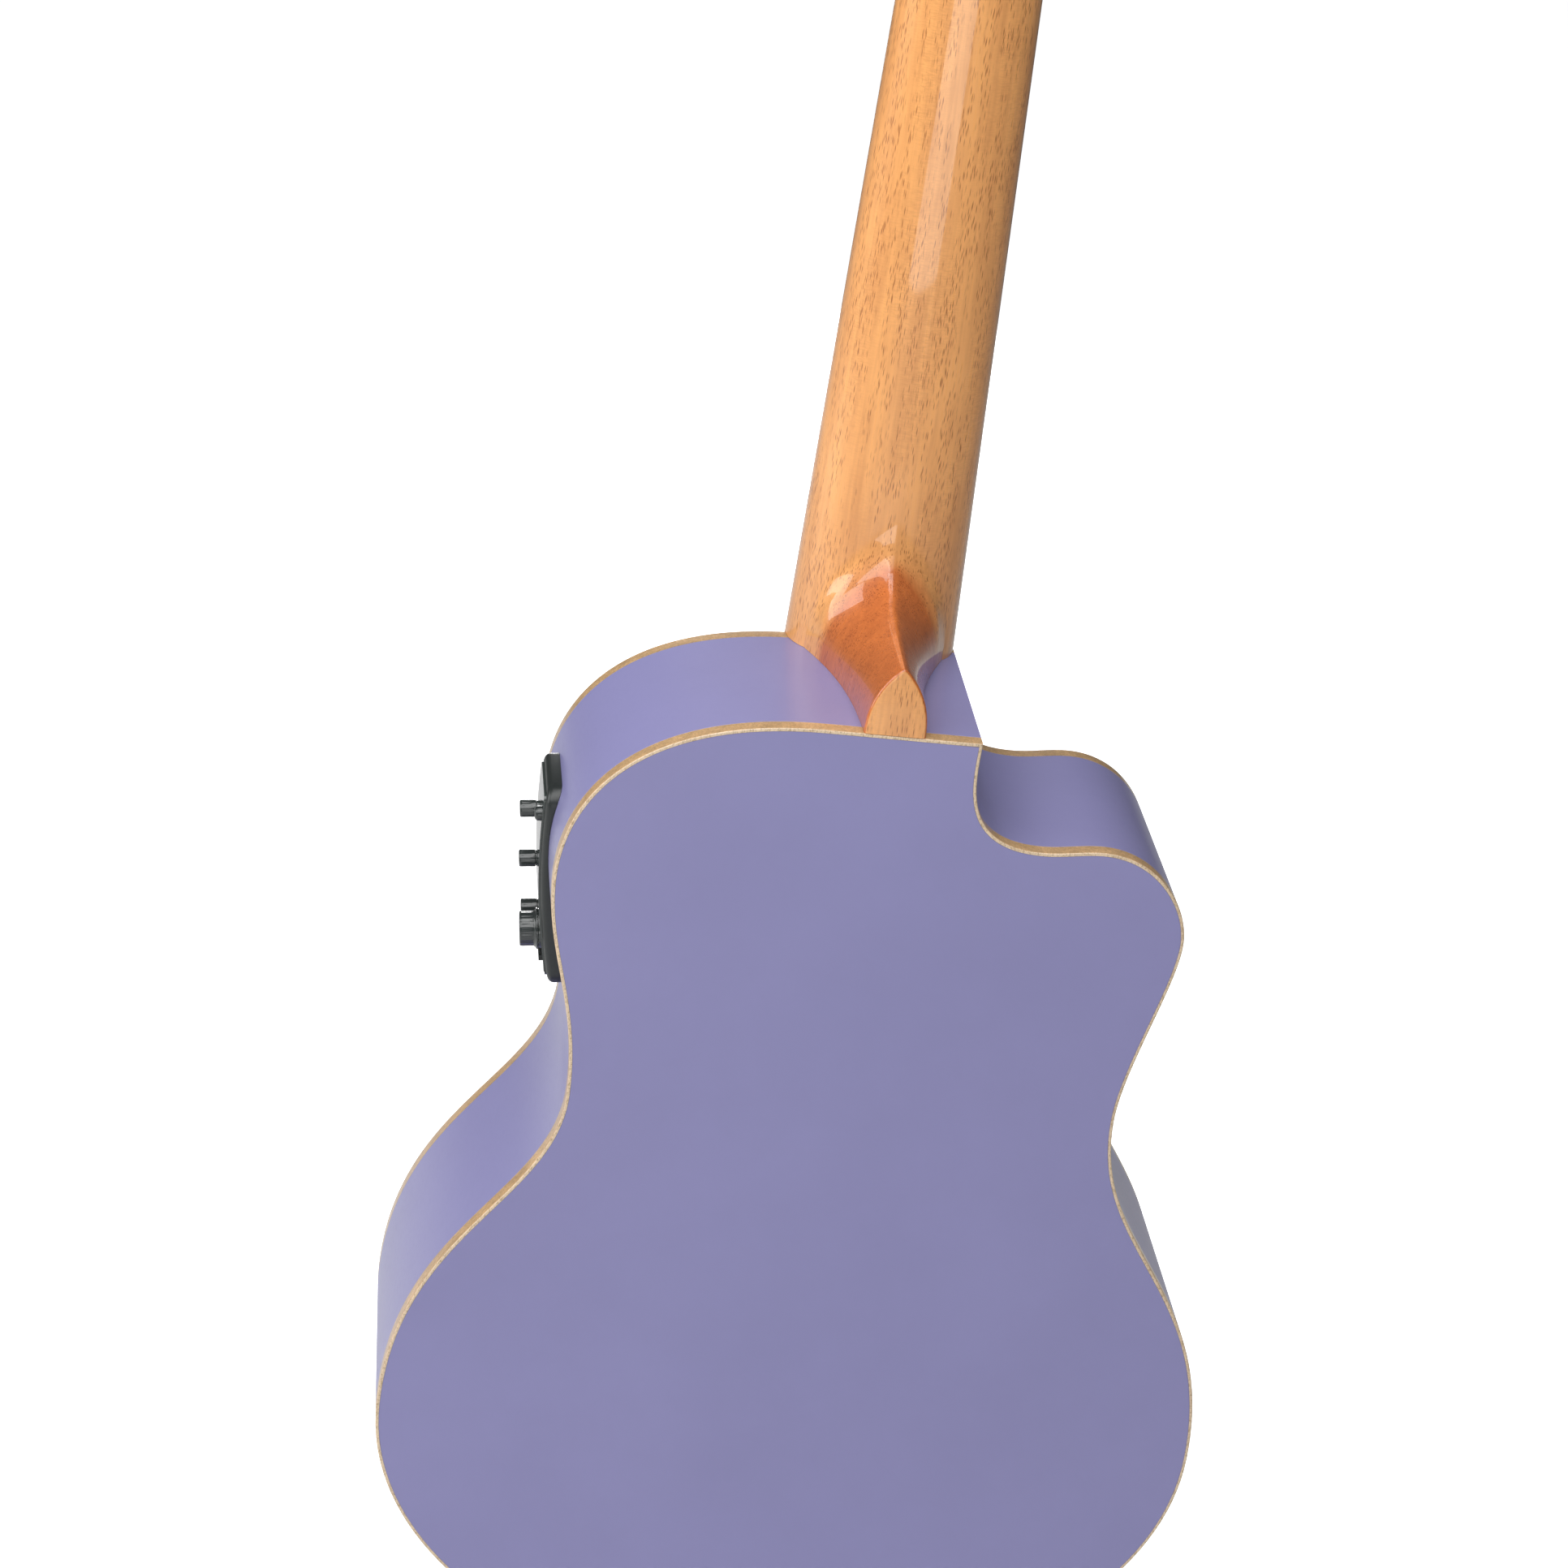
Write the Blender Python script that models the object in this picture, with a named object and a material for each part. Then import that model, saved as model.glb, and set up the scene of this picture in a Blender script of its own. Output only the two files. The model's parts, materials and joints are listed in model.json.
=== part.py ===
"""Left-handed tenor ukulele with a cutaway, a side-mounted preamp and open-geared tuners.

Metres, +Z up the neck, +X to the bass side, the strings face -Y and the back faces +Y.
The origin is on the centre plane at the nut line, in the plane of the soundboard: a wall
hanger's fork holds the instrument there, under the flare of the headstock.
"""

import math

import bmesh
import bpy
import numpy as np
from mathutils import Matrix, Vector

# Scale and fingerboard
SCALE_LENGTH = 0.432
FRET_COUNT = 18
BODY_FRET = 14
NUT_WIDTH = 0.0345
NECK_WIDTH_AT_BODY = 0.0468
BOARD_THICKNESS = 0.0045
BOARD_END_PAST_LAST_FRET = 0.0065
FRET_HEIGHT = 0.001
FRET_WIDTH = 0.002
FRET_CROWN_WIDTH = 0.001

# Gap between glued or seated pieces, and how far a cutter runs past what it cuts
SEAT_GAP = 0.0003
CUTTER_REACH = 0.012

# Body outline, measured down from the neck end of the body
BODY_LENGTH = 0.298
UPPER_BOUT_HALF = 0.0840
UPPER_BOUT_DROP = 0.0485
TOP_FLAT_HALF = 0.0177
SHOULDER_FULLNESS = 0.0496
UPPER_BOUT_RISE = 0.0229
UPPER_BOUT_FALL = 0.0211
BASS_WAIST_HALF = 0.0734
BASS_WAIST_DROP = 0.1109
BASS_WAIST_RISE = 0.0279
BASS_WAIST_FALL = 0.0331
LOWER_BOUT_HALF = 0.1150
LOWER_BOUT_DROP = 0.2112
LOWER_BOUT_RISE = 0.0552
LOWER_BOUT_FALL = 0.0512
TAIL_FULLNESS = 0.0543

# The cutaway and the horn on the treble side
CUTAWAY_WALL_FULLNESS = 0.0104
CUTAWAY_DIP_X = 0.0444
CUTAWAY_DIP_DROP = 0.0292
CUTAWAY_DIP_FULLNESS = 0.0238
HORN_SHELF_X = 0.0604
HORN_SHELF_DROP = 0.0277
HORN_SHELF_FULLNESS = 0.0158
HORN_HALF = 0.0862
HORN_DROP = 0.0529
HORN_RISE = 0.0110
HORN_FALL = 0.0126
TREBLE_WAIST_HALF = 0.0762
TREBLE_WAIST_DROP = 0.1066
TREBLE_WAIST_RISE = 0.0158
TREBLE_WAIST_FALL = 0.0405

# Body depths and walls
DEPTH_AT_NECK = 0.0658
DEPTH_AT_TAIL = 0.0752
SIDE_THICKNESS = 0.0020
TOP_THICKNESS = 0.0022
BACK_THICKNESS = 0.0024
BINDING_WIDTH = 0.0009
BINDING_HEIGHT = 0.0042
LINING_WIDTH = 0.0050
LINING_HEIGHT = 0.0080
SOUND_HOLE_RADIUS = 0.0280
SOUND_HOLE_PAST_BOARD = 0.0045

# Blocks and braces
NECK_BLOCK_LENGTH = 0.0260
NECK_BLOCK_BASS_X = 0.0250
TAIL_BLOCK_LENGTH = 0.0150
TAIL_BLOCK_WIDTH = 0.0500
BRACE_WIDTH = 0.0060
BRACE_HEIGHT = 0.0090
BRACE_END_HEIGHT = 0.0030
BRACE_SCALLOP_LENGTH = 0.0120
PATCH_THICKNESS = 0.0022
PATCH_WIDTH = 0.0980
PATCH_LENGTH = 0.0300

# Neck and heel
NECK_THICKNESS_AT_NUT = 0.0140
NECK_THICKNESS_AT_HEEL = 0.0172
NECK_ROUNDNESS = 2.15
NECK_BLEND_Z = -0.0260
HEEL_CAP_HALF = 0.0082
HEEL_CAP_LENGTH = 0.0191
HEEL_CAP_POINT = 2.4
HEEL_FLANK_TOP = (0.0175, 0.0160)
HEEL_FLANK_LOW = (0.0090, 0.0280)
HEEL_RIDGE_LENGTH = 0.0380
HEEL_RIDGE_TOP = 0.0225
HEEL_RIDGE_LOW_DEPTH = 0.0350
RIDGE_HALF = 0.0008
SECTION_BLEND = 12

# Headstock
HEAD_TILT = math.radians(13.0)
HEAD_LENGTH = 0.1300
HEAD_THICKNESS = 0.0115
HEAD_ROOT_THICKNESS = 0.0123
HEAD_EASED_EDGE = 0.0012
HEAD_WAIST = 0.0012
HEAD_CROWN_ROUNDNESS = 2.4
HEAD_HALF_LOW = 0.0290
HEAD_HALF_HIGH = 0.0260
HEAD_FLARE_LENGTH = 0.0240
HEAD_CROWN_LENGTH = 0.0150
VENEER_THICKNESS = 0.0015
VENEER_INSET = 0.0003

# Nut, strings and bridge
NUT_LENGTH = 0.0050
NUT_HEIGHT = 0.0070
STRING_SPREAD_AT_NUT = 0.0276
STRING_SPREAD_AT_SADDLE = 0.0420
STRING_DIAMETERS = (0.00062, 0.00078, 0.00090, 0.00070)
STRING_OVER_FRET_AT_NUT = 0.0006
STRING_OVER_FRET_AT_SADDLE = 0.0042
SADDLE_COMPENSATION = 0.0015
SADDLE_THICKNESS = 0.0030
SADDLE_LENGTH = 0.0640
BRIDGE_LENGTH = 0.0920
BRIDGE_BLOCK_LENGTH = 0.0700
BRIDGE_HEIGHT = 0.0076
BRIDGE_WING_HEIGHT = 0.0032
BRIDGE_FRONT = 0.0080
BRIDGE_TIE_DEPTH = 0.0115
BRIDGE_BACK = 0.0155
PICKUP_THICKNESS = 0.0014
SLOT_FLOOR_HEIGHT = 0.0032
TIE_SLOT_WALL = 0.0020
BRIDGE_EDGE = 0.0010
KNOT_DIAMETER = 0.0024
STRING_ABOVE_BUSHING = 0.0030
STRING_SWEEP_ON_POST = math.radians(200)

# Tuners: one geared machine a string
TUNER_SIDE_X = 0.0165
TUNER_FIRST_UP = 0.0330
TUNER_SPACING = 0.0460
GEAR_TEETH = 14
GEAR_MODULE = 0.00062
GEAR_THICKNESS = 0.0026
WORM_PITCH_RADIUS = 0.0023
WORM_TURNS = 2.6
TOOTH_ADDENDUM = 0.00052
TOOTH_DEDENDUM = 0.00072
TOOTH_SHARE = 0.38
POST_RADIUS = 0.0030
POST_CHAMFER = 0.0005
POST_WAIST_RADIUS = 0.0027
POST_PAST_GEAR = 0.0009
POST_ABOVE_VENEER = 0.0125
POST_HOLE_BELOW_TIP = 0.0026
POST_HOLE_RADIUS = 0.0008
SHAFT_RADIUS = 0.0015
TUNER_CLEARANCE = 0.00015
PLATE_THICKNESS = 0.0012
PLATE_WIDTH = 0.0136
PLATE_CORNER = 0.0025
PLATE_PAST_WORM = 0.0042
PLATE_PAST_POST = 0.0078
EAR_THICKNESS = 0.0012
EAR_INNER_HALF = 0.0043
EAR_HALF = 0.0026
EAR_ROOT = 0.0006
WORM_AXIS_HEIGHT = 0.0055
SHAFT_PAST_EAR = 0.0008
SHAFT_IN_BUTTON = 0.0055
BUSHING_SLEEVE_RADIUS = 0.0041
BUSHING_FLANGE_RADIUS = 0.0052
BUSHING_FLANGE_HEIGHT = 0.0012
BUSHING_SLEEVE_LENGTH = 0.0060
BUTTON_RADIUS = 0.0068
BUTTON_LENGTH = 0.0100
BUTTON_FLATNESS = 0.60
BUTTON_CLEAR_OF_HEAD = 0.0022
WRAP_PITCH = 0.00135
WRAP_TURNS = 1.5

# Preamp in the bass side
PREAMP_DROP = 0.0650
PREAMP_DEPTH_Y = 0.0275
PREAMP_FACE_X = 0.0846
PREAMP_TILT = math.radians(6.5)
BEZEL_LENGTH = 0.0590
BEZEL_WIDTH = 0.0295
BEZEL_RIM = 0.0022
BEZEL_EDGE = 0.0008
BEZEL_CROWN = 0.0020
BEZEL_CORNER = 0.0050
COLLAR_WALL = 0.0013
COLLAR_DEPTH = 0.0110
HOUSING_DEPTH = 0.0260
PANEL_PROUD = 0.0006
SMALL_KNOB_RADIUS = 0.0024
SMALL_KNOB_HEIGHT = 0.0045
VOLUME_KNOB_RADIUS = 0.0048
VOLUME_SKIRT_RADIUS = 0.0057
VOLUME_KNOB_HEIGHT = 0.0050
KNOB_STEM_RADIUS = 0.0015
KNOB_STEM_LENGTH = 0.0040
KNOB_EDGE = 0.0004
SKIRT_HEIGHT = 0.0004
SKIRT_SLOPE_HEIGHT = 0.0012
TONE_KNOB_Y = -0.0075
TONE_KNOB_TOP = 0.0145
TONE_KNOB_SPACING = 0.0150
VOLUME_KNOB_Y = 0.0056
PUSH_BUTTON_RADIUS = 0.0020
PUSH_BUTTON_PROUD = 0.0018
PUSH_BUTTON_Y = 0.0085
PUSH_BUTTON_UP = 0.0205
PUSH_BUTTON_CLEARANCE = 0.0015
TRAY_THICKNESS = 0.0044
TRAY_WIDTH = 0.0224
TRAY_DEPTH = 0.0225
TRAY_DOWN = 0.0238
TRAY_FLOOR = 0.0008
LIP_PROUD = 0.0012
LIP_FROM_LOW_EDGE = 0.0006
LIP_FROM_HIGH_EDGE = 0.0022
CELL_RADIUS = 0.0100
CELL_THICKNESS = 0.0032
CELL_EDGE = 0.0003
CELL_STEP = 0.0012

# Output jack in the tail
JACK_DEPTH_Y = 0.0360
JACK_TUBE_RADIUS = 0.0055
JACK_FLANGE_RADIUS = 0.0090
JACK_OUTSIDE = 0.0100
JACK_INSIDE = 0.0260
JACK_BORE_RADIUS = 0.0033
JACK_GROOVE_DEPTH = 0.0010

# Facets of round pieces, and points along the outline and the neck's sections
ROUND_STEPS = 18
SMALL_STEPS = 12
POST_STEPS = 14
OUTLINE_STEPS = 8
BEZEL_CORNER_STEPS = 3
BEZEL_SIDE_STEPS = 7
FLANK_POINTS = 9
NOSE_POINTS = 3
PROFILE_SAMPLES = 160
CURVE_SAMPLES = 40
HEEL_HEIGHTS = (0.0003, 0.0030, 0.0065, 0.0100, 0.0135, 0.0165, 0.0187, 0.0196)
HEEL_RIDGE_HEIGHTS = (0.0203, 0.0213, 0.0226, 0.0243, 0.0265, 0.0295, 0.0335, 0.0382, 0.0440)
CROWN_SHARES = (0.35, 0.60, 0.80, 0.93, 0.995)

BODY_TOP_Z = -SCALE_LENGTH * (1 - 2 ** (-BODY_FRET / 12))
LAST_FRET_Z = -SCALE_LENGTH * (1 - 2 ** (-FRET_COUNT / 12))
BOARD_END_Z = LAST_FRET_Z - BOARD_END_PAST_LAST_FRET
TAIL_Z = BODY_TOP_Z - BODY_LENGTH
SADDLE_Z = -SCALE_LENGTH - SADDLE_COMPENSATION
SOUND_HOLE_Z = BOARD_END_Z - SOUND_HOLE_PAST_BOARD - SOUND_HOLE_RADIUS
BOARD_TOP_Y = -(SEAT_GAP + BOARD_THICKNESS)
FRET_TOP_Y = BOARD_TOP_Y - FRET_HEIGHT
PLATE_INSET = BINDING_WIDTH + SEAT_GAP
LINING_INSET = SIDE_THICKNESS + SEAT_GAP
BACK_SLOPE = (DEPTH_AT_TAIL - DEPTH_AT_NECK) / BODY_LENGTH
WORM_PITCH = math.pi * GEAR_MODULE
GEAR_PITCH_RADIUS = GEAR_TEETH * GEAR_MODULE / 2
WORM_DISTANCE = GEAR_PITCH_RADIUS + WORM_PITCH_RADIUS
LEAD_SLOPE = WORM_PITCH / (2 * math.pi * WORM_PITCH_RADIUS)


def clear_scene():
    for obj in list(bpy.data.objects):
        bpy.data.objects.remove(obj, do_unlink=True)


def material(name, colour, roughness, metallic=0.0, coat=0.0):
    """A Principled material in the piece's own colour."""
    made = bpy.data.materials.new(name)
    made.use_nodes = True
    made.diffuse_color = (*colour, 1.0)
    shader = made.node_tree.nodes["Principled BSDF"]
    shader.inputs["Base Color"].default_value = (*colour, 1.0)
    shader.inputs["Roughness"].default_value = roughness
    shader.inputs["Metallic"].default_value = metallic
    shader.inputs["Coat Weight"].default_value = coat
    return made


def make_materials():
    return {
        "lavender_paint": material("lavender_paint", (0.25, 0.24, 0.44), 0.38, coat=0.2),
        "maple_binding": material("maple_binding", (0.62, 0.42, 0.25), 0.45),
        "neck_mahogany": material("neck_mahogany", (0.62, 0.25, 0.09), 0.25, coat=0.8),
        "spruce_inside": material("spruce_inside", (0.72, 0.52, 0.30), 0.6),
        "rosewood": material("rosewood", (0.10, 0.045, 0.025), 0.5),
        "bone_white": material("bone_white", (0.85, 0.80, 0.68), 0.4),
        "chrome": material("chrome", (0.75, 0.75, 0.76), 0.18, metallic=1.0),
        "black_plastic": material("black_plastic", (0.025, 0.028, 0.028), 0.35),
        "panel_gloss": material("panel_gloss", (0.02, 0.022, 0.022), 0.12, coat=0.5),
        "string_nylon": material("string_nylon", (0.70, 0.70, 0.68), 0.3),
        "button_black": material("button_black", (0.02, 0.02, 0.02), 0.25),
        "cell_steel": material("cell_steel", (0.6, 0.6, 0.6), 0.3, metallic=1.0),
    }


def add_object(name, mesh, finish, parent=None, place=(0, 0, 0)):
    obj = bpy.data.objects.new(name, mesh)
    bpy.context.scene.collection.objects.link(obj)
    if finish:
        mesh.materials.append(finish)
    obj.parent = parent
    obj.location = place
    return obj


def add_frame(name, place, turn=None):
    """An empty that carries pieces: turn is (angle, axis)."""
    empty = bpy.data.objects.new(name, None)
    bpy.context.scene.collection.objects.link(empty)
    rotation = Matrix.Rotation(*turn) if turn else Matrix.Identity(4)
    empty.matrix_world = Matrix.Translation(place) @ rotation.to_4x4()
    return empty


def finish_mesh(bm, name, smooth_degrees=None):
    bmesh.ops.recalc_face_normals(bm, faces=bm.faces)
    mesh = bpy.data.meshes.new(name)
    bm.to_mesh(mesh)
    bm.free()
    if smooth_degrees:
        mesh.shade_smooth()
        mesh.set_sharp_from_angle(angle=math.radians(smooth_degrees))
    return mesh


def loft_mesh(name, rings, closed_ends=True, ring_closed=False, smooth_degrees=35):
    """Joins rings of points in order. Open lofts are capped, closed ones meet themselves."""
    bm = bmesh.new()
    rows = [[bm.verts.new(point) for point in ring] for ring in rings]
    count = len(rows[0])
    pairs = list(zip(rows, rows[1:]))
    if ring_closed:
        pairs.append((rows[-1], rows[0]))
    for low, high in pairs:
        for i in range(count):
            j = (i + 1) % count
            bm.faces.new((low[i], low[j], high[j], high[i]))
    if closed_ends and not ring_closed:
        bm.faces.new(rows[0])
        bm.faces.new(rows[-1])
    return finish_mesh(bm, name, smooth_degrees)


def plate_mesh(name, loops, front_y, back_y):
    """A plate in the XZ plane with holes: the first loop is its edge. The faces follow y(z)."""
    bm = bmesh.new()
    edges = []
    for loop in loops:
        verts = [bm.verts.new((x, 0, z)) for x, z in loop]
        edges += [bm.edges.new((verts[i - 1], verts[i])) for i in range(len(verts))]
    bmesh.ops.triangle_fill(bm, use_beauty=True, edges=edges)
    extruded = bmesh.ops.extrude_face_region(bm, geom=list(bm.faces))
    back = {v for v in extruded["geom"] if isinstance(v, bmesh.types.BMVert)}
    for vert in bm.verts:
        vert.co.y = back_y(vert.co.z) if vert in back else front_y(vert.co.z)
    return finish_mesh(bm, name, 40)


def box_mesh(name, low, high, bevel=0.0):
    bm = bmesh.new()
    bmesh.ops.create_cube(bm, size=1)
    low, high = Vector(low), Vector(high)
    for vert in bm.verts:
        vert.co = (low + high) / 2 + Vector(a * b for a, b in zip(vert.co, high - low))
    if bevel:
        bmesh.ops.bevel(bm, geom=list(bm.edges), offset=bevel, segments=1, affect="EDGES")
    return finish_mesh(bm, name)


def turned_mesh(name, profile, axis, steps=ROUND_STEPS, flat=1.0, smooth_degrees=35):
    """Turns (radius, along) points about X, Y or Z. A profile off the axis closes on itself as a ring;
    one that starts and ends on the axis is a solid. flat squeezes it across its axis."""
    solid = profile[0][0] == 0 and profile[-1][0] == 0
    bm = bmesh.new()
    around = [2 * math.pi * i / steps for i in range(steps)]
    order = {
        "X": lambda a, u, v: (a, u, v),
        "Y": lambda a, u, v: (u, a, v),
        "Z": lambda a, u, v: (u, v, a),
    }
    put = order[axis]
    rows = []
    for radius, along in profile:
        if radius == 0:
            rows.append([bm.verts.new(put(along, 0, 0))] * steps)
        else:
            ring = [put(along, flat * radius * math.cos(a), radius * math.sin(a)) for a in around]
            rows.append([bm.verts.new(point) for point in ring])
    pairs = list(zip(rows, rows[1:]))
    if not solid:
        pairs.append((rows[-1], rows[0]))
    for low, high in pairs:
        for i in range(steps):
            j = (i + 1) % steps
            corners = []
            for vert in (low[i], low[j], high[j], high[i]):
                if vert not in corners:
                    corners.append(vert)
            if len(corners) > 2:
                bm.faces.new(corners)
    return finish_mesh(bm, name, smooth_degrees)


def cut(obj, cutter, operation="DIFFERENCE"):
    """A Boolean with a helper that stays out of the render."""
    cutter.hide_render = True
    cutter.display_type = "WIRE"
    step = obj.modifiers.new(cutter.name, "BOOLEAN")
    step.operation = operation
    step.object = cutter
    step.solver = "EXACT"


def bore_mesh(name, radius, low, high, axis, steps=SMALL_STEPS):
    """A solid rod from low to high along an axis, to cut a hole with."""
    return turned_mesh(name, [(0, low), (radius, low), (radius, high), (0, high)], axis, steps)


def join_meshes(name, meshes):
    """One mesh of several separate shapes, for a cutter."""
    bm = bmesh.new()
    for mesh in meshes:
        bm.from_mesh(mesh)
        bpy.data.meshes.remove(mesh)
    made = bpy.data.meshes.new(name)
    bm.to_mesh(made)
    bm.free()
    return made


def moved(mesh, place):
    mesh.transform(Matrix.Translation(place))
    return mesh


def bezier(start, start_handle, end_handle, end, steps):
    """Points of a cubic, without its last one."""
    points = []
    for i in range(steps):
        t = i / steps
        weights = ((1 - t) ** 3, 3 * (1 - t) ** 2 * t, 3 * (1 - t) * t * t, t**3)
        controls = (start, start_handle, end_handle, end)
        points.append(tuple(sum(w * c[k] for w, c in zip(weights, controls)) for k in range(2)))
    return points


def circle_points(radius, centre, steps):
    return [
        (
            centre[0] + radius * math.cos(2 * math.pi * i / steps),
            centre[1] + radius * math.sin(2 * math.pi * i / steps),
        )
        for i in range(steps)
    ]


def rounded_rectangle(half_y, half_z, corner, steps=4, side_steps=1):
    """A loop with round corners. side_steps shares its two long sides, along Z, into shorter runs."""
    points = []
    for quarter, (sy, sz) in enumerate(((1, 1), (-1, 1), (-1, -1), (1, -1))):
        middle = sy * (half_y - corner), sz * (half_z - corner)
        for i in range(steps + 1):
            angle = math.pi / 2 * (quarter + i / steps)
            points.append((middle[0] + corner * math.cos(angle), middle[1] + corner * math.sin(angle)))
        if quarter % 2:
            last_y, last_z = points[-1]
            for i in range(1, side_steps):
                points.append((last_y, last_z * (1 - 2 * i / side_steps)))
    return points


# Body outline


def neck_half_width(z):
    """Half the width of the neck and fingerboard, straight-sided from the nut through the body joint."""
    share = z / BODY_TOP_Z
    return (NUT_WIDTH + (NECK_WIDTH_AT_BODY - NUT_WIDTH) * share) / 2


def back_y(z):
    """The outer face of the back, which tapers towards the neck."""
    return DEPTH_AT_NECK + BACK_SLOPE * (BODY_TOP_Z - z)


def lower_bout(waist, waist_fall, steps):
    """From a waist, round the lower bout to the tail centre, on the bass side's sign."""
    bout = LOWER_BOUT_HALF, -LOWER_BOUT_DROP
    rise = bout[0], bout[1] + LOWER_BOUT_RISE
    fall = bout[0], bout[1] - LOWER_BOUT_FALL
    tail = 0.0, -BODY_LENGTH
    points = bezier(waist, (waist[0], waist[1] - waist_fall), rise, bout, steps)
    points += bezier(bout, fall, (TAIL_FULLNESS, -BODY_LENGTH), tail, steps)
    return points + [tail]


def bass_path():
    """From the top centre, over the shoulder and the waist to the tail centre."""
    shoulder = TOP_FLAT_HALF, 0.0
    upper = UPPER_BOUT_HALF, -UPPER_BOUT_DROP
    waist = BASS_WAIST_HALF, -BASS_WAIST_DROP
    full = TOP_FLAT_HALF + SHOULDER_FULLNESS, 0.0
    rise = upper[0], upper[1] + UPPER_BOUT_RISE
    fall = upper[0], upper[1] - UPPER_BOUT_FALL
    points = [(0.0, 0.0)]
    points += bezier(shoulder, full, rise, upper, OUTLINE_STEPS)
    points += bezier(upper, fall, (waist[0], waist[1] + BASS_WAIST_RISE), waist, OUTLINE_STEPS - 1)
    points += lower_bout(waist, BASS_WAIST_FALL, OUTLINE_STEPS)
    return [(x, BODY_TOP_Z + drop) for x, drop in points]


def treble_path():
    """From the top centre, round the cutaway, the horn and the waist to the tail centre."""
    wall = neck_half_width(BODY_TOP_Z), 0.0
    dip = CUTAWAY_DIP_X, -CUTAWAY_DIP_DROP
    shelf = HORN_SHELF_X, -HORN_SHELF_DROP
    horn = HORN_HALF, -HORN_DROP
    waist = TREBLE_WAIST_HALF, -TREBLE_WAIST_DROP
    third = (shelf[0] - dip[0]) / 3
    points = [(0.0, 0.0)]
    few = OUTLINE_STEPS - 3
    wall_handle = wall[0], -CUTAWAY_WALL_FULLNESS
    dip_handle = dip[0] - CUTAWAY_DIP_FULLNESS, dip[1]
    shelf_handle = shelf[0] + HORN_SHELF_FULLNESS, shelf[1]
    horn_rise = horn[0], horn[1] + HORN_RISE
    horn_fall = horn[0], horn[1] - HORN_FALL
    waist_rise = waist[0], waist[1] + TREBLE_WAIST_RISE
    points += bezier(wall, wall_handle, dip_handle, dip, OUTLINE_STEPS)
    points += bezier(dip, (dip[0] + third, dip[1]), (shelf[0] - third, shelf[1]), shelf, 3)
    points += bezier(shelf, shelf_handle, horn_rise, horn, few)
    points += bezier(horn, horn_fall, waist_rise, waist, few)
    points += lower_bout(waist, TREBLE_WAIST_FALL, OUTLINE_STEPS)
    return [(-x, BODY_TOP_Z + drop) for x, drop in points]


def body_outline():
    """The closed outer outline: down the treble side, round the tail and up the bass side."""
    return treble_path() + bass_path()[-2:0:-1]


def inset_points(path, inset, closed):
    """The path moved into the body, mitred at its corners. The body lies to the path's left.
    An open path's end on the centre plane is mitred with its own mirror image."""
    points = [Vector(p) for p in path]
    normals = []
    for a, b in zip(points, points[1:] + points[:1]):
        run = (b - a).normalized()
        normals.append(Vector((-run.y, run.x)))
    inner = []
    for i, point in enumerate(points):
        before, after = normals[i - 1], normals[i]
        if not closed and i == 0:
            before = Vector((-after.x, after.y)) if abs(point.x) < SEAT_GAP else after
        if not closed and i == len(points) - 1:
            after = Vector((-before.x, before.y)) if abs(point.x) < SEAT_GAP else before
        inner.append(tuple(point + inset * (before + after) / (1 + before.dot(after))))
    return inner


def sweep_wall(name, path, profile, closed):
    """Sweeps a wall's cross-section round the body. Each profile corner is (inset, from_back, distance)."""
    columns = []
    for inset, from_back, distance in profile:
        column = []
        for x, z in inset_points(path, inset, closed):
            y = back_y(z) - distance if from_back else distance
            column.append((x, y, z))
        columns.append(column)
    rings = [[column[i] for column in columns] for i in range(len(path))]
    return loft_mesh(name, rings, closed_ends=not closed, ring_closed=closed)


def parted_path(path):
    """A half path whose ends stop half a joint short of the centre plane."""
    gap = math.copysign(SEAT_GAP / 2, path[1][0])
    return [(gap, path[0][1])] + path[1:-1] + [(gap, path[-1][1])]


def build_sides(finish):
    rabbet = BINDING_HEIGHT + SEAT_GAP
    top_edge = TOP_THICKNESS + SEAT_GAP
    back_edge = BACK_THICKNESS + SEAT_GAP
    profile = (
        (0.0, False, rabbet),
        (PLATE_INSET, False, rabbet),
        (PLATE_INSET, False, top_edge),
        (SIDE_THICKNESS, False, top_edge),
        (SIDE_THICKNESS, True, back_edge),
        (PLATE_INSET, True, back_edge),
        (PLATE_INSET, True, rabbet),
        (0.0, True, rabbet),
    )
    treble = parted_path(treble_path())
    bass = parted_path(bass_path())[::-1]
    sides = {}
    for name, path in (("side_treble", treble), ("side_bass", bass)):
        sides[name] = add_object(name, sweep_wall(name, path, profile, closed=False), finish)
        cut(sides[name], jack_cutter(f"{name}_jack_hole"))
    return sides


def body_envelope():
    """The body's outer shape with a seat's gap round it, to cut what lies on its sides."""
    edge = inset_points(body_outline(), -SEAT_GAP, closed=True)
    mesh = plate_mesh("body_envelope", [edge], lambda z: 0.0, back_y)
    return add_object("body_envelope", mesh, None)


def jack_cutter(name):
    high = TAIL_Z + SIDE_THICKNESS + TAIL_BLOCK_LENGTH + CUTTER_REACH
    mesh = bore_mesh(name, JACK_TUBE_RADIUS + SEAT_GAP, TAIL_Z - CUTTER_REACH, high, "Z", ROUND_STEPS)
    return add_object(name, moved(mesh, (0, JACK_DEPTH_Y, 0)), None)


def build_bindings(finish):
    outline = body_outline()
    for name, from_back in (("top_binding", False), ("back_binding", True)):
        profile = (
            (0.0, from_back, 0.0),
            (BINDING_WIDTH, from_back, 0.0),
            (BINDING_WIDTH, from_back, BINDING_HEIGHT),
            (0.0, from_back, BINDING_HEIGHT),
        )
        add_object(name, sweep_wall(name, outline, profile, closed=True), finish)


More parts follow.
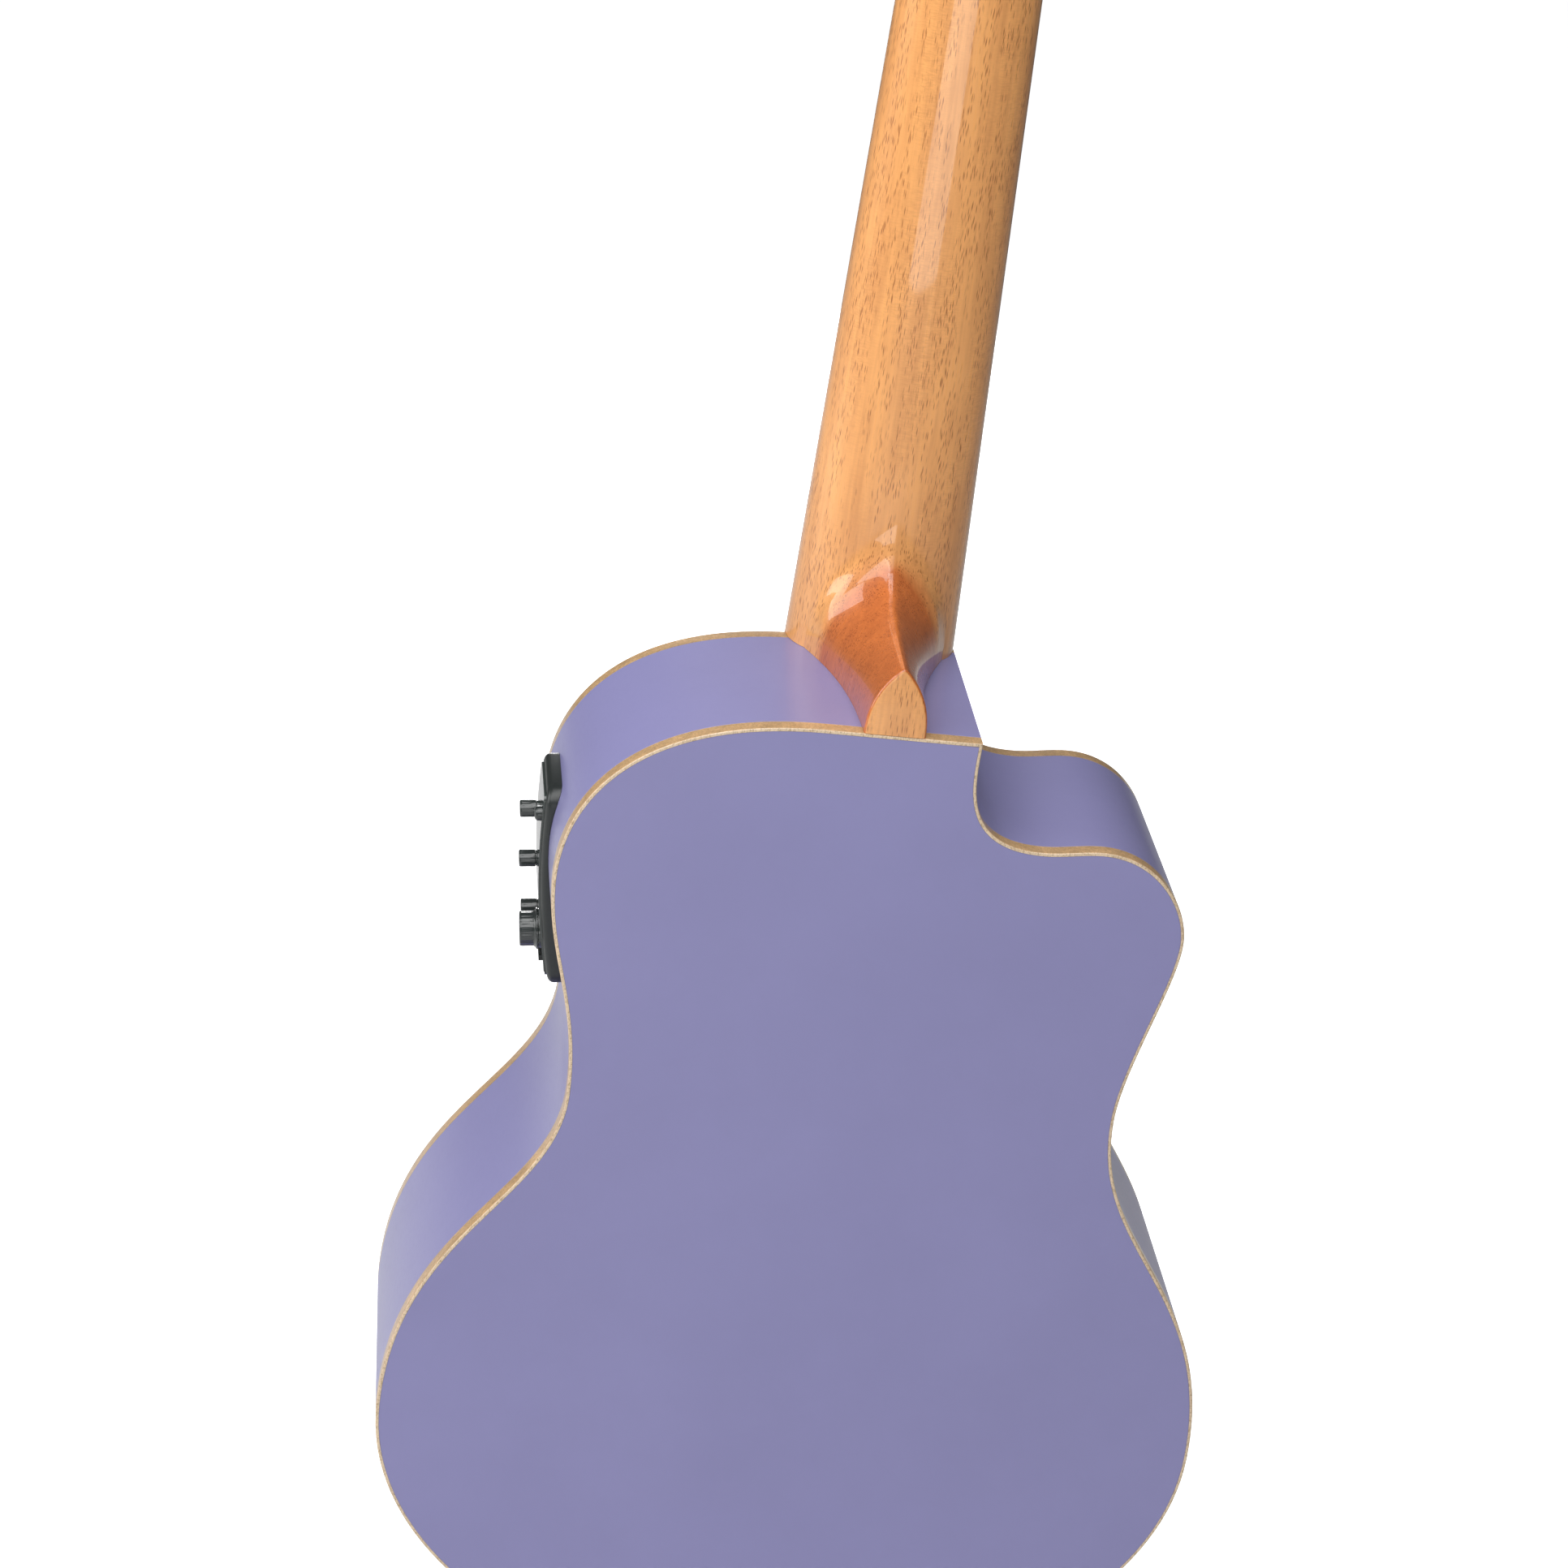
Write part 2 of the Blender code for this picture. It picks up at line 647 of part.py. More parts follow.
def build_linings(finish):
    """Triangular linings glued in the corners. They stop either side of the neck block."""
    outline = body_outline()
    block_low = BODY_TOP_Z - LINING_INSET - NECK_BLOCK_LENGTH
    block_treble = -neck_half_width(BODY_TOP_Z) - LINING_WIDTH
    block_bass = NECK_BLOCK_BASS_X + LINING_WIDTH
    path = [p for p in outline if p[1] < block_low or p[0] < block_treble or p[0] > block_bass]
    while path[0][0] > block_treble * 1.2:
        path.pop(0)
    plates = (("top_lining", False, TOP_THICKNESS), ("back_lining", True, BACK_THICKNESS))
    for name, from_back, plate in plates:
        base = plate + SEAT_GAP
        profile = (
            (LINING_INSET, from_back, base),
            (LINING_INSET + LINING_WIDTH, from_back, base),
            (LINING_INSET, from_back, base + LINING_HEIGHT),
        )
        add_object(name, sweep_wall(name, path, profile, closed=False), finish)


def build_plates(paint):
    edge = inset_points(body_outline(), PLATE_INSET, closed=True)
    hole = circle_points(SOUND_HOLE_RADIUS, (0, SOUND_HOLE_Z), ROUND_STEPS + SMALL_STEPS)
    top = plate_mesh("soundboard", [edge, hole], lambda z: 0.0, lambda z: TOP_THICKNESS)
    add_object("soundboard", top, paint)
    back = plate_mesh("back_plate", [edge], lambda z: back_y(z) - BACK_THICKNESS, back_y)
    add_object("back_plate", back, paint)


def build_blocks(finish):
    """The neck block fills the depth behind the heel; the tail block sits between the linings."""
    top = BODY_TOP_Z - LINING_INSET
    low = top - NECK_BLOCK_LENGTH
    treble_x = -neck_half_width(BODY_TOP_Z) + LINING_INSET
    corners = [(treble_x, top), (treble_x, low), (NECK_BLOCK_BASS_X, low)]
    corners += [(NECK_BLOCK_BASS_X, top - SEAT_GAP), (TOP_FLAT_HALF, top)]
    front = TOP_THICKNESS + SEAT_GAP
    behind = BACK_THICKNESS + SEAT_GAP
    mesh = plate_mesh("neck_block", [corners], lambda z: front, lambda z: back_y(z) - behind)
    add_object("neck_block", mesh, finish)
    between = front + LINING_HEIGHT + SEAT_GAP
    half = TAIL_BLOCK_WIDTH / 2
    tail_edge = sorted(p for p in inset_points(body_outline(), LINING_INSET, True) if p[1] < SADDLE_Z)
    corner_z = [float(np.interp(x, *zip(*tail_edge))) for x in (-half, half)]
    inner_z = TAIL_Z + LINING_INSET + TAIL_BLOCK_LENGTH
    loop = [(-half, corner_z[0])] + [p for p in tail_edge if abs(p[0]) < half]
    loop += [(half, corner_z[1]), (half, inner_z), (-half, inner_z)]
    behind += LINING_HEIGHT + 2 * SEAT_GAP
    mesh = plate_mesh("tail_block", [loop], lambda z: between, lambda z: back_y(z) - behind)
    block = add_object("tail_block", mesh, finish)
    cut(block, jack_cutter("tail_block_jack_hole"))


def inside_reach(z, side):
    """How far from the centre plane the inner edge of the linings lies at this height."""
    path = treble_path() if side < 0 else bass_path()
    edge = inset_points(path if side < 0 else path[::-1], LINING_INSET + LINING_WIDTH, closed=False)
    reaches = []
    for (x0, z0), (x1, z1) in zip(edge, edge[1:]):
        if (z0 - z) * (z1 - z) <= 0 and z0 != z1:
            reaches.append(abs(x0 + (x1 - x0) * (z - z0) / (z1 - z0)))
    return max(reaches)


def build_braces(finish):
    """Ladder braces across the top and the back, scalloped at their ends, and the bridge patch."""
    top_seat = TOP_THICKNESS + SEAT_GAP
    hole_low = SOUND_HOLE_Z - SOUND_HOLE_RADIUS
    hole_high = SOUND_HOLE_Z + SOUND_HOLE_RADIUS
    heights = (
        ("upper_top_brace", hole_high + BRACE_WIDTH, False),
        ("lower_top_brace", hole_low - BRACE_WIDTH, False),
        ("upper_back_brace", BODY_TOP_Z - UPPER_BOUT_DROP - BRACE_WIDTH, True),
        ("lower_back_brace", BODY_TOP_Z - LOWER_BOUT_DROP + BRACE_WIDTH, True),
    )
    for name, z, on_back in heights:
        rings = []
        low = z - BRACE_WIDTH / 2
        high = z + BRACE_WIDTH / 2
        bass = min(inside_reach(low, 1), inside_reach(high, 1)) - SEAT_GAP
        treble = min(inside_reach(low, -1), inside_reach(high, -1)) - SEAT_GAP
        stations = (
            (-treble, BRACE_END_HEIGHT),
            (-treble + BRACE_SCALLOP_LENGTH, BRACE_HEIGHT),
            (bass - BRACE_SCALLOP_LENGTH, BRACE_HEIGHT),
            (bass, BRACE_END_HEIGHT),
        )
        for x, height in stations:
            ring = []
            for corner_z, rise in ((low, 0), (high, 0), (high, 0.8), (z, 1.0), (low, 0.8)):
                if on_back:
                    y = back_y(corner_z) - BACK_THICKNESS - SEAT_GAP - rise * height
                else:
                    y = top_seat + rise * height
                ring.append((x, y, corner_z))
            rings.append(ring)
        add_object(name, loft_mesh(name, rings, smooth_degrees=None), finish)
    patch = box_mesh(
        "bridge_patch",
        (-PATCH_WIDTH / 2, top_seat, SADDLE_Z - PATCH_LENGTH * 0.6),
        (PATCH_WIDTH / 2, top_seat + PATCH_THICKNESS, SADDLE_Z + PATCH_LENGTH * 0.4),
        bevel=PATCH_THICKNESS / 4,
    )
    add_object("bridge_patch", patch, finish)


# Neck, heel and headstock


def heel_contact_half(y):
    """Half the width of the heel where it meets the body, at depth y."""
    edge = neck_half_width(BODY_TOP_Z), 0.0
    cap = HEEL_CAP_HALF, DEPTH_AT_NECK
    curve = bezier(edge, HEEL_FLANK_TOP, HEEL_FLANK_LOW, cap, CURVE_SAMPLES) + [cap]
    return float(np.interp(y, [p[1] for p in curve], [p[0] for p in curve]))


def ridge_line(thickness):
    """The heel's ridge: (height above the body, depth), from the cap's point to the back of the neck."""
    cap = HEEL_CAP_LENGTH, back_y(BODY_TOP_Z + HEEL_CAP_LENGTH)
    low = HEEL_CAP_LENGTH + RIDGE_HALF, HEEL_RIDGE_LOW_DEPTH
    neck = HEEL_RIDGE_LENGTH, thickness
    high = HEEL_RIDGE_TOP, thickness + RIDGE_HALF
    return bezier(cap, low, high, neck, CURVE_SAMPLES) + [neck]


def ridge_height(y, thickness):
    """How far above the body the heel's ridge lies at depth y."""
    line = ridge_line(thickness)[::-1]
    if y < line[0][1]:
        return HEEL_RIDGE_LENGTH
    return float(np.interp(y, [p[1] for p in line], [p[0] for p in line]))


def ridge_depth(above, thickness):
    """How deep the heel's ridge lies at a height above the body."""
    line = ridge_line(thickness)
    return float(np.interp(above, [p[0] for p in line], [p[1] for p in line]))


def pointed_arch(share):
    """A pointed arch of half width 1: 1 at its foot, 0 at its tip."""
    return 1 - min(max(share, 0.0), 1.0) ** HEEL_CAP_POINT


def shaft_half(y, half, thickness):
    share = min(y / thickness, 1.0)
    return half * (1 - share**NECK_ROUNDNESS) ** (1 / NECK_ROUNDNESS)


def neck_thickness(z):
    share = min(max(z / BODY_TOP_Z, 0.0), 1.0)
    return NECK_THICKNESS_AT_NUT + (NECK_THICKNESS_AT_HEEL - NECK_THICKNESS_AT_NUT) * share


def resampled(points, count):
    """Points spaced evenly along a line of points."""
    points = np.array(points)
    steps = np.linalg.norm(np.diff(points, axis=0), axis=1)
    along = np.concatenate([[0.0], np.cumsum(steps)])
    wanted = np.linspace(0, along[-1], count)
    return [tuple(float(np.interp(w, along, points[:, k])) for k in range(2)) for w in wanted]


def neck_half_section(z):
    """Half the cross-section of the neck at z, from its front edge to the middle of its back."""
    above = z - BODY_TOP_Z
    half = neck_half_width(z)
    thickness = neck_thickness(z)
    on_heel = above < HEEL_RIDGE_LENGTH
    on_cap = above < HEEL_CAP_LENGTH
    deepest = thickness
    if on_heel:
        deepest = back_y(z) if on_cap else max(ridge_depth(above, thickness), thickness)
    line = []
    for i in range(PROFILE_SAMPLES + 1):
        y = deepest * math.sin(i / PROFILE_SAMPLES * math.pi / 2)
        width = shaft_half(y, half, thickness)
        if on_heel:
            fin = heel_contact_half(y) * pointed_arch(above / ridge_height(y, thickness))
            width = (width**SECTION_BLEND + fin**SECTION_BLEND) ** (1 / SECTION_BLEND)
        if width <= RIDGE_HALF:
            line.append((RIDGE_HALF, y))
            break
        line.append((min(width, half), y))
    flank = resampled(line, FLANK_POINTS)
    end_x, end_y = flank[-1]
    nose = [(end_x * (1 - i / NOSE_POINTS), end_y) for i in range(1, NOSE_POINTS + 1)]
    if not on_cap:
        nose = [(x, end_y + (deepest - end_y) * (1 - (x / end_x) ** 2)) for x, _ in nose]
    return flank + nose


def shaft_half_section(half, thickness):
    """Half a plain D section, shared out so that its corner point lands where a square one has its corner."""
    line = []
    for i in range(PROFILE_SAMPLES + 1):
        y = thickness * math.sin(i / PROFILE_SAMPLES * math.pi / 2)
        line.append((shaft_half(y, half, thickness), y))
    return resampled(line, FLANK_POINTS + NOSE_POINTS)


def square_half_section(half, thickness):
    """Half the headstock's section, with an eased back edge."""
    flank = resampled([(half, 0.0), (half, thickness - HEAD_EASED_EDGE)], FLANK_POINTS - 1)
    rest = resampled([(half - HEAD_EASED_EDGE, thickness), (0.0, thickness)], NOSE_POINTS + 1)
    return flank + rest


def head_half_width(up):
    """Half the width of the headstock at a distance up its face from the nut."""
    root = NUT_WIDTH / 2
    if up < HEAD_FLARE_LENGTH:
        share = max(up, 0.0) / HEAD_FLARE_LENGTH
        return root + (HEAD_HALF_LOW - root) * (share * share * (3 - 2 * share))
    crown = HEAD_LENGTH - HEAD_CROWN_LENGTH
    share = (min(up, crown) - HEAD_FLARE_LENGTH) / (crown - HEAD_FLARE_LENGTH)
    waist = HEAD_WAIST * math.sin(share * math.pi)
    width = HEAD_HALF_LOW + (HEAD_HALF_HIGH - HEAD_HALF_LOW) * share - waist
    if up > crown:
        rise = min((up - crown) / HEAD_CROWN_LENGTH, 1.0)
        width *= max(1 - rise**HEAD_CROWN_ROUNDNESS, 0.0) ** (1 / HEAD_CROWN_ROUNDNESS)
    return width


def head_stations():
    flare = [HEAD_FLARE_LENGTH * i / 5 for i in range(5)]
    crown = HEAD_LENGTH - HEAD_CROWN_LENGTH
    middle = [HEAD_FLARE_LENGTH + (crown - HEAD_FLARE_LENGTH) * i / 5 for i in range(6)]
    top = [crown + HEAD_CROWN_LENGTH * share for share in CROWN_SHARES]
    return flare + middle + top


def mirrored_ring(half_section, place):
    """A full ring of 3-D points: the bass half, then the treble half back to the front."""
    bass = [place(x, y) for x, y in half_section]
    treble = [place(-x, y) for x, y in reversed(half_section[:-1])]
    return bass + treble


def build_neck(finish, head):
    rings = []
    for above in HEEL_HEIGHTS + HEEL_RIDGE_HEIGHTS:
        z = BODY_TOP_Z + above
        rings.append(mirrored_ring(neck_half_section(z), lambda x, y, z=z: (x, y, z)))
    blend_steps = 6
    for i in range(blend_steps + 1):
        share = i / blend_steps
        z = NECK_BLEND_Z + (NUT_LENGTH - NECK_BLEND_Z) * share
        ease = share * share * (3 - 2 * share)
        half = neck_half_width(min(z, 0.0))
        round_section = shaft_half_section(half, neck_thickness(z))
        square_section = square_half_section(half, HEAD_ROOT_THICKNESS)
        section = []
        for (x0, y0), (x1, y1) in zip(round_section, square_section):
            section.append((x0 + (x1 - x0) * ease, y0 + (y1 - y0) * ease))
        rings.append(mirrored_ring(section, lambda x, y, z=z: (x, y, z)))
    to_head = head.matrix_world
    for up in head_stations()[1:]:
        section = square_half_section(head_half_width(up), HEAD_THICKNESS)
        rings.append(mirrored_ring(section, lambda x, y, up=up: tuple(to_head @ Vector((x, y, up)))))
    neck = add_object("neck", loft_mesh("neck", rings, smooth_degrees=32), finish)
    cut(neck, head_hole_cutter("neck_post_holes", head))
    return neck


def tuner_places():
    """(number, side, up) of each tuner: 1 and 2 on the treble side, 3 and 4 on the bass side."""
    low = TUNER_FIRST_UP
    high = TUNER_FIRST_UP + TUNER_SPACING
    return ((1, -1, low), (2, -1, high), (3, 1, high), (4, 1, low))


def head_hole_cutter(name, head):
    radius = BUSHING_SLEEVE_RADIUS + SEAT_GAP
    back = HEAD_THICKNESS + CUTTER_REACH
    holes = []
    for _, side, up in tuner_places():
        hole = bore_mesh("post_hole", radius, -CUTTER_REACH, back, "Y", ROUND_STEPS)
        holes.append(moved(hole, (side * TUNER_SIDE_X, 0, up)))
    return add_object(name, join_meshes(name, holes), None, parent=head)


def build_head_veneer(finish, head):
    stations = [SEAT_GAP] + [up for up in head_stations() if up > SEAT_GAP]
    bass = [(head_half_width(up) - VENEER_INSET, up) for up in stations]
    outline = bass + [(-x, up) for x, up in reversed(bass)]
    radius = BUSHING_SLEEVE_RADIUS + SEAT_GAP
    centres = [(side * TUNER_SIDE_X, up) for _, side, up in tuner_places()]
    holes = [circle_points(radius, centre, ROUND_STEPS) for centre in centres]
    front = -SEAT_GAP - VENEER_THICKNESS
    mesh = plate_mesh("head_veneer", [outline] + holes, lambda z: front, lambda z: -SEAT_GAP)
    add_object("head_veneer", mesh, finish, parent=head)


def build_fretboard(finish):
    """One board whose side profile carries the frets, drawn out to the neck's tapering width."""
    profile = [(-SEAT_GAP, -SEAT_GAP), (-SEAT_GAP, BOARD_TOP_Y)]
    for fret in range(1, FRET_COUNT + 1):
        z = -SCALE_LENGTH * (1 - 2 ** (-fret / 12))
        profile.append((z + FRET_WIDTH / 2, BOARD_TOP_Y))
        profile.append((z + FRET_CROWN_WIDTH / 2, FRET_TOP_Y))
        profile.append((z - FRET_CROWN_WIDTH / 2, FRET_TOP_Y))
        profile.append((z - FRET_WIDTH / 2, BOARD_TOP_Y))
    profile += [(BOARD_END_Z, BOARD_TOP_Y), (BOARD_END_Z, -SEAT_GAP)]
    rings = [[(side * neck_half_width(z), y, z) for z, y in profile] for side in (-1, 1)]
    add_object("fretboard", loft_mesh("fretboard", rings, smooth_degrees=None), finish)


# Strings, nut and bridge


def string_offset(number, spread):
    """Strings 1 to 4 run from the treble side to the bass side."""
    return (number - 2.5) / 1.5 * spread / 2


def string_height_y(share, diameter):
    """The string's centre line, from the nut (0) to the saddle (1)."""
    over = STRING_OVER_FRET_AT_NUT + (STRING_OVER_FRET_AT_SADDLE - STRING_OVER_FRET_AT_NUT) * share
    return FRET_TOP_Y - over - diameter / 2


def build_nut(finish):
    half = NUT_WIDTH / 2
    top = -SEAT_GAP - NUT_HEIGHT
    loop = [(-half, -SEAT_GAP), (-half, top)]
    for number, diameter in enumerate(STRING_DIAMETERS, start=1):
        x = string_offset(number, STRING_SPREAD_AT_NUT)
        slot = diameter / 2 + SEAT_GAP
        floor = string_height_y(0, diameter) + slot
        loop += [(x - slot, top), (x - slot, floor), (x + slot, floor), (x + slot, top)]
    loop += [(half, top), (half, -SEAT_GAP)]
    rings = [[(x, y, z) for x, y in loop] for z in (0.0, NUT_LENGTH)]
    add_object("nut", loft_mesh("nut", rings, smooth_degrees=None), finish)


def bridge_section(height):
    """The bridge's side profile at a given height: front slope, saddle land, tie block and back ledge."""
    ledge = min(height, BRIDGE_WING_HEIGHT)
    low = SEAT_GAP
    return [
        (BRIDGE_FRONT, low),
        (BRIDGE_FRONT, low + ledge * 0.5),
        (BRIDGE_FRONT * 0.55, height),
        (-BRIDGE_TIE_DEPTH + BRIDGE_EDGE, height),
        (-BRIDGE_TIE_DEPTH, max(height - BRIDGE_EDGE, ledge)),
        (-BRIDGE_TIE_DEPTH - BRIDGE_EDGE / 10, ledge),
        (-BRIDGE_BACK + BRIDGE_EDGE, ledge),
        (-BRIDGE_BACK, ledge * 0.6),
        (-BRIDGE_BACK, low),
    ]


def build_bridge(finish, bone, strip):
    block = BRIDGE_BLOCK_LENGTH / 2
    end = BRIDGE_LENGTH / 2
    wing_end = BRIDGE_WING_HEIGHT * 0.55
    half_way = (BRIDGE_HEIGHT + BRIDGE_WING_HEIGHT) / 2
    stations = [
        (-end, wing_end),
        (-end + 2 * BRIDGE_EDGE, BRIDGE_WING_HEIGHT),
        (-block - 3 * BRIDGE_EDGE, BRIDGE_WING_HEIGHT),
        (-block - BRIDGE_EDGE, half_way),
        (-block + BRIDGE_EDGE, BRIDGE_HEIGHT),
    ]
    stations += [(-x, height) for x, height in reversed(stations)]
    rings = [[(x, -y, SADDLE_Z + z) for z, y in bridge_section(height)] for x, height in stations]
    bridge = add_object("bridge", loft_mesh("bridge", rings, smooth_degrees=None), finish)
    slot_half = SADDLE_THICKNESS / 2 + SEAT_GAP
    slot_reach = SADDLE_LENGTH / 2 + SEAT_GAP
    cutters = [
        box_mesh(
            "saddle_slot",
            (-slot_reach, -CUTTER_REACH, SADDLE_Z - slot_half),
            (slot_reach, -SLOT_FLOOR_HEIGHT, SADDLE_Z + slot_half),
        )
    ]
    for number, diameter in enumerate(STRING_DIAMETERS, start=1):
        x = string_offset(number, STRING_SPREAD_AT_SADDLE)
        half = diameter / 2 + SEAT_GAP
        cutters.append(
            box_mesh(
                "string_slot",
                (x - half, -CUTTER_REACH, SADDLE_Z - BRIDGE_BACK - CUTTER_REACH),
                (x + half, -BRIDGE_WING_HEIGHT - SEAT_GAP, SADDLE_Z - slot_half - TIE_SLOT_WALL),
            )
        )
    cut(bridge, add_object("bridge_slots", join_meshes("bridge_slots", cutters), None))
    pickup_top = SLOT_FLOOR_HEIGHT + SEAT_GAP + PICKUP_THICKNESS
    half = SADDLE_THICKNESS / 2
    reach = SADDLE_LENGTH / 2
    pickup = box_mesh(
        "saddle_pickup",
        (-reach, -pickup_top, SADDLE_Z - half),
        (reach, -SLOT_FLOOR_HEIGHT - SEAT_GAP, SADDLE_Z + half),
    )
    add_object("saddle_pickup", pickup, strip)
    crown = -string_height_y(1, max(STRING_DIAMETERS)) - max(STRING_DIAMETERS) / 2 - SEAT_GAP
    foot = pickup_top + SEAT_GAP
    section = [
        (half, foot),
        (half, crown - half),
        (half * 0.6, crown - half * 0.25),
        (0, crown),
        (-half * 0.6, crown - half * 0.25),
        (-half, crown - half),
        (-half, foot),
    ]
    rings = [[(x, -y, SADDLE_Z + z) for z, y in section] for x in (-reach, reach)]
    add_object("saddle", loft_mesh("saddle", rings, smooth_degrees=None), bone)


def wrap_radius(diameter):
    return POST_RADIUS + SEAT_GAP + diameter / 2


def tube(name, points, radius, finish, resolution, radii=None, parent=None):
    curve = bpy.data.curves.new(name, "CURVE")
    curve.dimensions = "3D"
    curve.bevel_depth = radius
    curve.bevel_resolution = resolution
    curve.use_fill_caps = True
    spline = curve.splines.new("POLY")
    spline.points.add(len(points) - 1)
    for i, point in enumerate(points):
        spline.points[i].co = (*point, 1)
        spline.points[i].radius = radii[i] if radii else 1
    curve.materials.append(finish)
    obj = bpy.data.objects.new(name, curve)
    bpy.context.scene.collection.objects.link(obj)
    obj.parent = parent
    return obj


def string_entry_y():
    """The string's height over the headstock where it meets its post, in the headstock's frame."""
    return -(2 * SEAT_GAP + VENEER_THICKNESS + BUSHING_FLANGE_HEIGHT + STRING_ABOVE_BUSHING)


def knot_points(x, diameter):
    """The knot behind the bridge and the way up its slot: points, and how much thicker it is at each."""
    y = -(BRIDGE_WING_HEIGHT + SEAT_GAP + KNOT_DIAMETER / 2)
    slot_back = SADDLE_Z - BRIDGE_TIE_DEPTH
    middle = slot_back - KNOT_DIAMETER / 2 - SEAT_GAP * 1.5
    knot = KNOT_DIAMETER / diameter
    shape = ((-0.5, knot * 0.4), (-0.35, knot * 0.8), (0, knot), (0.35, knot * 0.8), (0.5, 1.0))
    points = [(x, y, middle + share * KNOT_DIAMETER) for share, _ in shape]
    radii = [swelling for _, swelling in shape]
    return points + [(x, y, slot_back + TIE_SLOT_WALL)], radii + [1.0]


def post_points(start, side, up, radius, to_head):
    """Where a string meets its post as a tangent from start, and its way half round it."""
    centre = Vector((side * TUNER_SIDE_X, up))
    run = centre - (to_head.inverted() @ Vector(start)).xz
    lean = math.asin(radius / run.length)
    tangent = Matrix.Rotation(side * lean, 2) @ run.normalized()
    touch = Vector((-tangent.y, tangent.x)) * side
    first = math.atan2(touch.y, touch.x)
    steps = 9
    points = []
    for i in range(steps + 1):
        angle = first - side * STRING_SWEEP_ON_POST * i / steps
        x = centre.x + radius * math.cos(angle)
        z = centre.y + radius * math.sin(angle)
        points.append(tuple(to_head @ Vector((x, string_entry_y(), z))))
    return points


def build_strings(finish, head):
    """Each string runs from its knot, over the saddle and the nut, and half round its post."""
    places = {number: (side, up) for number, side, up in tuner_places()}
    for number, diameter in enumerate(STRING_DIAMETERS, start=1):
        side, up = places[number]
        saddle_x = string_offset(number, STRING_SPREAD_AT_SADDLE)
        saddle_y = string_height_y(1, diameter)
        points, radii = knot_points(saddle_x, diameter)
        points.append((saddle_x, saddle_y + diameter, SADDLE_Z - SADDLE_THICKNESS * 0.6))
        points.append((saddle_x, saddle_y, SADDLE_Z))
        nut_x = string_offset(number, STRING_SPREAD_AT_NUT)
        nut_y = string_height_y(0, diameter)
        points.append((nut_x, nut_y, 0.0))
        points.append((nut_x, nut_y, NUT_LENGTH * 0.9))
        start = (nut_x, nut_y, NUT_LENGTH)
        points += post_points(start, side, up, wrap_radius(diameter), head.matrix_world)
        radii += [1.0] * (len(points) - len(radii))
        tube(f"string_{number}", points, diameter / 2, finish, 2, radii)


def build_windings(finish, head, posts):
    """The turns on each post: one unbroken tube a post, which turns with it."""
    for number, side, up in tuner_places():
        diameter = STRING_DIAMETERS[number - 1]
        radius = wrap_radius(diameter)
        first_y = string_entry_y() - WRAP_PITCH
        steps = 24
        total = int(WRAP_TURNS * steps)
        points = []
        for i in range(total + 1):
            angle = math.pi / 2 - side * 2 * math.pi * i / steps
            y = first_y - WRAP_PITCH * i / steps
            points.append(Vector((radius * math.cos(angle), y, radius * math.sin(angle))))
        lead = (points[0] - points[1]).normalized() * diameter
        tail = (points[-1] - points[-2]).normalized() * diameter
        points = [points[0] + lead] + points + [points[-1] + tail]
        gap = least_gap(points, diameter, steps)
        print(f"string_winding_{number}: least gap to itself {gap * 1000:.2f} mm")
        tube(f"string_winding_{number}", points, diameter / 2, finish, 1, parent=posts[number])


def least_gap(points, diameter, steps_a_turn):
    """The least distance between points of the tube that are half a turn or more apart along it."""
    least = math.inf
    for i, point in enumerate(points):
        for other in points[i + steps_a_turn // 2 :]:
            least = min(least, (point - other).length)
    return least - diameter


# Tuners


def gear_ring(along, turn):
    """One end face of the gear wheel: trapezoid teeth, with a space facing the worm."""
    root = GEAR_PITCH_RADIUS - TOOTH_DEDENDUM
    tip = GEAR_PITCH_RADIUS + TOOTH_ADDENDUM
    pitch_angle = 2 * math.pi / GEAR_TEETH
    points = []
    for tooth in range(GEAR_TEETH):
        middle = -math.pi / 2 + pitch_angle * (tooth + 0.5) - turn
        for offset, radius in (
            (-TOOTH_SHARE * 0.68, root),
            (-TOOTH_SHARE * 0.34, tip),
            (TOOTH_SHARE * 0.34, tip),
            (TOOTH_SHARE * 0.68, root),
        ):
            angle = middle + offset * pitch_angle
            points.append((radius * math.cos(angle), along, radius * math.sin(angle)))
    return points


def post_mesh(name):
    """A turned post with a waist for the string, fused with its helical gear wheel."""
    base = HEAD_THICKNESS + WORM_AXIS_HEIGHT
    tip = -(SEAT_GAP + VENEER_THICKNESS) - POST_ABOVE_VENEER
    back_end = base + GEAR_THICKNESS / 2 + POST_PAST_GEAR
    collar_end = tip + 8 * POST_CHAMFER
    waist_end = string_entry_y() + 2 * POST_CHAMFER
    profile = [
        (0, tip),
        (POST_RADIUS - POST_CHAMFER, tip),
        (POST_RADIUS, tip + POST_CHAMFER),
        (POST_RADIUS, collar_end),
        (POST_WAIST_RADIUS, collar_end + POST_CHAMFER),
        (POST_WAIST_RADIUS, waist_end),
        (POST_RADIUS, waist_end + POST_CHAMFER),
        (POST_RADIUS, base - GEAR_THICKNESS / 2),
        (POST_RADIUS - POST_CHAMFER, back_end),
        (0, back_end),
    ]
    return turned_mesh(name, profile, "Y", POST_STEPS)


